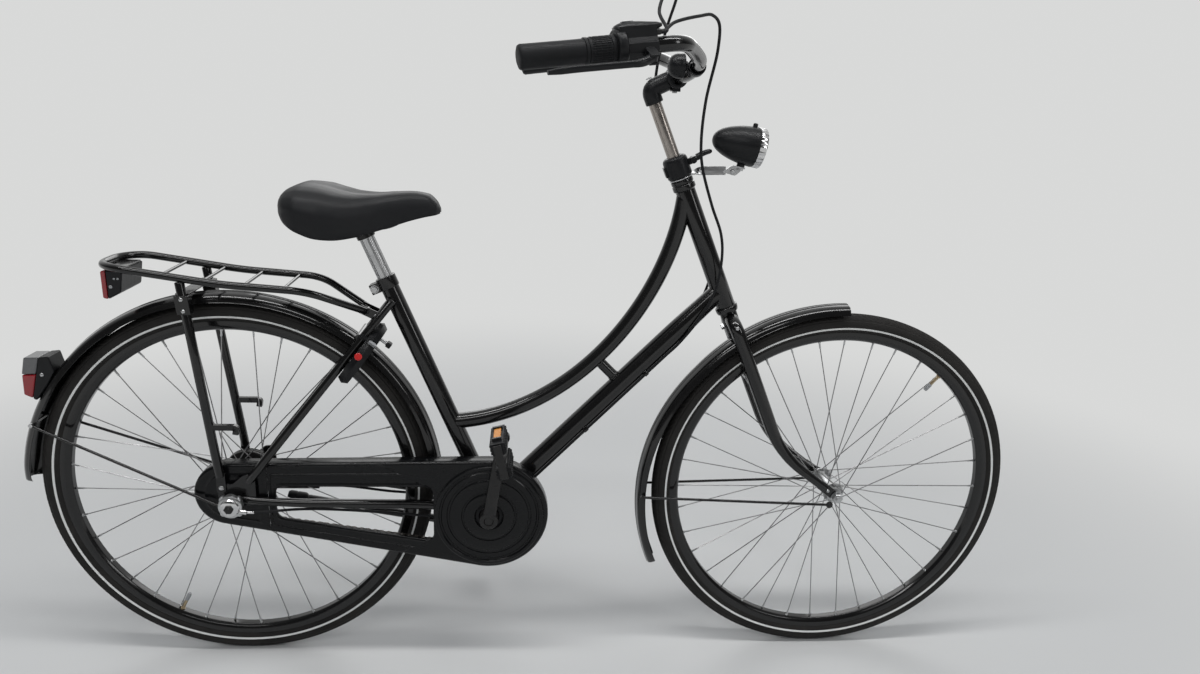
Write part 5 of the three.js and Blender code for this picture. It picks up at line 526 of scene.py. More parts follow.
RED = finish(
    "red_lens", "red_lens", (0.26, 0.004, 0.01), (0.13, 0.002, 0.005), (90, 0.5), (0.06, 0.14),
    (330, 1.0, 0.12), coat_weight=0.6,
)
SMOKE = finish(
    "smoked_lens", "clear_lens", (0.06, 0.062, 0.066), (0.13, 0.13, 0.132), (60, 0.6), (0.08, 0.2),
    (330, 1.0, 0.1), coat_weight=0.6,
)
AMBER = finish(
    "amber_reflector", "red_lens", (0.62, 0.23, 0.01), (0.36, 0.11, 0.0), (120, 0.5), (0.3, 0.45),
    (420, 1.0, 0.12), gloss=0.3,
)
BRASS = finish(
    "valve_brass", "silver", (0.5, 0.4, 0.26), (0.25, 0.2, 0.14), (90, 0.6), (0.3, 0.5), (500, 0.2, 0.02),
    metallic=1.0,
)
RED_MARK = finish(
    "red_key_mark", "black_plastic", (0.5, 0.012, 0.012), (0.3, 0.01, 0.01), (80, 0.4), (0.3, 0.5),
    (600, 0.4, 0.03),
)
KEY_GREY = finish(
    "key_grey", "black_plastic", (0.3, 0.31, 0.32), (0.2, 0.2, 0.2), (80, 0.4), (0.3, 0.5), (600, 0.4, 0.03),
)
GLASS = finish(
    "lamp_glass", "clear_lens", (0.95, 0.96, 0.97), (0.9, 0.92, 0.94), (60, 0.4), (0.02, 0.06),
    (150, 0.3, 0.08), transmission_weight=1.0,
)
GLASS.node_tree.nodes["Principled BSDF"].inputs["IOR"].default_value = 1.46

# Places and sizes that several pieces share
SEAT_LENGTH, HEAD_LENGTH, CRANK_LENGTH = 475, 229, 170
FORK_LENGTH, FORK_OFFSET = 422, 72.3
GUARD_RADIUS, GUARD_EVEN_TO = 368, 140
TYRE_RING, TYRE_HOSE = 331, 19
CHAIN_PITCH, CHAIN_SIDE = 12.7, 46
RING_TEETH, SPROCKET_TEETH = 36, 18
CASE_FACE = -57.0
rear_hub, front_hub, crank = spot(0, 0, 350), spot(1118, 0, 350), spot(458, 0, 313)
seat_up, seat_forward = slope(113.1), slope(23.1)
head_up, head_forward = slope(113.4), slope(23.4)
seat_top = crank + seat_up * SEAT_LENGTH
post_top = seat_top + seat_up * 82
head_foot = front_hub - head_forward * FORK_OFFSET + head_up * FORK_LENGTH


def on_head(up, ahead=0.0, side=0.0):
    """A point given from the foot of the head tube: up the steering axis, forward of it and sideways."""
    return head_foot + head_up * up + head_forward * ahead + ACROSS * side


# Wheels
def tyre_skin(hub):
    """The tyre: a hose about the wheel's circle, open inwards, its tread cut in by a pattern
    of angle round the wheel and angle round the hose."""
    bead, foot, edge, lining = 10.4, 310.5, 317.3, 16
    opening = math.asin(bead / TYRE_HOSE)
    phi = np.linspace(-math.pi + opening, math.pi - opening, 45)
    theta = np.linspace(0, TURN, 900, endpoint=False)[:, None]
    blocks = np.mod(180 * theta / TURN + 1.1 * np.abs(phi) * 2, 1) < 0.22
    shoulder = (np.abs(phi) > 0.3) & (np.abs(phi) < 1.0)
    channel = (np.abs(np.abs(phi) - 0.2) < 0.045) | (np.abs(np.abs(phi) - 1.02) < 0.03)
    depth = 1.1 * (blocks & shoulder) + 0.9 * channel
    ribs = 0.35 * (np.abs(np.abs(phi) - 2.2) < 0.05)
    hose = TYRE_HOSE - depth + ribs
    outer_r = TYRE_RING + hose * np.cos(phi)
    outer_y = hose * np.sin(phi)
    inner_phi = np.linspace(math.pi - opening, -math.pi + opening, 13)
    flat = np.ones_like(theta)
    bead_r = np.array([[edge, foot, foot]]) * flat
    radius = np.hstack(
        [
            bead_r[:, 1:2], bead_r[:, :1], outer_r, bead_r, (TYRE_RING + lining * np.cos(inner_phi)) * flat,
            foot * flat,
        ],
    )
    wide = np.hstack([
        -bead * flat, -bead * flat, outer_y, np.array([[bead, bead, bead - 3]]) * flat,
        lining * np.sin(inner_phi) * flat, -(bead - 3) * flat,
    ])
    grid = np.stack([hub[0] + radius * np.cos(theta), wide, hub[2] + radius * np.sin(theta)], -1)
    return skin(grid, loop=True)


def stripe_skin(hub, side):
    """The reflective band: a thin strip of the tyre's side between two angles round the hose."""
    phi = np.radians([102.5, 105, 108, 111, 113.5])
    over, under = TYRE_HOSE + 0.22, TYRE_HOSE - 0.3
    outer = np.stack([TYRE_RING + over * np.cos(phi), over * np.sin(phi)], -1)
    inner = np.stack([TYRE_RING + under * np.cos(phi), under * np.sin(phi)], -1)[::-1]
    section = np.vstack([outer, inner])
    section[:, 1] *= side
    return lathe(section, hub, ACROSS, 200, loop=True)


def rim_skin(hub):
    """The rim: a box section with sloping shoulders, its channel open to the tyre."""
    half = 12.5
    section = [
        [299, 0], [299, -half * 0.5], [303, -half * 0.86], [308, -half], [317, -half], [317, -half + 1.8],
        [308.5, -half + 1.8], [308, 0], [308.5, half - 1.8], [317, half - 1.8], [317, half], [308, half],
        [303, half * 0.86], [299, half * 0.5],
    ]
    return hoop(section, 1.1, 3, hub, ACROSS, 240)


def spoke_set(hub, phase, flange, span):
    """Laced spokes: each leaves its flange with an elbow, crosses three others, ends in a nipple."""
    wires, nipples = [], []
    rim_seat, crossing_turn, step = 298.2, 60, 20
    for side in SIDES:
        for i in range(360 // step):
            lean = 1 if i % 2 == 0 else -1
            start = phase + step * (i + 0.5 if side == LEFT else i)
            face = side * (span + lean * 3) / 2
            head = hub + slope(start) * (flange - 3.5) + ACROSS * (face + side * lean)
            end = hub + slope(start + lean * crossing_turn) * rim_seat + ACROSS * side * 4
            root = head - ACROSS * side * lean * 5.2
            wires.append(tube(rounded([root, head, end], 2.2, 3), 1.0, 6))
            knob = lathe([[0, -0.8], [1.9, -0.8], [2.0, 0.4], [0, 0.6]], root, ACROSS * side * lean, 8)
            wires.append(knob)
            inward = unit(head - end)
            profile = [[0, -1], [2.5, -1], [2.5, 1], [1.8, 1.6], [1.8, 11], [1.3, 12], [0, 12]]
            nipples.append(lathe(profile, end, inward, 8))
    return wires, nipples


def hub_skin(hub, width, barrel, flange, span):
    """The hub's shell: two flanges with fillets down to a slimmer barrel, and a boss at each end."""
    outer, inner = (span + 3) / 2, (span - 3) / 2
    waist = barrel + (flange - barrel) * 0.22
    profile = [
        [5.4, -width / 2], [12.6, -width / 2], [14, -width / 2 + 1.4], [14, -outer - 2],
        [flange * 0.7, -outer], [flange - 0.8, -outer], [flange, -outer + 0.8], [flange, -inner - 0.8],
        [flange - 0.8, -inner], [waist + 2, -inner], [barrel, -inner + 7],
    ]
    back = [[r, -y] for r, y in profile[::-1]]
    return lathe(profile + back, hub, ACROSS, 64)


def valve_parts(hub, angle):
    """A valve's stem, its foot in the rim and its tip towards the hub, and the cap on it."""
    out = slope(angle)
    foot = hub + out * 299.5
    stem = lathe([[0, 0], [4.6, 0], [4.6, 2.4], [3, 3], [3, 22], [2.4, 23], [0, 23]], foot, -out, 16)
    cap = lathe([[0, 22], [3.6, 22], [4, 23.5], [4, 35], [3, 37.5], [0, 38]], foot, -out, 12)
    return stem, cap


# Each wheel: hub, first spoke's angle, flange radius and span, barrel radius, hub width, valve's angle
wheels = [("front", front_hub, 0.0, 20, 68, 11, 84, 50), ("rear", rear_hub, None, 36, 54, 29, 66, -116.5)]
lock_out, lock_forward = slope(53.4), slope(-36.6)
lock_centre = rear_hub + lock_out * 340 + lock_forward * 29
crossing = lock_centre - lock_out * 57 - rear_hub
rear_phase = math.degrees(math.atan2(crossing[2], crossing[0])) + 5
for prefix, hub, phase, flange, span, barrel, width, valve in wheels:
    body = prefix + "_wheel"
    wires, nipples = spoke_set(hub, rear_phase if phase is None else phase, flange, span)
    make(prefix + "_tyre_rubber", TYRE, body, tyre_skin(hub), node=prefix + "_tyre", sharp=28)
    make(prefix + "_tyre_stripes", STRIPE, body, *[stripe_skin(hub, s) for s in SIDES])
    make(prefix + "_rim_hoop", PAINT, body, rim_skin(hub), node=prefix + "_rim")
    make(
        prefix + "_hub_shell", SILVER, body, hub_skin(hub, width, barrel, flange, span), node=prefix + "_hub",
    )
    make(prefix + "_spokes", SPOKE, body, *wires)
    make(prefix + "_nipples", SILVER, body, *nipples)
    stem, cap = valve_parts(hub, valve)
    make(prefix + "_valve", BRASS, body, stem)
    make(prefix + "_valve_cap", KEY_GREY, body, cap)

# Frame tubes
seat_base = crank + seat_up * 12
shell_profile = [[0, -34], [18.6, -34], [20, -32.6], [20, 32.6], [18.6, 34], [0, 34]]
lug_middle = seat_top - seat_up * 13 - seat_forward * 15.5
ears = [block(lug_middle + ACROSS * s * 6.3, [15.5, 4.6, 9], [seat_forward, ACROSS, seat_up]) for s in SIDES]
make(
    "seat_tube_body", PAINT, "frame", tube([seat_base, seat_top], 15.9, 32, soft=1),
    lathe(shell_profile, crank, ACROSS, 48),
    lathe(
        [[15.6, 0], [17.6, 0], [18, 1.2], [18, 20], [17.2, 21], [13.5, 21], [13.5, 0]],
        seat_top - seat_up * 21, seat_up, 40, loop=True,
    ),
    *ears, node="seat_tube", bevel=1.2,
)
pinch = seat_top - seat_up * 13 - seat_forward * 23.5
make(
    "seat_pinch_bolt", SILVER, "frame", tube(cross_line(pinch, 17), 3, 16),
    nut(pinch - ACROSS * 11.2, -ACROSS, 6.2, 6), dome(pinch + ACROSS * 11.5, ACROSS, 6, 4.5),
    washer(7.5, 1.2, pinch - ACROSS * 10.9, -ACROSS, 24),
)
make(
    "head_tube_body", PAINT, "frame", tube([on_head(0), on_head(HEAD_LENGTH)], 17.5, 40, soft=0.8),
    hoop(
        [[13.2, -10], [19.2, -10], [20.5, -5], [20.5, 0.6], [17.4, 2.5], [13.2, 2.5]], 1, 3, head_foot,
        head_up, 40,
    ),
    lathe(
        ring_rounded(
            [
                [13.2, 227], [17.4, 227], [20.5, 230], [20.5, 238], [18.6, 239.4], [20, 241], [20, 247],
                [13.2, 248],
            ],
            0.9, 3,
        ),
        head_foot, head_up, 40, loop=True,
    ),
    node="head_tube",
)
make(
    "headset_ring", DARK_STEEL, "steering",
    hoop(rect(13.2, 19.6, 248, 250.7), 0.7, 3, head_foot, head_up, 32),
)
top_low = crank + seat_up * SEAT_LENGTH * 0.378
top_high = on_head(HEAD_LENGTH * 0.92, -8)
top_path = bezier(top_low, top_low + slope(3.6) * 219, top_high - slope(84) * 190, top_high, 70)
top_path = np.vstack([top_path, top_high + slope(84) * 12])
make("top_tube_body", PAINT, "frame", tube(top_path, 14.5, 28, soft=3), node="top_tube")
down_low, down_high = crank - UPWARD * 5, on_head(HEAD_LENGTH * 0.146)
down_line = between(down_low, down_high, 40)
down_sizes = glide(np.linspace(0, 1, 40), [0, 0.8, 0.93, 1], [19, 19, 17.2, 16.5])
down_ahead = unit(down_high - down_low)
down_under = unit(np.cross(ACROSS, down_ahead))
brace_foot = down_low + (down_high - down_low) * 0.58
brace_top = top_path[np.argmin(np.linalg.norm(top_path - brace_foot, axis=1))]


def beside_down(share, side, reach=22.5):
    """A point beside the down tube, under it at 45 degrees on one side."""
    return down_low + (down_high - down_low) * share + (down_under + ACROSS * side) * reach * math.sqrt(0.5)


guides = []
for side in SIDES:
    for share in (0.66, 0.4, 0.14):
        foot, tip = beside_down(share, side, 15), beside_down(share, side, 19.6)
        guides.append(lathe([[0, 0], [6, 0], [5, 4.6], [0, 4.6]], foot, tip - foot, 20))
        centre = beside_down(share, side, 22.5)
        guides.append(hoop(rect(2.9, 4.1, -4, 4), 0.4, 2, centre, down_ahead, 20))
make(
    "down_tube_body", PAINT, "frame", tube(down_line, down_sizes, 36, soft=2),
    tube([brace_foot, brace_top], 10, 24), *guides, node="down_tube",
)


def weld_bead(centre, axis, radius, size=1.6):
    """A slim fillet of brazing round a tube where it meets another."""
    turn = np.linspace(0, TURN, 10, endpoint=False)
    profile = np.stack([radius + size * np.cos(turn), size * 1.6 * np.sin(turn)], -1)
    return lathe(profile, centre, axis, 40, loop=True)


# Stays and dropouts
def stay_at(x, side):
    """A place on the chainstay's slant, which falls evenly from the axle to the crank."""
    return spot(x, side, 350 + (x - 14) / 444 * -37)


chainstay_path = rounded([stay_at(14, 65), stay_at(100, 65), stay_at(330, 33), stay_at(450, 24)], 45)
chainstay_sizes = np.interp(chainstay_path[:, 0], [14, 330], [7.3, 9])
plate_corners = [[-22, 330.8], [44, 340.4], [44, 398], [24.2, 398], [4.4, 379.8], [-22, 379.8]]
plate_outline = ring_rounded(plate_corners, 6, 4)
dropout = slab(plate_outline, 62, 66)
chainstay = tube(chainstay_path, chainstay_sizes, 24, soft=4)
make(
    "right_chainstay_body", PAINT, "frame", other_side(chainstay), other_side(dropout),
    node="right_chainstay", bevel=0.8,
)
stand_pivot, stand_foot, stand_bend = spot(388, 45, 275), spot(60, 72, 287), spot(374, 64.6, 236.2)
stand_axis = spot(-0.0897, -0.9016, -0.4231)
ear_start, ear_end = stand_pivot - stand_axis * 9.8, stand_pivot - stand_axis * 17.8
pin_end = stand_pivot + stand_axis * 9.8
make(
    "left_chainstay_body", PAINT, "frame", chainstay, dropout, box([370, -12, 303], [420, 62, 310]),
    washer(12, 8, ear_start, -stand_axis, 32), tube([spot(388, 56, 306.5), (ear_start + ear_end) / 2], 4, 16),
    tube([ear_start, pin_end], 6, 20),
    lathe([[0, 0], [8.4, 0], [9, 1], [8, 3], [0, 3]], pin_end, stand_axis, 24), node="left_chainstay",
    bevel=0.8,
)
stand_path = rounded([stand_pivot, stand_bend, stand_foot], 40, 10)
foot_line = unit(stand_bend - stand_foot)
make(
    "kickstand_bar", PAINT, "kickstand", hoop(rect(6.3, 12, -9.5, 9.5), 1, 3, stand_pivot, stand_axis, 32),
    tube(stand_path[2:], 8.3, 20, soft=2), node="kickstand_leg",
)
foot_profile = [
    [0, -0.5], [9.6, -0.5], [11.5, 3], [11.5, 14], [10.4, 16], [11.5, 18], [11.5, 32], [9.4, 36], [0, 36],
]
make("kickstand_foot", RUBBER, "kickstand", lathe(foot_profile, stand_foot, foot_line, 24))

seatstay_top = crank + seat_up * SEAT_LENGTH * 0.915 + ACROSS * 20
stay_bend = rear_hub + spot(62, 67, 74)
stay_waist = stay_bend + (seatstay_top - stay_bend) * 0.64
stay_waist[1] = 42
seatstay_path = rounded([rear_hub + spot(33, 66, 34), stay_bend, stay_waist, seatstay_top], 45)
seatstay = tube(seatstay_path, 7.5, 22, soft=3)
bridge = rear_hub + slope(52.3) * 376
make("left_seatstay_body", PAINT, "frame", seatstay, node="left_seatstay")
make(
    "right_seatstay_body", PAINT, "frame", other_side(seatstay), tube(cross_line(bridge, 36), 6, 20),
    node="right_seatstay",
)
beads = [
    weld_bead(seatstay_top * [1, s, 1] - seat_forward * 2, seatstay_path[-1] - seatstay_path[-3], 7.0, 1.2)
    for s in SIDES
]
beads.append(weld_bead(brace_foot + (brace_top - brace_foot) * 0.3, brace_top - brace_foot, 9.6))
beads.append(weld_bead(brace_foot + (brace_top - brace_foot) * 0.83, brace_top - brace_foot, 9.6))
make("brazed_joints", PAINT, "frame", *beads)

# Rear axle, its nuts and the gear's shift unit
make(
    "rear_axle_fittings", SILVER, "frame", tube([spot(0, -79, 350), spot(0, 79.8, 350)], 5, 20, soft=0.8),
    nut(spot(0, 66.3, 350), ACROSS, 10, 8.5), washer(12, 1.5, spot(0, -67.2, 350), -ACROSS, 32),
    nut(spot(0, -68.4, 350), -ACROSS, 10, 6.4),
    lathe(rect(0, 7.5, 53.6, 61.7), rear_hub * [1, 0, 1], -ACROSS, 24),
    lathe(rect(0, 7.5, 58, 61.7), rear_hub * [1, 0, 1], ACROSS, 24), node="rear_axle",
)
unit_middle = spot(4, 0, 344)
unit_side = [[0, 75.2], [19.6, 75.2], [21.6, 77], [21.6, 83.4], [20.4, 86], [17.8, 87.4], [0, 87.6]]
unit_crown = [[0, 87], [16.8, 87], [16.8, 88.6], [15.2, 90.8], [11, 92.4], [0, 93]]
lobe_side = [[0, 75.3], [4.6, 75.3], [5.4, 76.2], [5.4, 82.6], [4.6, 84], [0, 84.2]]
lobes = [lathe(lobe_side, unit_middle + slope(45 + 90 * i) * 19.4, -ACROSS, 24) for i in range(4)]
make("shift_unit_body", SILVER, "frame", lathe(unit_side, unit_middle, -ACROSS, 64), *lobes)
make("shift_unit_cover", POLISHED, "frame", lathe(unit_crown, unit_middle, -ACROSS, 56), slot="silver")
make(
    "shift_unit_nut", DARK_STEEL, "frame", nut(spot(4, -92, 344), -ACROSS, 8.5, 4.0),
    lathe([[0, 0], [4.6, 0], [3.4, 2.2], [0, 2.6]], spot(4, -95, 344), -ACROSS, 24), slot="chain_steel",
)
make(
    "shift_cable_anchor", POLISHED, "frame",
    tube([spot(20, -86.1, 337), spot(33, -86, 335)], 4.4, 20, soft=1),
    tube([spot(33, -86, 335), spot(44, -83.5, 333.6)], 2.6, 16, soft=0.5), slot="silver",
)

# Roller brake
drum = [
    [0, 34.2], [46.5, 34.2], [48, 35.6], [48, 40], [46, 40.6], [46, 42], [48, 42.6], [48, 46.5], [46, 47],
    [46, 48.4], [48, 49], [48, 50.4], [46.6, 51.6], [42, 51.8], [41.4, 53], [36, 56.6], [16, 57], [12, 55],
    [0, 55],
]
arm_end, clip = spot(122, 49, 323), stay_at(122, 61.9)
clip_axis = unit(stay_at(127, 61.2) - stay_at(117, 62.6))
make(
    "rear_brake_drum", DARK_STEEL, "frame", lathe(drum, rear_hub * [1, 0, 1], ACROSS, 72),
    bar([0, 49, 323], [126, 49, 323], 4, 16), tube([arm_end, clip], 4, 16),
    hoop(rect(8.4, 11, -5, 5), 0.5, 2, clip, clip_axis, 32), dome(spot(108, 51, 323), ACROSS, 4, 2.5),
    node="rear_brake", bevel=0.7,
)


# Mudguards
def guard_reach(angle, end, spread):
    """The mudguard's radius: even to 140 degrees, then growing evenly to its tail."""
    return GUARD_RADIUS + spread * np.maximum(angle - GUARD_EVEN_TO, 0) / (end - GUARD_EVEN_TO)


def guard_skin(hub, start, end, spread):
    """A bowed strip carried round the hub, with two beads, a rounded tip and its edges rolled outwards."""
    angles = np.arange(start, end, 1.5)
    angles = np.r_[angles[:-1], np.linspace(angles[-1], end, 6)]
    across = np.array([0, 0.06, 0.12, 0.2, 0.3, 0.42, 0.55, 0.68, 0.8, 0.88, 0.94, 0.98, 1.0, 1.012])
    drop = glide(across, [0, 0.3, 0.55, 0.78, 0.88, 1.0, 1.02], [0, 0.035, 0.12, 0.33, 0.48, 0.95, 1.0]) * 16
    drop = drop - np.exp(-(((across - 0.13) / 0.05) ** 2)) - 0.7 * np.exp(-(((across - 0.68) / 0.05) ** 2))
    across, drop = np.r_[-across[:0:-1], across], np.r_[drop[:0:-1], drop]
    reach = guard_reach(angles, end, spread)
    tail = np.sqrt(np.clip((end - angles) / 5, 0, 1))
    width = 0.6 + 0.4 * tail
    outward = np.array([slope(a) for a in angles])
    lift = reach[:, None] - drop
    outer = hub + outward[:, None] * lift[..., None] + ACROSS * (across * 26 * width[:, None])[..., None]
    inner = hub + outward[:, None] * (lift - 1.4 * (1 - np.abs(across) * 0.4))[..., None]
    inner = inner + ACROSS * (across * 24.9 * width[:, None])[..., None]
    return skin(np.concatenate([outer, inner[:, ::-1]], 1))


def guard_stay(hub, face, angle, reach):
    """A bent rod under the guard with a flat eye at each end, beside the axle."""
    eye = hub + spot(-14, face + 3.9, -14)
    corner = hub + slope(angle) * (reach - 10) + ACROSS * 31.2
    path = rounded([eye, corner, mirrored(corner), mirrored(eye)], 10, 6)
    eyes = [hoop(rect(2.5, 6.5, -1.6, 1.6), 0.5, 2, eye * [1, s, 1], ACROSS, 28) for s in SIDES]
    return [tube(path, 2.6, 14), *eyes], eye, corner


for prefix, hub, body, start, end, spread, face, angle, screw_finish in (
    ("rear", rear_hub, "frame", 3, 178.5, 10.1, 66.3, 160, SILVER),
    ("front", front_hub, "steering", 91, 205.5, 20, 54.3, 182, DARK_STEEL),
):
    make(
        prefix + "_mudguard_strip", PAINT, body, guard_skin(hub, start, end, spread),
        node=prefix + "_mudguard",
    )
    reach = float(guard_reach(angle, end, spread))
    rods, eye, corner = guard_stay(hub, face, angle, reach)
    make(prefix + "_mudguard_rod", PAINT, body, *rods, node=prefix + "_mudguard_stay")
    screws = [dome(eye * [1, s, 1] + ACROSS * s * 1.6, ACROSS * s, 4.2, 2.4) for s in SIDES]
    for s in SIDES:
        clamp = corner * [1, s, 1] + ACROSS * s * -1.5
        screws.append(nut(clamp - ACROSS * s * 3.2, ACROSS * s, 4.0, 7.2))
    make(prefix + "_stay_screws", screw_finish, body, *screws)

# Carrier
rail_right = [
    spot(240, -13, 689), spot(150, -60, 734), spot(10, -60, 743), spot(-158, -60, 767), spot(-190, -32, 767),
]
rail_path = rounded([*rail_right, *[mirrored(p) for p in rail_right[::-1]]], 30, 10)


def rail_height(x):
    """The height of the carrier's rail: straight runs between its bends."""
    return float(np.interp(x, [-158, 10, 150], [767, 743, 734]))


rods = [
    tube([spot(x, -60, rail_height(x)), spot(x, 60, rail_height(x))], 2.8, 14) for x in (-83, -18, 47, 112)
]
make(
    "carrier_rails", PAINT, "frame", tube(rail_path, 6.5, 22, soft=1.5), *rods,
    tube([spot(240, -15, 689), spot(240, 15, 689)], 5, 18, soft=1), box([-190, -30, 760.6], [-151, 30, 763]),
    node="carrier", bevel=0.5,
)
nose_tabs = [bar([228, s * 12, 694], [262, s * 12, 678], 3, 16) for s in SIDES]
make("carrier_nose_tabs", PAINT, "frame", *nose_tabs, bevel=1)
make(
    "carrier_nose_screws", SILVER, "frame",
    *[dome(spot(256, s * 13.6, 681), ACROSS * s, 4.2, 2.6) for s in SIDES],
)
leg_top, leg_foot = spot(-54, 61, rail_height(-54)), spot(-14, 70, 396)


def on_leg(rise):
    """A place on the carrier's leg at a height above the axle."""
    return leg_foot + (leg_top - leg_foot) * (rise - 46) / (leg_top[2] - leg_foot[2])


hook_root = on_leg(140)
hook_bend = spot(21, hook_root[1], hook_root[2])
hook_path = rounded([hook_root, hook_bend, hook_bend + slope(-100) * 13], 5, 5)
sleeve_axes = [FORWARD, ACROSS, unit(leg_top - leg_foot)]
leg = [
    tube([leg_foot, leg_top - unit(leg_top - leg_foot) * 6], 7.8, 24, soft=1.5),
    sweep(hook_path, ring_of(4, 0.5), [6.2, 7.0] * np.ones((len(hook_path), 1)), ACROSS),
    box([-22, 66.3, 365], [-6, 69.3, 402.5]), block(on_leg(358), [11, 8.5, 16], sleeve_axes),
]
plate_z = on_leg(375)[2]
cross_plate = box([on_leg(375)[0] - 11, -61, plate_z - 1.5], [on_leg(375)[0] + 11, 61, plate_z + 1.5])
make("left_carrier_leg_bar", PAINT, "frame", *leg, node="left_carrier_leg", bevel=0.9)
make(
    "right_carrier_leg_bar", PAINT, "frame", *[other_side(p) for p in leg], cross_plate,
    node="right_carrier_leg", bevel=0.9,
)
leg_screws = []
for s in SIDES:
    for rise in (348, 368):
        leg_screws.append(dome(on_leg(rise) * [1, s, 1] + ACROSS * s * 8.6, ACROSS * s, 3.6, 2))
    leg_screws.append(dome(spot(-14, s * 69.3, 374), ACROSS * s, 4.6, 2.8))
make("carrier_leg_screws", SILVER, "frame", *leg_screws)

# Rear lights
light_body = [
    [-317.4, 597], [-301, 599], [-294.5, 572], [-308, 549], [-331, 517.5], [-336.6, 521], [-325.4, 566],
]
light_lens = [[-349.6, 564.6], [-326.2, 565.4], [-337.2, 521.4], [-351, 528]]
light_window = [[-343, 596], [-318, 597], [-326, 566.2], [-349.8, 565.4]]
make("rear_light_case", PLASTIC, "frame", slab(light_body, -21, 21), node="rear_light", bevel=2.4)
make("rear_light_window", RED, "frame", slab(light_lens, -20.4, 20.4), node="rear_light_lens", bevel=2.4)
make("rear_light_reflector", SMOKE, "frame", slab(light_window, -20.6, 20.6), bevel=2.4)
make(
    "rear_light_screws", SILVER, "frame",
    *[dome(spot(-315.6, s * 20.8, 565.4), ACROSS * s, 3.4, 1.6) for s in SIDES],
)
lamp_top = 767 - 6.8
case_corners = [
    [-179.4, lamp_top - 52], [-179.4, lamp_top - 1.5], [-152, lamp_top - 0.6], [-158, lamp_top - 40],
]
lens_corners = [
    [-188, lamp_top - 50], [-188, lamp_top - 4], [-179.8, lamp_top - 1.5], [-179.8, lamp_top - 52],
]
make("carrier_light_case", PLASTIC, "frame", slab(case_corners, -41, 41), node="carrier_light", bevel=3)
make("carrier_light_window", RED, "frame", slab(lens_corners, -41, 41), node="carrier_light_lens", bevel=2.5)
make(
    "carrier_light_screws", KEY_GREY, "frame",
    *[
        dome(spot(x, s * 40.9, lamp_top - z), ACROSS * s, r, 1.2)
        for s in SIDES for x, z, r in ((-173, 30, 3), (-166, 16, 2), (-160, 16, 2))
    ],
)


# Ring lock
def on_lock(angle, ahead=0.0, reach=57.0):
    """A place on the lock's ring: an angle from its outer side, a distance forward of it, and a radius."""
    turn = math.radians(angle)
    aside, outward = ACROSS * reach * math.sin(turn), lock_out * reach * math.cos(turn)
    return lock_centre - aside + outward + lock_forward * ahead


def lock_arc(start, end, count, ahead=0.0):
    """Points along the lock's ring between two angles."""
    return np.array([on_lock(a, ahead) for a in np.linspace(start, end, count)])


make(
    "ring_lock_case", PLASTIC, "frame", solid_of("ring_lock"), node="ring_lock", bevel=2.2, flats=True,
    sharp=24,
)
make(
    "ring_lock_bar", SILVER, "lock_bolt", tube(lock_arc(18, 130, 48), 4.1, 18, soft=1.2),
    tube([on_lock(24), on_lock(24, 26)], 3.4, 16, soft=1), node="ring_lock_bolt",
)
make(
    "ring_lock_thumb", PLASTIC, "lock_bolt",
    block(on_lock(24, 27), [4.5, 7, 5], [lock_forward, ACROSS, lock_out]), bevel=2,
)
make(
    "ring_lock_mark", RED_MARK, "frame",
    lathe(
        [[0, 0], [6.4, 0], [6.4, 2.2], [5.4, 3], [0, 3]], on_lock(75, -4, 67),
        on_lock(75, -4, 80) - on_lock(75, -4, 67), 28,
    ),
)
make(
    "ring_lock_key", KEY_GREY, "frame",
    block(
        on_lock(50, 2, 74), [7, 2.2, 6],
        [lock_forward, unit(on_lock(140) - lock_centre), unit(on_lock(50) - lock_centre)],
    ),
    bevel=1.2,
)

# Chain and sprockets
ring_radius = CHAIN_PITCH / 2 / math.sin(math.pi / RING_TEETH)
sprocket_radius = CHAIN_PITCH / 2 / math.sin(math.pi / SPROCKET_TEETH)


def belt(small, small_radius, large, large_radius, rear_steps, front_steps, run_steps=2):
    """A closed outline: two circles and their common tangents, from the lower front point round the front."""
    line = large - small
    middle = math.atan2(line[2], line[0])
    spread = math.acos((small_radius - large_radius) / np.linalg.norm(line))
    top, bottom = middle + spread, middle - spread

    def arc(centre, radius, start, end, count):
        """Points on a circle between two angles."""
        turn = np.linspace(start, end, count)
        return np.stack([centre[0] + radius * np.cos(turn), centre[2] + radius * np.sin(turn)], -1)

    front = arc(large, large_radius, bottom, top, front_steps)
    rear = arc(small, small_radius, top, bottom + TURN, rear_steps)
    upper = between(front[-1], rear[0], run_steps)[1:-1]
    lower = between(rear[-1], front[0], run_steps)[1:-1]
    return np.vstack([front, upper, rear, lower])


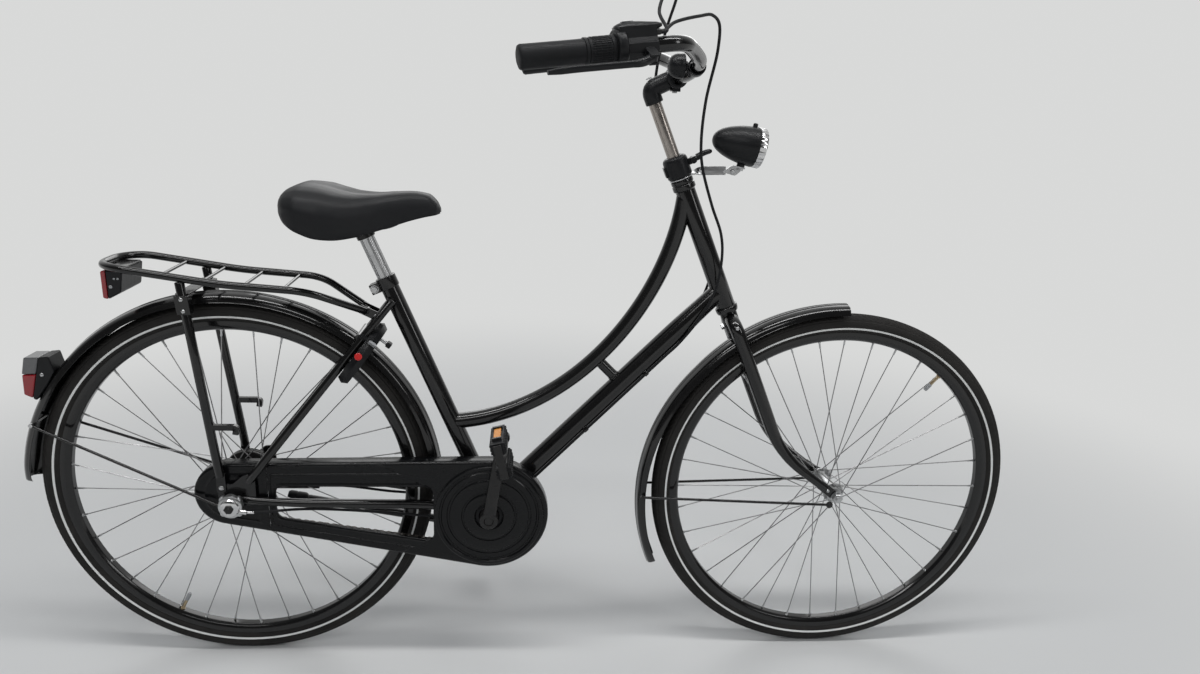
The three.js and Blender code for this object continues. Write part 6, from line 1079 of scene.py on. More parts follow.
def chain_links():
    """Rollers one pitch apart round the belt's line, each pair joined by two figure-eight side plates."""
    outline = belt(rear_hub, sprocket_radius, crank, ring_radius, 60, 120)
    closed = np.vstack([outline, outline[:1]])
    run = np.r_[0, np.cumsum(np.linalg.norm(np.diff(closed, axis=0), axis=1))]
    count = 2 * round(run[-1] / CHAIN_PITCH / 2)
    at = np.arange(count) * run[-1] / count
    x, z = np.interp(at, run, closed[:, 0]), np.interp(at, run, closed[:, 1])
    parts = []
    for i in range(count):
        here, there = np.array([x[i], z[i]]), np.array([x[(i + 1) % count], z[(i + 1) % count]])
        ahead = unit(there - here)
        side = np.array([-ahead[1], ahead[0]])
        parts.append(lathe(rect(0, 3.6, -4.4, 4.4), spot(here[0], -CHAIN_SIDE, here[1]), ACROSS, 8))
        half = 3.4 if i % 2 else 4.6
        shape = [
            here - ahead * 4, here - ahead * 2.6 + side * 3, here + ahead * 2.4 + side * 3,
            (here + there) / 2 + side * 2.2, there - ahead * 2.4 + side * 3, there + ahead * 2.6 + side * 3,
            there + ahead * 4, there + ahead * 2.6 - side * 3, there - ahead * 2.4 - side * 3,
            (here + there) / 2 - side * 2.2, here + ahead * 2.4 - side * 3, here - ahead * 2.6 - side * 3,
        ]
        for y in (-CHAIN_SIDE - half, -CHAIN_SIDE + half - 1.1):
            parts.append(slab(shape, y, y + 1.1))
    return parts


def toothed(centre, teeth, radius, low, high, bore):
    """A toothed plate: its rim rises and falls with the cosine of the tooth angle between root and tip."""
    turn = np.linspace(0, TURN, teeth * 8, endpoint=False)
    wave = np.cos(turn * teeth - math.pi)
    reach = radius - 1.4 + np.sign(wave) * np.abs(wave) ** 0.8 * 3.2
    rows = []
    for r, y in (
        (bore, low), (reach - 1, low), (reach, low + 0.6), (reach, high - 0.6), (reach - 1, high),
        (bore, high),
    ):
        rows.append(
            np.stack(
                [centre[0] + r * np.cos(turn), np.full(len(turn), float(y)), centre[2] + r * np.sin(turn)],
                -1,
            ),
        )
    return skin(np.array(rows), loop=True)


make("chain_links", CHAIN, "frame", *chain_links(), node="chain")
make(
    "rear_sprocket_body", SILVER, "rear_sprocket",
    toothed(rear_hub, SPROCKET_TEETH, sprocket_radius, -47.2, -44.8, 13),
    hoop(rect(5.4, 15, 33.4, 53.2), 0.8, 2, rear_hub, -ACROSS, 40), node="sprocket",
)

# Cranks and pedals
crank_out = slope(81.6)


def crank_arm(side):
    """The arm leans outwards from its boss to the pedal's eye; its section is a rounded flat that tapers."""
    end = crank - side * crank_out * CRANK_LENGTH
    path = between(crank + ACROSS * side * 73, end + ACROSS * side * 83, 24)
    t = np.linspace(0, 1, 24)
    path[:, 1] += side * 3.0 * np.sin(math.pi * t)
    turn = np.linspace(0, TURN, 24, endpoint=False)
    flat = np.stack(
        [
            np.sign(np.cos(turn)) * np.abs(np.cos(turn)) ** 0.6,
            np.sign(np.sin(turn)) * np.abs(np.sin(turn)) ** 0.6,
        ],
        -1,
    )
    sizes = np.stack([np.full(24, 5.8), glide(t, [0, 0.12, 0.5, 0.9, 1], [13.5, 11.8, 11, 10.6, 11])], -1)
    boss = ring_rounded([[8.9, 0], [17, 0], [17, 12], [15, 13.4], [8.9, 13.4]], 1, 3)
    eye = [[0, 0], [11, 0], [12, 1], [12, 11], [11, 12], [0, 12]]
    return [
        sweep(path, flat, sizes, ACROSS),
        lathe(boss, crank + ACROSS * side * 67, ACROSS * side, 40, loop=True),
        lathe(
            [[0, 0], [9, 0], [9, 11], [7.6, 12.6], [0, 12.8]], crank + ACROSS * side * 67, ACROSS * side, 32,
        ),
        lathe(eye, end + ACROSS * side * 77, ACROSS * side, 32),
        tube([end + ACROSS * side * 78, end + ACROSS * side * 185], 5, 18, soft=0.6),
    ]


spider = [toothed(crank, RING_TEETH, ring_radius, -47.2, -44.8, 60)]
for i in range(5):
    out = slope(72 * i + 36)
    spider.append(
        bar(crank + out * 14 - ACROSS * CHAIN_SIDE, crank + out * 63 - ACROSS * CHAIN_SIDE, 2.6, 15),
    )
spider.append(hoop(rect(8.9, 17, 35.4, 67.4), 1, 2, crank * [1, 0, 1], -ACROSS, 40))
make("right_crank_arm", DARK_STEEL, "crankset", *spider, *crank_arm(RIGHT), node="right_crank", bevel=0.6)
left_parts = crank_arm(LEFT) + [tube([crank - ACROSS * 76.5, crank + ACROSS * 70], 8.5, 24, soft=1)]
make("left_crank_arm", DARK_STEEL, "crankset", *left_parts, node="left_crank")


def pedal_pieces(side, word):
    """A block pedal: two serrated treads between end plates, an axle barrel, and a reflector in each end."""
    centre = crank - side * crank_out * CRANK_LENGTH
    near, far = side * 101, side * 189
    body = "pedal_" + word
    mid, half = (near + far) / 2, abs(far - near) / 2
    lean, thick = slope(103), slope(13)
    axes = [thick, ACROSS, lean]
    frame_parts = [
        block(centre + ACROSS * (near + side * 2), [7, 2, 31], axes),
        block(centre + ACROSS * (far - side * 2), [7, 2, 31], axes),
        lathe(
            [[0, -half + 1], [9, -half + 1], [10, -half + 4], [10, half - 6], [8, half - 1], [0, half - 1]],
            centre + ACROSS * mid, ACROSS * side, 28,
        ),
    ]
    for end in (-1, 1):
        for y in (-24, 24):
            frame_parts.append(block(centre + ACROSS * (mid + y) + lean * end * 35, [8.2, 2.6, 3.2], axes))
    treads = []
    for end in (-1, 1):
        core = centre + ACROSS * mid + lean * end * 22.5
        treads.append(block(core, [10.8, half - 4, 10.6], axes))
        for k in range(11):
            y = -half + 8 + k * (2 * half - 16) / 10
            for rise in (-6.6, 0, 6.6):
                treads.append(block(core + ACROSS * y + lean * rise, [13.2, 2.0, 2.2], axes))
    reflectors = [block(centre + ACROSS * mid + lean * end * 33.8, [6.0, 20.5, 1.8], axes) for end in (-1, 1)]
    make(word + "_pedal_frame", DARK_STEEL, body, *frame_parts, slot="rubber", bevel=0.8)
    make(word + "_pedal_treads", RUBBER, body, *treads, node=word + "_pedal", bevel=0.7)
    make(word + "_pedal_reflectors", AMBER, body, *reflectors, bevel=0.6)


pedal_pieces(RIGHT, "right")
pedal_pieces(LEFT, "left")


# Chain case
def radial_fit(points, centre, radius):
    """For each outline point, the point in the same direction from a centre at a fixed radius."""
    away = points - centre
    return centre + away / np.linalg.norm(away, axis=1, keepdims=True) * radius


def face_grid(outer, inner, rows, around, y):
    """A flat face between two outlines of equal count, y giving its depth at each share of the way out."""
    t = np.linspace(0, 1, rows)
    flat = inner[None] * (1 - t)[:, None, None] + outer[None] * t[:, None, None]
    depth = np.broadcast_to(np.asarray(y(t), float)[:, None], flat.shape[:2])
    return skin(np.stack([flat[..., 0], depth, flat[..., 1]], -1), around=around, ends=False)


def resample(line, count):
    """The same line with its points spaced evenly."""
    run = np.r_[0, np.cumsum(np.linalg.norm(np.diff(line, axis=0), axis=1))]
    at = np.linspace(0, run[-1], count)
    return np.stack([np.interp(at, run, line[:, 0]), np.interp(at, run, line[:, 1])], -1)


def offset_line(line, distance, closed=False):
    """A line moved to its left by a distance, square to itself at every point."""
    if closed:
        ahead = np.roll(line, -1, 0) - np.roll(line, 1, 0)
    else:
        ahead = np.gradient(line, axis=0)
    ahead = ahead / np.linalg.norm(ahead, axis=1, keepdims=True)
    return line + np.stack([-ahead[:, 1], ahead[:, 0]], -1) * distance


def shoulder_grid(line, around):
    """The case's wall: from its back edge forward, over a rounded shoulder, and in to the face."""
    turn = np.linspace(0, math.pi / 2, 6)
    steps = [(0.0, -32.0), (0.0, -44.0)] + [(6 - 6 * math.cos(a), -51 - 6 * math.sin(a)) for a in turn]
    rows = []
    for inset, y in steps:
        moved = offset_line(line, inset, around)
        rows.append(flat_row(moved, y))
    return skin(np.array(rows), around=around, ends=False)


def bulge(t, middle, width):
    """A bell curve of height one."""
    return np.exp(-(((t - middle) / width) ** 2))


def chain_case_parts():
    """The case's shell and its rear cap, parted at a seam in one outline. Ahead of the window the face runs
    from the outline to a circle under the disc. The rest is a band round the window, with ridges."""
    case_rear, centre, hub_centre = rear_hub + spot(-8, 0, 4), crank[[0, 2]], rear_hub[[0, 2]]
    rear_radius, front_radius = 60, 109
    outline = belt(case_rear, rear_radius, crank, front_radius, 80, 140, 120)
    seam, half_gap = 62.0, 0.3
    ahead = outline[:, 0] > seam
    order = np.roll(np.arange(len(outline)), -np.where(~ahead)[0][-1] - 1)
    main_line, rear_line = outline[order][ahead[order]], outline[order][~ahead[order]]
    main_line[0, 0] = main_line[-1, 0] = seam + half_gap
    rear_line[0, 0] = rear_line[-1, 0] = seam - half_gap
    face_line, rear_face = offset_line(main_line, 6), offset_line(rear_line, 6)
    face_line[0, 0] = face_line[-1, 0] = seam + half_gap
    rear_face[0, 0] = rear_face[-1, 0] = seam - half_gap

    def polar(line):
        """The angle of points about the crank, in degrees."""
        away = line - centre
        return np.degrees(np.arctan2(away[..., 1], away[..., 0]))

    west, east, north, south_west, south_east, under_disc = 75, 356, 371, 309, 260, 62
    window = ring_rounded([[west, south_west], [east, south_east], [east, north], [west, north]], 16, 6)
    right_side = window[window[:, 0] > east - 11]
    top_corner = right_side[np.argmax(right_side[:, 1] + right_side[:, 0])]
    low_corner = right_side[np.argmax(right_side[:, 0] - right_side[:, 1])]
    angles = polar(face_line)
    first, last = np.where((angles < polar(top_corner)) & (angles > polar(low_corner)))[0][[0, -1]]
    window_right = window[window[:, 0] >= min(top_corner[0], low_corner[0]) - 0.01]
    ring = np.vstack([face_line[first:last + 1], window_right[np.argsort(-window_right[:, 1])]])
    disc_edge = radial_fit(ring, centre, under_disc)
    front_face = face_grid(ring, disc_edge, 10, True, lambda t: np.full_like(t, CASE_FACE))

    rolled = np.roll(window, -np.argmin(np.linalg.norm(window - top_corner, axis=1)), 0)
    rest = rolled[:np.argmin(np.linalg.norm(rolled - low_corner, axis=1)) + 1]
    upper, lower = face_line[last:], face_line[:first + 1]
    corner_top = np.argmin(np.abs(rest[:, 0] - west) + np.abs(rest[:, 1] - north))
    corner_low = np.argmin(np.abs(rest[:, 0] - west) + np.abs(rest[:, 1] - south_west))
    long_run, short_run = 90, 20
    outer = np.vstack([
        resample(upper, long_run), resample(np.array([upper[-1], lower[0]]), short_run)[1:-1],
        resample(lower, long_run),
    ])
    inner = np.vstack([
        resample(rest[:corner_top + 1], long_run), resample(rest[corner_top:corner_low + 1], short_run)[1:-1],
        resample(rest[corner_low:], long_run),
    ])
    band = face_grid(
        outer, inner, 44, False,
        lambda t: CASE_FACE - 1.7 * bulge(t, 0.62, 0.034) - 1.2 * bulge(t, 0.1, 0.06),
    )
    lip = skin(np.array([flat_row(window, y) for y in (CASE_FACE, -52.0)]), ends=False)
    turn = np.radians(np.linspace(-100, 100, 60))
    circle = np.stack([np.cos(turn), np.sin(turn)], -1)
    back_plate = skin(
        np.array([flat_row(centre + radius * circle, -32.2) for radius in (20.8, 64, 107.5)]), around=False,
        ends=False,
    )
    seam_side = resample(np.array([rear_face[-1], rear_face[0]]), 30)[1:-1]
    rear_ring = np.vstack([rear_face, seam_side])
    cap_face = face_grid(
        rear_ring, radial_fit(rear_ring, hub_centre, 8), 16, True,
        lambda t: CASE_FACE - 1.6 * bulge(t, 0.72, 0.045),
    )
    shell = [front_face, band, lip, shoulder_grid(main_line, False), back_plate]
    return shell, [cap_face, shoulder_grid(rear_line, False)]


case_main, case_cap = chain_case_parts()
make("chain_case_shell", CASE_PAINT, "frame", *case_main, node="chain_case", wall=1.5, sharp=30)
make("chain_case_end", CASE_PAINT, "frame", *case_cap, node="chain_case_cap", wall=1.5, sharp=30)
disc = [
    [26, -55.4], [26, -61], [27, -62], [44, -62], [46, -61], [47, -59], [50, -59], [51, -60.6], [70, -60.6],
    [72, -59.8], [73, -58.2], [77, -58.2], [78, -59.6], [87, -59.6], [88.5, -58.4], [91.5, -58.4],
    [92.5, -60.6], [93.6, -61.4], [98.4, -61.4], [100, -60.4], [100.8, -58], [100.8, -56.6], [99, -55.4],
]
gland = [[17.9, -54.4], [17.9, -57.6], [19, -58.6], [25, -58.6], [26.4, -57.8], [26.4, -54.4]]
make("chain_case_disc", CASE_PAINT, "frame", lathe(disc, crank * [1, 0, 1], ACROSS, 120, loop=True))
make(
    "chain_case_gland", RUBBER, "frame", lathe(gland, crank * [1, 0, 1], ACROSS, 64, loop=True),
    slot="black_paint",
)

# Seat post and saddle
turn = np.linspace(0, TURN, 60, endpoint=False)
groove = 13.2 - 0.45 * (np.mod(turn * 60 / TURN, 3) < 1)
post_section = np.stack([np.cos(turn) * groove, np.sin(turn) * groove], -1)
make(
    "seatpost_tube", SILVER, "seat",
    sweep(between(seat_top - seat_up * 150, post_top, 6), post_section, 1.0, seat_forward), node="seatpost",
)
clamp_top = post_top + seat_up * 9
rail_rise = clamp_top[2] + 5
SADDLE_TAIL, SADDLE_LENGTH, SADDLE_HALF_WIDTH, SADDLE_FOOT, SADDLE_DEPTH = 108, 262, 99, 826, 84


def saddle_x(share):
    """How far forward a share of the saddle's length lies."""
    return SADDLE_TAIL + SADDLE_LENGTH * share


rail = rounded(
    [
        spot(saddle_x(0.12), 44, 878.8), spot(saddle_x(0.3), 22, rail_rise),
        spot(saddle_x(0.68), 22, rail_rise), spot(saddle_x(0.9), 11, 878.8),
    ],
    24, 8,
)
yoke = spot(clamp_top[0], 0, rail_rise)
make(
    "saddle_rails", DARK_STEEL, "seat", *both(tube(rail, 3.5, 16)),
    lathe([[0, 0], [15.2, 0], [16, 1.2], [16, 15], [13, 19], [0, 19]], post_top - seat_up * 8, seat_up, 36),
    tube(cross_line(yoke, 29), 8, 24, soft=1.5), nut(yoke - ACROSS * 29, -ACROSS, 7, 5),
    dome(yoke + ACROSS * 29, ACROSS, 7, 4), node="saddle_frame",
)


def saddle_skin():
    """The saddle: stations along its length give width, top and base, and a section in shares of those is
    lofted through them, with a seam pressed in along the edge of its top and a hollow underneath."""
    ahead = [0, 0.02, 0.07, 0.15, 0.26, 0.37, 0.48, 0.59, 0.7, 0.82, 0.92, 0.975, 1]
    width = [0.34, 0.62, 0.84, 0.97, 1, 0.92, 0.74, 0.53, 0.4, 0.32, 0.28, 0.22, 0.1]
    top = [0.62, 0.8, 0.93, 1, 0.98, 0.9, 0.84, 0.83, 0.86, 0.88, 0.84, 0.7, 0.56]
    base = [0.52, 0.42, 0.27, 0.14, 0.03, 0, 0.03, 0.11, 0.21, 0.33, 0.41, 0.44, 0.46]
    along = 0.5 - 0.5 * np.cos(np.linspace(0, math.pi, 110))
    half = glide(along, ahead, width)[:, None] * SADDLE_HALF_WIDTH
    high = (SADDLE_FOOT + SADDLE_DEPTH * glide(along, ahead, top))[:, None]
    low = (SADDLE_FOOT + SADDLE_DEPTH * glide(along, ahead, base))[:, None]
    side_share = np.linspace(0, 1, 34)
    knots = [0, 0.16, 0.3, 0.43, 0.58, 0.76, 0.9, 1]
    across = glide(side_share, knots, [0, 0.38, 0.68, 0.88, 0.98, 0.98, 0.95, 0.91])
    rise = glide(side_share, knots, [1, 0.985, 0.92, 0.76, 0.48, 0.2, 0.06, 0])
    seam = 1.1 * np.exp(-(((side_share - 0.36) / 0.018) ** 2))
    hem = 0.9 * np.exp(-(((side_share - 0.93) / 0.02) ** 2))
    dip = 3.5 * np.exp(-((across / 0.16) ** 2)) * np.exp(-(((along[:, None] - 0.42) / 0.24) ** 2))
    y = across * half
    z = low + (high - low) * rise - dip
    pinch = (seam + hem) * np.clip(half / 40, 0, 1)
    y, z = y - pinch * np.clip(across, 0, 1) * 0.8, z - pinch * rise * 0.6
    inner = np.array([[0.86, 0.0], [0.84, 0.1], [0.8, 0.24], [0.4, 0.3], [0.0, 0.32]])
    y = np.hstack([y, half * inner[:, 0]])
    z = np.hstack([z, low + (high - low) * inner[:, 1]])
    x = saddle_x(along)[:, None] * np.ones_like(y)
    left = np.stack([x, y, z], -1)
    right = np.stack([x, -y, z], -1)[:, -2:0:-1]
    return skin(np.concatenate([left, right], 1))


saddle = make("saddle_cover", VINYL, "seat", saddle_skin(), node="saddle", sharp=60)

# Fork
knee = on_head(-300, 0, 40)
blade_end = on_head(-FORK_LENGTH, FORK_OFFSET, 52)
blade_down = unit(blade_end - knee)
blade_tip = blade_end - blade_down * 26
blade_upper = rounded([on_head(-22, 0, 6), on_head(-30, 0, 40), on_head(-110, 0, 40)], 26, 8)
blade_lower = rounded([on_head(-110, 0, 40), knee, blade_tip], 70, 12)
blade_path = np.vstack([blade_upper, blade_lower[1:]])
drop_share = np.clip((knee[2] + 60 - blade_path[:, 2]) / (knee[2] + 60 - blade_tip[2]), 0, 1)
blade_sizes = 12.5 - 4.5 * drop_share
tip = bar(blade_end - blade_down * 42, blade_end + blade_down * 9, 4, 18)
under_crown = math.sqrt(GUARD_RADIUS**2 - FORK_OFFSET**2) - FORK_LENGTH
make(
    "fork_body", PAINT, "steering", tube([on_head(-10.4), on_head(284)], 12.6, 28, soft=0.8),
    tube([on_head(under_crown + 3), on_head(-10.4)], 15.5, 32, soft=1.5),
    *both(tube(blade_path, blade_sizes, 26, soft=2.5)), *both(tip), node="fork", bevel=0.8,
)
crown_bolts = [dome(on_head(-30, 0, s * 52.6), ACROSS * s, 3.4, 1.8) for s in SIDES]
crown_bolts.append(nut(on_head(-34, -15), -head_forward, 5.5, 6))
crown_bolts += [
    dome(blade_end * [1, s, 1] - blade_down * 24 + ACROSS * s * 2.2, ACROSS * s, 3.2, 2.2) for s in SIDES
]
make("fork_bolts", SILVER, "steering", *crown_bolts)
axle_parts = [tube(cross_line(front_hub, 67.8), 5, 20, soft=0.8)]
for s in SIDES:
    axle_parts.append(washer(11.5, 1.4, front_hub + ACROSS * s * 54.3, ACROSS * s, 32))
    axle_parts.append(nut(front_hub + ACROSS * s * 55.6, ACROSS * s, 10, 7.2))
    axle_parts.append(washer(7.5, 7.3, front_hub + ACROSS * s * 42.4, ACROSS * s, 24))
make("front_axle_fittings", SILVER, "steering", *axle_parts, node="front_axle")

# Headlamp
lamp_ahead, lamp_up = slope(-10), slope(80)
lamp_axis = spot(880, 0, 1000) - lamp_ahead * 45
t = np.linspace(0, math.pi / 2, 22)
bullet = np.stack([34.2 * np.sin(t) ** 0.86, 72 * (1 - np.cos(t) ** 1.25)], -1)
bullet[0] = [0, 0]
make(
    "headlamp_shell", PLASTIC, "steering",
    lathe(
        np.vstack([bullet, [[34.5, 74], [34, 76.5], [32, 77], [31, 76.5], [31, 72], [0, 60]]]), lamp_axis,
        lamp_ahead, 72,
    ),
    lathe(
        [[0, 0], [7, 0], [7, 6], [6, 7.5], [0, 7.5]], lamp_axis + lamp_ahead * 60 - lamp_up * 31, -lamp_up,
        28,
    ),
    lathe(
        [[0, 0], [4.4, 0], [4, 5.4], [2.6, 6.4], [0, 6.6]], lamp_axis + lamp_ahead * 68 + lamp_up * 33.4,
        lamp_up, 20,
    ),
    node="headlamp",
)
notches = np.linspace(0, TURN, 144, endpoint=False)
notch_reach = 34.4 - 0.7 * (np.mod(notches * 24 / TURN, 1) < 0.5)
ring_rows = []
for r_share, x in ((0.93, 76.6), (1, 77.4), (1, 88), (0.97, 89.6), (0.92, 89.6), (0.92, 86)):
    r = notch_reach * r_share
    around = np.cos(notches)[:, None] * ACROSS + np.sin(notches)[:, None] * lamp_up
    ring_rows.append(lamp_axis + lamp_ahead * x + around * r[:, None])
make("headlamp_ring", POLISHED, "steering", skin(np.array(ring_rows), loop=True), sharp=40)
bowl = [
    [0, 47], [9, 49], [20, 58], [28, 70], [31, 79], [30.4, 79], [27.4, 70.6], [19.4, 59], [8.6, 50.4],
    [0, 48.6],
]
make("headlamp_bowl", POLISHED, "steering", lathe(bowl, lamp_axis, lamp_ahead, 60))
make(
    "headlamp_bulb", SMOKE, "steering",
    lathe(
        [[0, 49], [3.4, 49], [3.4, 58], [5, 61], [4.6, 66], [2.6, 69], [0, 69.6]], lamp_axis, lamp_ahead, 24,
    ),
)
radii = np.linspace(0, 31.4, 24)
lens_front = 96.6 - 10.5 * (radii / 31.4) ** 2 + 0.25 * np.cos(radii * 2.4)
lens_profile = np.vstack([
    np.stack([radii, lens_front], -1), [[31.6, 84.5], [31.4, 82]],
    np.stack([radii[::-1] * 0.97, 93.4 - 10.0 * (radii[::-1] / 31.4) ** 2], -1),
])
make(
    "headlamp_glass", GLASS, "steering", lathe(lens_profile, lamp_axis, lamp_ahead, 72), node="headlamp_lens",
)
lug = lamp_axis + lamp_ahead * 60 - lamp_up * 38.5
bracket_path = rounded([on_head(250, 17), on_head(250, 33), lug - slope(14) * 26], 8, 6)
bracket_turn = np.radians(np.linspace(0, 90, len(bracket_path)))
strap_rows = []
for i, angle in enumerate(bracket_turn):
    ahead = bracket_path[min(i + 1, len(bracket_path) - 1)] - bracket_path[max(i - 1, 0)]
    flat = ACROSS * math.cos(angle) + unit(np.cross(unit(ahead), ACROSS)) * math.sin(angle)
    thin = unit(np.cross(unit(ahead), flat))
    strap_rows.append(
        [bracket_path[i] + flat * u * 7.5 + thin * v * 1.5 for u, v in ((-1, -1), (1, -1), (1, 1), (-1, 1))],
    )
diamond = ring_rounded(
    [
        [lug[0] - 32, lug[2] - 9], [lug[0] - 8, lug[2] - 15], [lug[0] + 4, lug[2] - 4],
        [lug[0] - 14, lug[2] + 3],
    ],
    4, 4,
)
make(
    "headlamp_bracket_strap", SILVER, "steering", skin(np.array(strap_rows)), slab(diamond, -1.6, 1.6),
    block(lug + slope(-10) * -2, [9, 8, 1.5], [slope(-10), ACROSS, slope(80)]),
    hoop(rect(13.1, 20.5, 248.9, 251.2), 0.5, 2, head_foot, head_up, 40),
    nut(lug - lamp_up, -lamp_up, 6.5, 4.5),
    dome(lug - slope(14) * 14 - UPWARD * 4 - ACROSS * 1.6, -ACROSS, 4.4, 2.6), node="headlamp_bracket",
    bevel=0.6,
)

# Stem
collar_foot = on_head(251.6)
collar = [
    [13.2, 0.2], [20, 0.2], [22, 2], [22, 30], [20.6, 34.5], [16, 37.8], [11.6, 37.8], [11.6, 33.8],
    [13.2, 33.6],
]
pivot = on_head(271.6, 30)
make(
    "stem_collar_body", PLASTIC, "steering", hoop(collar, 1.2, 3, collar_foot, head_up, 48),
    block(on_head(271.6, 26), [9, 4, 5.6], [head_forward, ACROSS, head_up]),
    tube(cross_line(pivot, 9.3), 3, 16, soft=0.4),
    block(on_head(268, -20), [4, 8, 9], [head_forward, ACROSS, head_up]), node="stem_collar", bevel=1.4,
)
lever_line = between(pivot - slope(27), pivot + slope(27) * 36, 14)
lever_line[:, 2] += 3 * np.sin(np.linspace(0, math.pi, 14))
lever_share = np.linspace(0, 1, 14)
lever_size = taper(
    lever_share, ([0, 0.4, 0.85, 1], [8.6, 8.4, 6.4, 3]), ([0, 0.3, 0.9, 1], [6.4, 5.2, 4.2, 2.0]),
)
paddle = sweep(lever_line[3:], ring_of(28), lever_size[3:], ACROSS)
cheeks = [
    lathe(
        [[0, 0], [5.6, 0], [6, 0.5], [6, 3.9], [5.6, 4.4], [0, 4.4]], pivot + ACROSS * s * 4.5, ACROSS * s,
        28,
    )
    for s in SIDES
]
cheeks += [
    block(pivot + slope(27) * 7 + ACROSS * s * 6.7, [6, 2.1, 3.2], [slope(27), ACROSS, slope(117)])
    for s in SIDES
]
make("stem_lever_paddle", PLASTIC, "stem_clamp_lever", paddle, *cheeks, node="stem_lever", bevel=0.6)
make(
    "stem_quill_tube", DULL_CHROME, "stem", tube([on_head(121), on_head(411)], 11.1, 40, soft=1),
    node="stem_quill",
)
bar_centre = on_head(411, 48)
head_path = rounded([on_head(384), on_head(409), bar_centre], 20, 8)
make(
    "stem_head_body", PLASTIC, "stem", tube(head_path, 15.4, 36, soft=1.5),
    hoop(
        [[11.4, -20], [16.6, -20], [18, -18], [18, 18], [16.6, 20], [11.4, 20]], 1, 3, bar_centre, ACROSS,
        48,
    ),
    block(bar_centre - UPWARD * 18, [7, 13, 5]), node="stem_head", bevel=1.2,
)
make(
    "stem_bolts", SILVER, "stem",
    lathe([[0, 0], [5, 0], [5, 2.4], [2.6, 2.4], [2.6, 1], [0, 1]], on_head(425, 4), head_up, 24),
    nut(bar_centre - UPWARD * 22.6 + ACROSS * 6, -UPWARD, 4.6, 3),
)

# Handlebar, grips and controls
splay, dip = math.radians(14.8), math.radians(7.6)
grip_ahead = spot(math.cos(splay) * math.cos(dip), math.sin(splay) * math.cos(dip), math.sin(dip))
grip_side = spot(-math.sin(splay), math.cos(splay), 0)
grip_up = np.cross(grip_ahead, grip_side)
grip_end = spot(bar_centre[0] - 257, -300, bar_centre[2] + 13)
bar_right = [grip_end, grip_end + grip_ahead * 236]
bar_right += [
    spot(bar_centre[0] + 20 * reach, -300 * out, bar_centre[2] + 40 * rise)
    for out, reach, rise in ((0.667, -0.65, 1), (0.4, 1, 0.56), (0.17, 0.5, 0.07))
]
bar_path = rounded([*bar_right, bar_centre, *[mirrored(p) for p in bar_right[::-1]]], 42, 12)
make("handlebar_tube", PAINT, "stem", tube(bar_path, 11.1, 28, soft=1), node="handlebar")


def on_grip(distance, up=0.0, side=0.0):
    """A place by the right grip: along it from its end, above it and beside it."""
    return grip_end + grip_ahead * distance + grip_up * up + grip_side * side


def grip_profile(length, rib):
    """A grip's side: a rounded end cap, fine ribs along the hand's reach and a raised inner lip."""
    x = np.arange(4, length - 6, 1.0)
    ribs = 16.8 - rib * (np.mod(x, 4) < 1.2) * ((x > 14) & (x < length - 14))
    side = np.stack([ribs, x], -1)
    cap = [[0, -4.3], [12, -4.3], [15.6, -3], [17, 0]]
    lip = [[16.8, length - 5.4], [18.2, length - 4.6], [18.2, length - 0.8], [17.4, length], [11.4, length]]
    return np.vstack([cap, side, lip])


make(
    "right_grip_sleeve", RUBBER, "stem", lathe(grip_profile(92, 0.08), grip_end, grip_ahead, 48),
    node="right_grip", sharp=50,
)
make(
    "left_grip_sleeve", RUBBER, "stem", other_side(lathe(grip_profile(132, 0.2), grip_end, grip_ahead, 48)),
    node="left_grip", sharp=50,
)


def twist_skin():
    """The shifter's sleeve: broad flutes round it, cut across by grooves, between two plain lips."""
    turn = np.linspace(0, TURN, 216, endpoint=False)
    x = np.linspace(92.6, 130, 40)
    inside = ((x > 96) & (x < 124))[:, None]
    flutes = 0.8 * (np.cos(turn * 36) > 0.1) * inside
    cuts = 0.5 * (np.mod(x, 9) < 1.4)[:, None] * inside
    r = 17.6 + flutes - cuts + 1.1 * (x > 125)[:, None]
    centre = grip_end + grip_ahead * x[:, None]
    ring = np.cos(turn)[:, None] * grip_side + np.sin(turn)[:, None] * grip_up
    outer = centre[:, None] + r[..., None] * ring
    bore = [centre[i] + 11.5 * ring for i in (-1, 0)]
    return skin(np.vstack([outer, np.array(bore)]), loop=True)


make("twist_grip_sleeve", RUBBER, "shifter", twist_skin(), node="twist_grip", sharp=40)
make(
    "control_housing_body", PLASTIC, "stem", solid_of("control_housing"), node="control_housing", bevel=2.4,
    flats=True, sharp=30,
)
housing_ring = ring_rounded([[11.6, 0], [23.6, 0], [25.4, 1.8], [25.4, 12.4], [23, 15], [11.6, 15]], 1.0, 3)
make("control_housing_flange", PLASTIC, "stem", lathe(housing_ring, on_grip(131), grip_ahead, 56, loop=True))
pod_path = np.array([
    on_grip(d, u)
    for d, u in ((133, 19), (140, 21.5), (152, 23.5), (166, 24.2), (180, 24.4), (194, 25.2), (203, 26.2))
])
pod_path = through(pod_path, 28)
pod_share = np.linspace(0, 1, 28)
pod_knots = [0, 0.08, 0.25, 0.55, 0.85, 1]
pod_sizes = taper(
    pod_share, (pod_knots, [6, 12.5, 14.5, 12.5, 8, 3]), (pod_knots, [4, 9, 10.4, 8.6, 5.6, 2.4]),
)
make("shift_indicator", PLASTIC, "stem", sweep(pod_path, ring_of(32), pod_sizes, grip_side), sharp=60)
make(
    "shift_window", SMOKE, "stem", block(on_grip(152, 33.2), [8, 4.4, 0.9], [grip_ahead, grip_side, grip_up]),
    bevel=0.5,
)
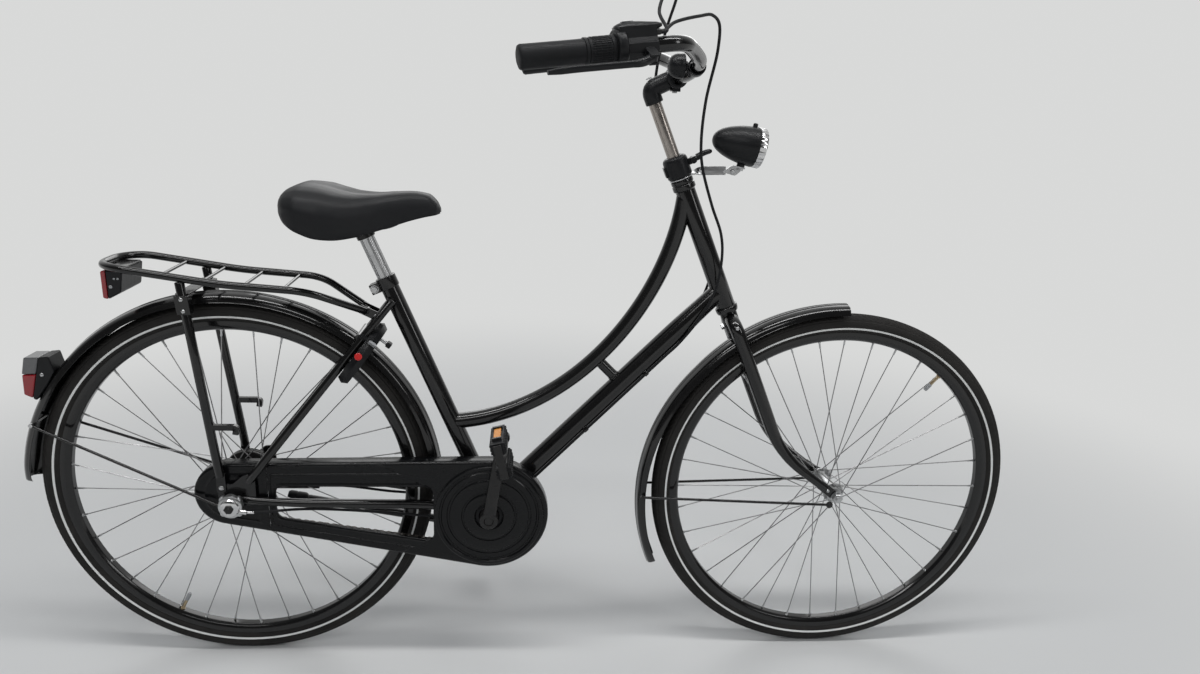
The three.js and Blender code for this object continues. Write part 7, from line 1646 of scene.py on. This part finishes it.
for word, side_shift in (("shift", 8.0), ("brake", -8.0)):
    barrel = lathe(
        [[0, 0], [5.4, 0], [5.4, 3], [4.2, 4], [4.2, 9], [3.4, 10], [3.4, 14], [2.4, 15], [0, 15]],
        on_grip(188, 17, side_shift), grip_ahead, 24,
    )
    make(word + "_cable_adjuster", DARK_STEEL, "stem", barrel, slot="black_plastic")
lever_turn = math.radians(60)
lever_away = grip_side * -math.sin(lever_turn) - grip_up * math.cos(lever_turn)
brake_hinge = np.cross(lever_away, grip_ahead)


def on_lever(distance, away, side=0.0):
    """A place by the brake lever: along the grip, away from the bar, and along the lever's hinge."""
    return grip_end + grip_ahead * distance + lever_away * away + brake_hinge * side


lever_path = rounded([on_lever(176.6, 31), on_lever(155.6, 42), on_lever(59.6, 41), on_lever(24, 43)], 20, 8)
share = np.r_[0, np.cumsum(np.linalg.norm(np.diff(lever_path, axis=0), axis=1))]
share /= share[-1]
lever_sizes = taper(
    share, ([0, 0.12, 0.3, 0.9, 1], [6.4, 6.2, 4.4, 4.2, 3.2]),
    ([0, 0.12, 0.25, 0.6, 0.92, 1], [6.8, 6.4, 5.0, 5.2, 5.0, 3.4]),
)
knob = lathe(
    [[3.2, -4.4], [6.4, -4.4], [7, -3.8], [7, 3.8], [6.4, 4.4], [3.2, 4.4]], on_lever(176.6, 31), brake_hinge,
    28, loop=True,
)
make(
    "brake_lever_blade", PLASTIC, "brake", sweep(lever_path, ring_of(24), lever_sizes, lever_away), knob,
    node="brake_lever",
)

# Bell, at its solid's place on the bar and pointing as that does
nearest = int(np.argmax(bar_path[:, 1] > -88))
bell_bar = spot(780.5, -96.9, 1120.6)
bell_back = unit(spot(-0.998548, -0.051951, 0.014223))
bell_along = unit(np.cross(bell_back, np.cross(bar_path[nearest] - bar_path[nearest - 1], bell_back)))
t = np.linspace(0, math.pi / 2, 14)
dome_top = 20.8 + 25
shell_out = np.stack([19 * np.cos(t) ** 0.7, 27.5 + (dome_top - 27.5) * np.sin(t)], -1)
shell_in = np.stack([17.4 * np.cos(t[::-1]) ** 0.7, 27 + (dome_top - 29) * np.sin(t[::-1])], -1)
bell_profile = np.vstack([[[17.4, 21], [19.2, 20.8], [19.6, 22.4], [19, 24]], shell_out, shell_in])
make(
    "bell_body", PLASTIC, "stem", lathe(bell_profile, bell_bar, bell_back, 56),
    tube([bell_bar + bell_back * 10, bell_bar + bell_back * 40], 4.3, 18),
    hoop(rect(11.5, 14.5, -7, 7), 0.8, 2, bell_bar, bell_along, 36), node="bell",
)
down = unit(-UPWARD + bell_back * (UPWARD @ bell_back))
turned = math.radians(60)
lever_down = down * math.cos(turned) + np.cross(bell_back, down) * math.sin(turned)
lever_root = bell_bar + bell_back * 16.3
make(
    "bell_thumb_lever", PLASTIC, "bell_striker",
    hoop(rect(4.9, 8, 14.8, 17.8), 0.4, 2, bell_bar, bell_back, 28),
    tube([lever_root + lever_down * 6, lever_root + lever_down * 24], 1.5, 14),
    tube([lever_root + lever_down * 22, lever_root + lever_down * 30], 2.6, 16, soft=1), node="bell_lever",
)

# Cables
SHIFT_HIGH = [
    on_grip(191.2, 17, 8), on_grip(206.6, 17, 8), [726, -200, 1178], [771, -150, 1192], [794, -125, 1196],
    [810, -105, 1185], [814, -90, 1148], [805, -70, 1071], [804, -60, 1007],
]
SHIFT_MIDDLE = [
    [810, -52, 966], [834, -42, 898], [856, -36, 846], [862, -31, 804], [856, -31, 750], [838, -25.5, 702],
]
SHIFT_LOW = [
    [478, -26, 284], [410, -30, 294], [347, -36, 301], [257, -45, 314], [149, -58, 327], [105, -64, 329],
    [60, -76, 331], [28.3, -86.1, 336],
]
BRAKE_HIGH = [
    on_grip(191.2, 17, -8), on_grip(206.6, 17, -8), [700, -215, 1190], [720, -160, 1232], [745, -80, 1244.5],
    [756, -8, 1228], [748, 34, 1180], [738, 45, 1120], [738, 44, 1066], [756, 42, 1018],
]
BRAKE_MIDDLE = [
    [779, 40, 966], [806, 39, 912], [838, 36, 850], [860, 32, 792], [856, 31, 750], [838, 25.5, 702],
]
BRAKE_LOW = [
    [478, 26, 284], [430, 20, 286], [395, 18, 296], [355, 30, 299], [330, 36, 308], [257, 44, 312],
    [180, 52, 318], [126.6, 49, 323],
]


def cable_pieces(name, high, middle, low, side):
    """A cable in three lengths that meet at the stem's collar and below the head tube."""
    beside = [beside_down(s, side) for s in (0.8, 0.74, 0.66, 0.4, 0.14, 0.08)]
    route = through([*high, *middle, *beside, *low], 900)
    first = int(np.argmin(np.linalg.norm(route - high[-1], axis=1)))
    second = int(np.argmin(np.linalg.norm(route - middle[-1], axis=1)))
    pieces = []
    for word, stretch in (
        ("upper", route[:first + 1]), ("middle", route[first:second + 1]), ("lower", route[second:]),
    ):
        pieces.append(make(f"{name}_{word}", RUBBER, None, tube(stretch, 2.5, 12), sharp=60))
    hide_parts(name)
    upper, centre, lower = pieces
    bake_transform(upper)
    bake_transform(centre)
    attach(lower, "frame")


cable_pieces("shift_cable", SHIFT_HIGH, SHIFT_MIDDLE, SHIFT_LOW, RIGHT)
cable_pieces("brake_cable", BRAKE_HIGH, BRAKE_MIDDLE, BRAKE_LOW, LEFT)


# Camera, light and floor
def stage_set():
    """A pale floor that fades into the same pale surround, lit by broad soft lamps."""
    scene = bpy.context.scene
    camera = bpy.data.objects.new("camera", bpy.data.cameras.new("camera"))
    scene.collection.objects.link(camera)
    camera.data.lens, camera.data.sensor_width, camera.data.sensor_fit = 25.40, 36.0, "HORIZONTAL"
    # The camera's place and angles, fitted to the outlines of both wheels in the photograph
    tilt, roll, heading = (math.radians(a) for a in (73.473, -2.363, -4.405))
    place = Matrix.Translation(((523.0 + HUB_X) * MM, -1.4796, 1.0861))
    camera.matrix_world = place @ Euler((tilt, roll, heading)).to_matrix().to_4x4()
    scene.camera = camera
    scene.view_settings.view_transform = "Standard"

    pale = (0.69, 0.695, 0.69, 1)
    world = bpy.data.worlds.new("studio")
    scene.world = world
    world.use_nodes = True
    tree = world.node_tree
    tree.nodes.clear()
    out, mix, light, seen = fresh(tree, "OutputWorld", "MixShader", "Background", "Background")
    rays, most, any_ray = fresh(tree, "LightPath", "Math", "Math")
    sky, height, mirror, level = fresh(tree, "TexCoord", "VectorMath", "MapRange", "Mix")
    most.operation = any_ray.operation = "MAXIMUM"
    height.operation, mirror.interpolation_type = "DOT_PRODUCT", "SMOOTHSTEP"
    preset(light, {"Color": (0.9, 0.94, 1, 1), "Strength": 0.3})
    preset(seen, {"Color": pale, "Strength": 1})
    preset(height, {1: (0, 0.75, 0.66)})
    preset(mirror, {"From Min": 0.0, "From Max": 0.85, "To Min": 0.12})
    preset(level, {"A": 1})
    join(
        tree, (sky, "Generated", height, 0), (height, "Value", mirror, "Value"),
        (rays, "Is Glossy Ray", level, "Factor"), (mirror, "Result", level, "B"),
        (level, "Result", seen, "Strength"), (rays, "Is Camera Ray", most, 0),
        (rays, "Is Glossy Ray", most, 1), (most, 0, any_ray, 0), (rays, "Is Transmission Ray", any_ray, 1),
        (any_ray, 0, mix, "Fac"), (light, 0, mix, 1), (seen, 0, mix, 2), (mix, 0, out, "Surface"),
    )

    mesh = bpy.data.meshes.new("floor")
    mesh.from_pydata([(-30, -30, 0), (30, -30, 0), (30, 30, 0), (-30, 30, 0)], [], [(0, 1, 2, 3)])
    floor = bpy.data.objects.new("floor", mesh)
    scene.collection.objects.link(floor)
    material = bpy.data.materials.new("pale_floor")
    material.use_nodes = True
    tree = material.node_tree
    shader, out = tree.nodes["Principled BSDF"], tree.nodes["Material Output"]
    place, length, span = fresh(tree, "TexCoord", "VectorMath", "MapRange")
    glow, blend_in = fresh(tree, "Emission", "MixShader")
    length.operation, span.interpolation_type = "LENGTH", "SMOOTHSTEP"
    preset(shader, {"Base Color": (0.61, 0.615, 0.61, 1), "Roughness": 0.75})
    preset(span, {"From Min": 1.0, "From Max": 2.6})
    preset(glow, {"Color": pale})
    join(
        tree, (place, "Object", length, 0), (length, "Value", span, "Value"),
        (span, "Result", blend_in, "Fac"), (shader, 0, blend_in, 1), (glow, 0, blend_in, 2),
        (blend_in, 0, out, "Surface"),
    )
    mesh.materials.append(material)

    lamps = (
        ("overhead", (0.0, -0.5, 3.1), (3.8, 0.22), 50), ("front", (-0.9, -2.8, 3.1), (2.6, 0.4), 26),
        ("front_right", (2.6, -2.0, 2.1), (0.5, 1.4), 12), ("back", (0.3, 3.2, 2.4), (3.2, 1.6), 34),
    )
    for name, where, size, power in lamps:
        lamp = bpy.data.objects.new(name, bpy.data.lights.new(name, "AREA"))
        lamp.data.shape, lamp.data.energy = "RECTANGLE", power
        lamp.data.size, lamp.data.size_y = size
        lamp.location = where
        lamp.rotation_euler = (Vector((0, 0, 0.5)) - Vector(where)).to_track_quat("-Z", "Y").to_euler()
        scene.collection.objects.link(lamp)


stage_set()
